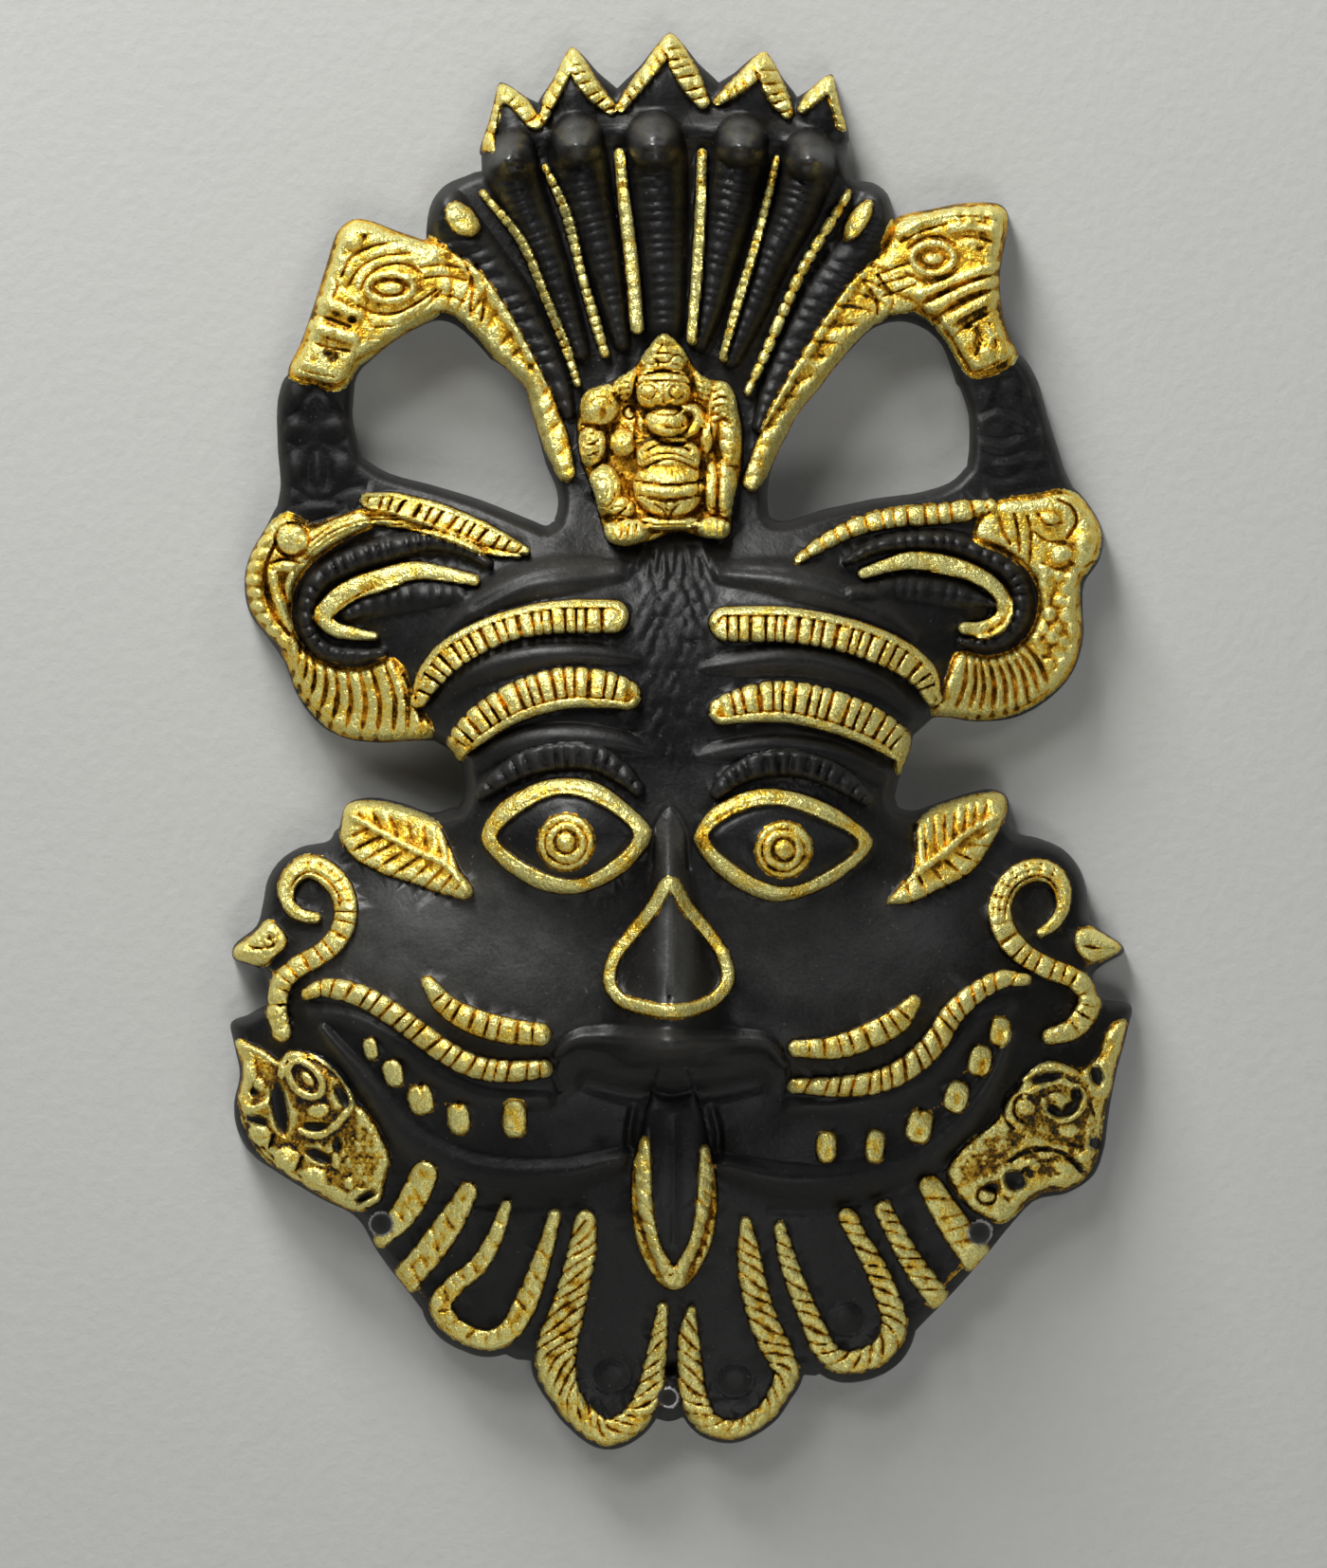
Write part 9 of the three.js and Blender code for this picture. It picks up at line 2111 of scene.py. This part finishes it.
def paint():
    N = Nodes("painted_casting")
    tc = N.add('ShaderNodeTexCoord').outputs['Object']
    gold, crest, swell, hole_, front, dry, dull, gloss, worn = (N.attr(a) for a in ("gold_mm", "crest_mm", "swell_mm", "hole_mm", "front", "dry", "dull", "gloss", "worn"))
    times = lambda a, k: N.math('MULTIPLY', a, k)
    plus = lambda a, k: N.math('ADD', a, k)
    # five random fields do for everything: 18, 4.5, 1.6, 0.8 and 0.35 mm
    cloud, smear, mott, speck, sand = (N.noise(tc, sc, de, ro) for sc, de, ro in ((55, 2, .5), (220, 2, .55), (620, 3, .6), (1700, 2, .6), (3600, 2, .65)))
    # the brushed gold: its edge wanders, it misses the deepest grooves and lies thin where the brush was dry
    edge = plus(N.math('MULTIPLY_ADD', plus(mott, -.5), .75, gold), N.math('MULTIPLY_ADD', plus(speck, -.5), .55, .27))
    edge = plus(edge, N.step(crest, -.55, -.22, True, -.45, 0))
    need = plus(N.step(crest, -.30, .22, False, 0, .36), plus(times(speck, .55), times(mott, .35)))
    full = N.step(N.math('SUBTRACT', need, N.math('MULTIPLY_ADD', dry, .42, .17)), -.03, .05)
    cover = times(N.step(edge, -.05, .09), full)
    # its colour: ochre on the flat, with a painted highlight of pale yellow on the crests and painted shade of brown to
    # olive in the grooves
    tone = plus(N.step(crest, -.24, .24, False, 0, .58), plus(N.step(mott, .30, .70, False, 0, .26), N.step(speck, .30, .70, False, .02, .14)))
    tone = plus(tone, plus(N.step(sand, .32, .68, False, -.055, .055), N.step(smear, .36, .64, False, -.14, .14)))
    # dry brushing: bright where it caught the crests, brown on the flats between, and more uneven all over
    high = N.step(crest, .02, .22)
    flat = times(dry, N.math('SUBTRACT', 1.0, high))
    uneven = plus(times(N.step(speck, .36, .64, False, -.5, .5), .34), times(N.step(mott, .36, .64, False, -.5, .5), .32))
    tone = plus(tone, plus(times(plus(dull, dry), uneven), times(times(dry, high), .14)))
    # darker and browner where dry on the flats and where the browner patches lie; under the cobra heads and along the
    # upper lids that is painted shade
    tone = N.math('SUBTRACT', tone, times(plus(dull, times(flat, .8)), .26))
    goldc = N.ramp(tone, [(.04, srgb(56, 41, 12)), (.19, srgb(156, 109, 22)), (.36, srgb(244, 184, 48)), (.53, srgb(255, 217, 78)), (.80, srgb(255, 246, 158))])
    rust = times(N.step(cloud, .46, .62), N.step(tone, .85, .40))
    goldc = N.mix(times(rust, .20), goldc, (*srgb(186, 116, 30), 1))
    goldc = N.mix(times(flat, .50), goldc, (*srgb(116, 96, 46), 1))
    goldc = N.mix(times(N.step(edge, .50, .02), .45), goldc, (*srgb(128, 97, 30), 1))
    # the black: satin charcoal, with a painted highlight of lighter grey on the crests, painted shade darker in the
    # fine and broad hollows, a painted sheen of lighter grey where the sheen patches lie, and dust
    k = plus(times(speck, .40), plus(times(cloud, .32), times(smear, .28)))
    blk = N.ramp(k, [(.36, srgb(13, 13, 14)), (.52, srgb(20, 20, 21)), (.66, srgb(31, 31, 31))])
    # painted highlight: the crests of the black lighter grey
    blk = N.mix(N.step(crest, .08, .45, True, 0, .28), blk, (*srgb(54, 53, 51), 1))
    # painted shade: darker in the fine hollows, and on the next line in the broad ones
    blk = N.mix(N.step(crest, -.40, -.04, True, .6, 0), blk, (*srgb(9, 9, 9), 1))
    blk = N.mix(N.step(swell, -1.6, -.2, True, .4, 0), blk, (*srgb(11, 11, 11), 1))
    # painted sheen: lighter grey on the cheeks, nose, forehead rolls and cobra heads where the sheen patches lie
    blk = N.mix(times(worn, N.step(k, .36, .62, False, .30, .70)), blk, (*srgb(68, 68, 66), 1))
    dust = N.step(N.noise(tc, 1700, 1, .4), .775, .80)
    blk = N.mix(times(dust, .45), blk, (*srgb(128, 126, 120), 1))
    gleam = times(N.step(sand, .60, .68), times(N.step(gold, -.35, -.05), N.step(crest, -.1, .2)))
    blk = N.mix(times(gleam, .35), blk, (*srgb(150, 122, 44), 1))
    blk = N.mix(N.step(front, .15, .45), N.mix(N.step(smear, .4, .62), (*srgb(42, 42, 42), 1), (*srgb(70, 70, 68), 1)), blk)
    col = N.mix(cover, blk, goldc)
    metal = N.step(N.math('MULTIPLY_ADD', plus(speck, -.5), 1.3, hole_), .36, .62, True, 1, 0)
    col = N.mix(metal, col, (*srgb(168, 166, 164), 1))
    rough = N.mix(cover, N.step(k, .36, .64, False, .40, .54), N.step(speck, .3, .7, False, .20, .38), 'FLOAT')
    rough = N.mix(metal, rough, .38, 'FLOAT')
    rough = N.math('SUBTRACT', rough, times(gloss, .10))
    met = N.math('MAXIMUM', times(cover, .66), times(metal, .9))
    # cast skin, brush marks and the lumpy gold
    bump = N.add('ShaderNodeBump')
    bump.inputs['Strength'].default_value = 1.0
    bump.inputs['Distance'].default_value = .001
    lump = N.step(gold, -.2, .3, True, .12, .80)
    h = plus(times(plus(times(speck, .34), plus(times(sand, .09), times(mott, .85))), lump), times(smear, .16))
    N.put(bump.inputs['Height'], h)
    bs = N.add('ShaderNodeBsdfPrincipled')
    N.put(bs.inputs['Base Color'], col); N.put(bs.inputs['Roughness'], rough); N.put(bs.inputs['Metallic'], met)
    N.put(bs.inputs['Normal'], bump.outputs[0])
    N.put(bs.inputs['Specular IOR Level'], N.mix(cover, N.math('MULTIPLY_ADD', plus(worn, times(gloss, 2.0)), .16, .36), .5, 'FLOAT'))
    N.put(bs.inputs['Specular Tint'], N.mix(cover, (1, 1, 1, 1), (1, .84, .42, 1)))
    out = N.add('ShaderNodeOutputMaterial')
    N.put(out.inputs['Surface'], bs.outputs[0])
    return N.m


me.materials.append(paint())


# ------------------------------------------------------------------ stage
def pale(name, c, see_through):
    N = Nodes(name)
    tc = N.add('ShaderNodeTexCoord').outputs['Object']
    a = N.noise(tc, 9, 3, .5)
    b = N.noise(tc, 420, 3, .6)
    col = N.mix(N.math('ADD', N.math('MULTIPLY', a, .5), N.math('MULTIPLY', b, .5)), (*srgb(*[k - 5 for k in c]), 1), (*srgb(*[k + 5 for k in c]), 1))
    bs = N.add('ShaderNodeBsdfPrincipled')
    N.put(bs.inputs['Base Color'], col)
    bs.inputs['Roughness'].default_value = .8
    bs.inputs['Specular IOR Level'].default_value = .2
    bump = N.add('ShaderNodeBump'); bump.inputs['Strength'].default_value = .25; bump.inputs['Distance'].default_value = .0006
    N.put(bump.inputs['Height'], b); N.put(bs.inputs['Normal'], bump.outputs[0])
    out = N.add('ShaderNodeOutputMaterial')
    s = bs.outputs[0]
    if see_through:
        tr = N.add('ShaderNodeBsdfTransparent')
        side = N.add('ShaderNodeNewGeometry').outputs['Backfacing']
        mx = N.add('ShaderNodeMixShader')
        N.put(mx.inputs[0], side); N.put(mx.inputs[1], s); N.put(mx.inputs[2], tr.outputs[0])
        s = mx.outputs[0]
    N.put(out.inputs['Surface'], s)
    return N.m


def sheet(name, pts, mat):
    m = bpy.data.meshes.new(name)
    m.from_pydata(pts, [], [(0, 1, 2, 3)])
    m.update()
    m.materials.append(mat)
    o = bpy.data.objects.new(name, m)
    bpy.context.scene.collection.objects.link(o)
    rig.stage(o)
    o.visible_shadow = False             # the lamp behind reaches the hollow back
    return o


W, LO, HI, YB = 3.0, -1.0, 2.2, .0006
sheet("backdrop", [(-W, YB, LO), (W, YB, LO), (W, YB, HI), (-W, YB, HI)], pale("pale_wall", WALL_RGB, True))
sheet("floor", [(-W, -3.2, LO), (W, -3.2, LO), (W, YB, LO), (-W, YB, LO)], pale("pale_floor", FLOOR_RGB, True))


def lamp(name, at, to, size, watts, colour=(1, 1, 1)):
    L = bpy.data.lights.new(name, 'AREA')
    L.shape = 'RECTANGLE'; L.size, L.size_y = size
    L.energy = watts; L.color = colour
    o = bpy.data.objects.new(name, L)
    o.location = at
    o.rotation_euler = (mathutils.Vector(to) - mathutils.Vector(at)).to_track_quat('-Z', 'Y').to_euler()
    bpy.context.scene.collection.objects.link(o)
    return o


for L in LAMPS:
    lamp(*L)
w = bpy.data.worlds.new("pale_room"); bpy.context.scene.world = w
w.use_nodes = True
bg = w.node_tree.nodes["Background"]
bg.inputs[0].default_value = (1, 1, 1, 1); bg.inputs[1].default_value = AMBIENT
bpy.context.scene.view_settings.view_transform = 'Standard'

cam = bpy.data.cameras.new("camera")
cam.sensor_width = 36; cam.lens = 36 / .3093; cam.clip_start = .05; cam.clip_end = 30
eye = bpy.data.objects.new("camera", cam)
eye.location = (-.0015, -1.0, -.1303); eye.rotation_euler = (math.pi / 2, 0, 0)
bpy.context.scene.collection.objects.link(eye)
bpy.context.scene.camera = eye

visual_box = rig.bounds()
with open("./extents.json", "w") as out:
    json.dump({"cad_box": [[float(q) for q in c] for c in cad_box], "visual_box": [[float(q) for q in c] for c in visual_box]}, out)
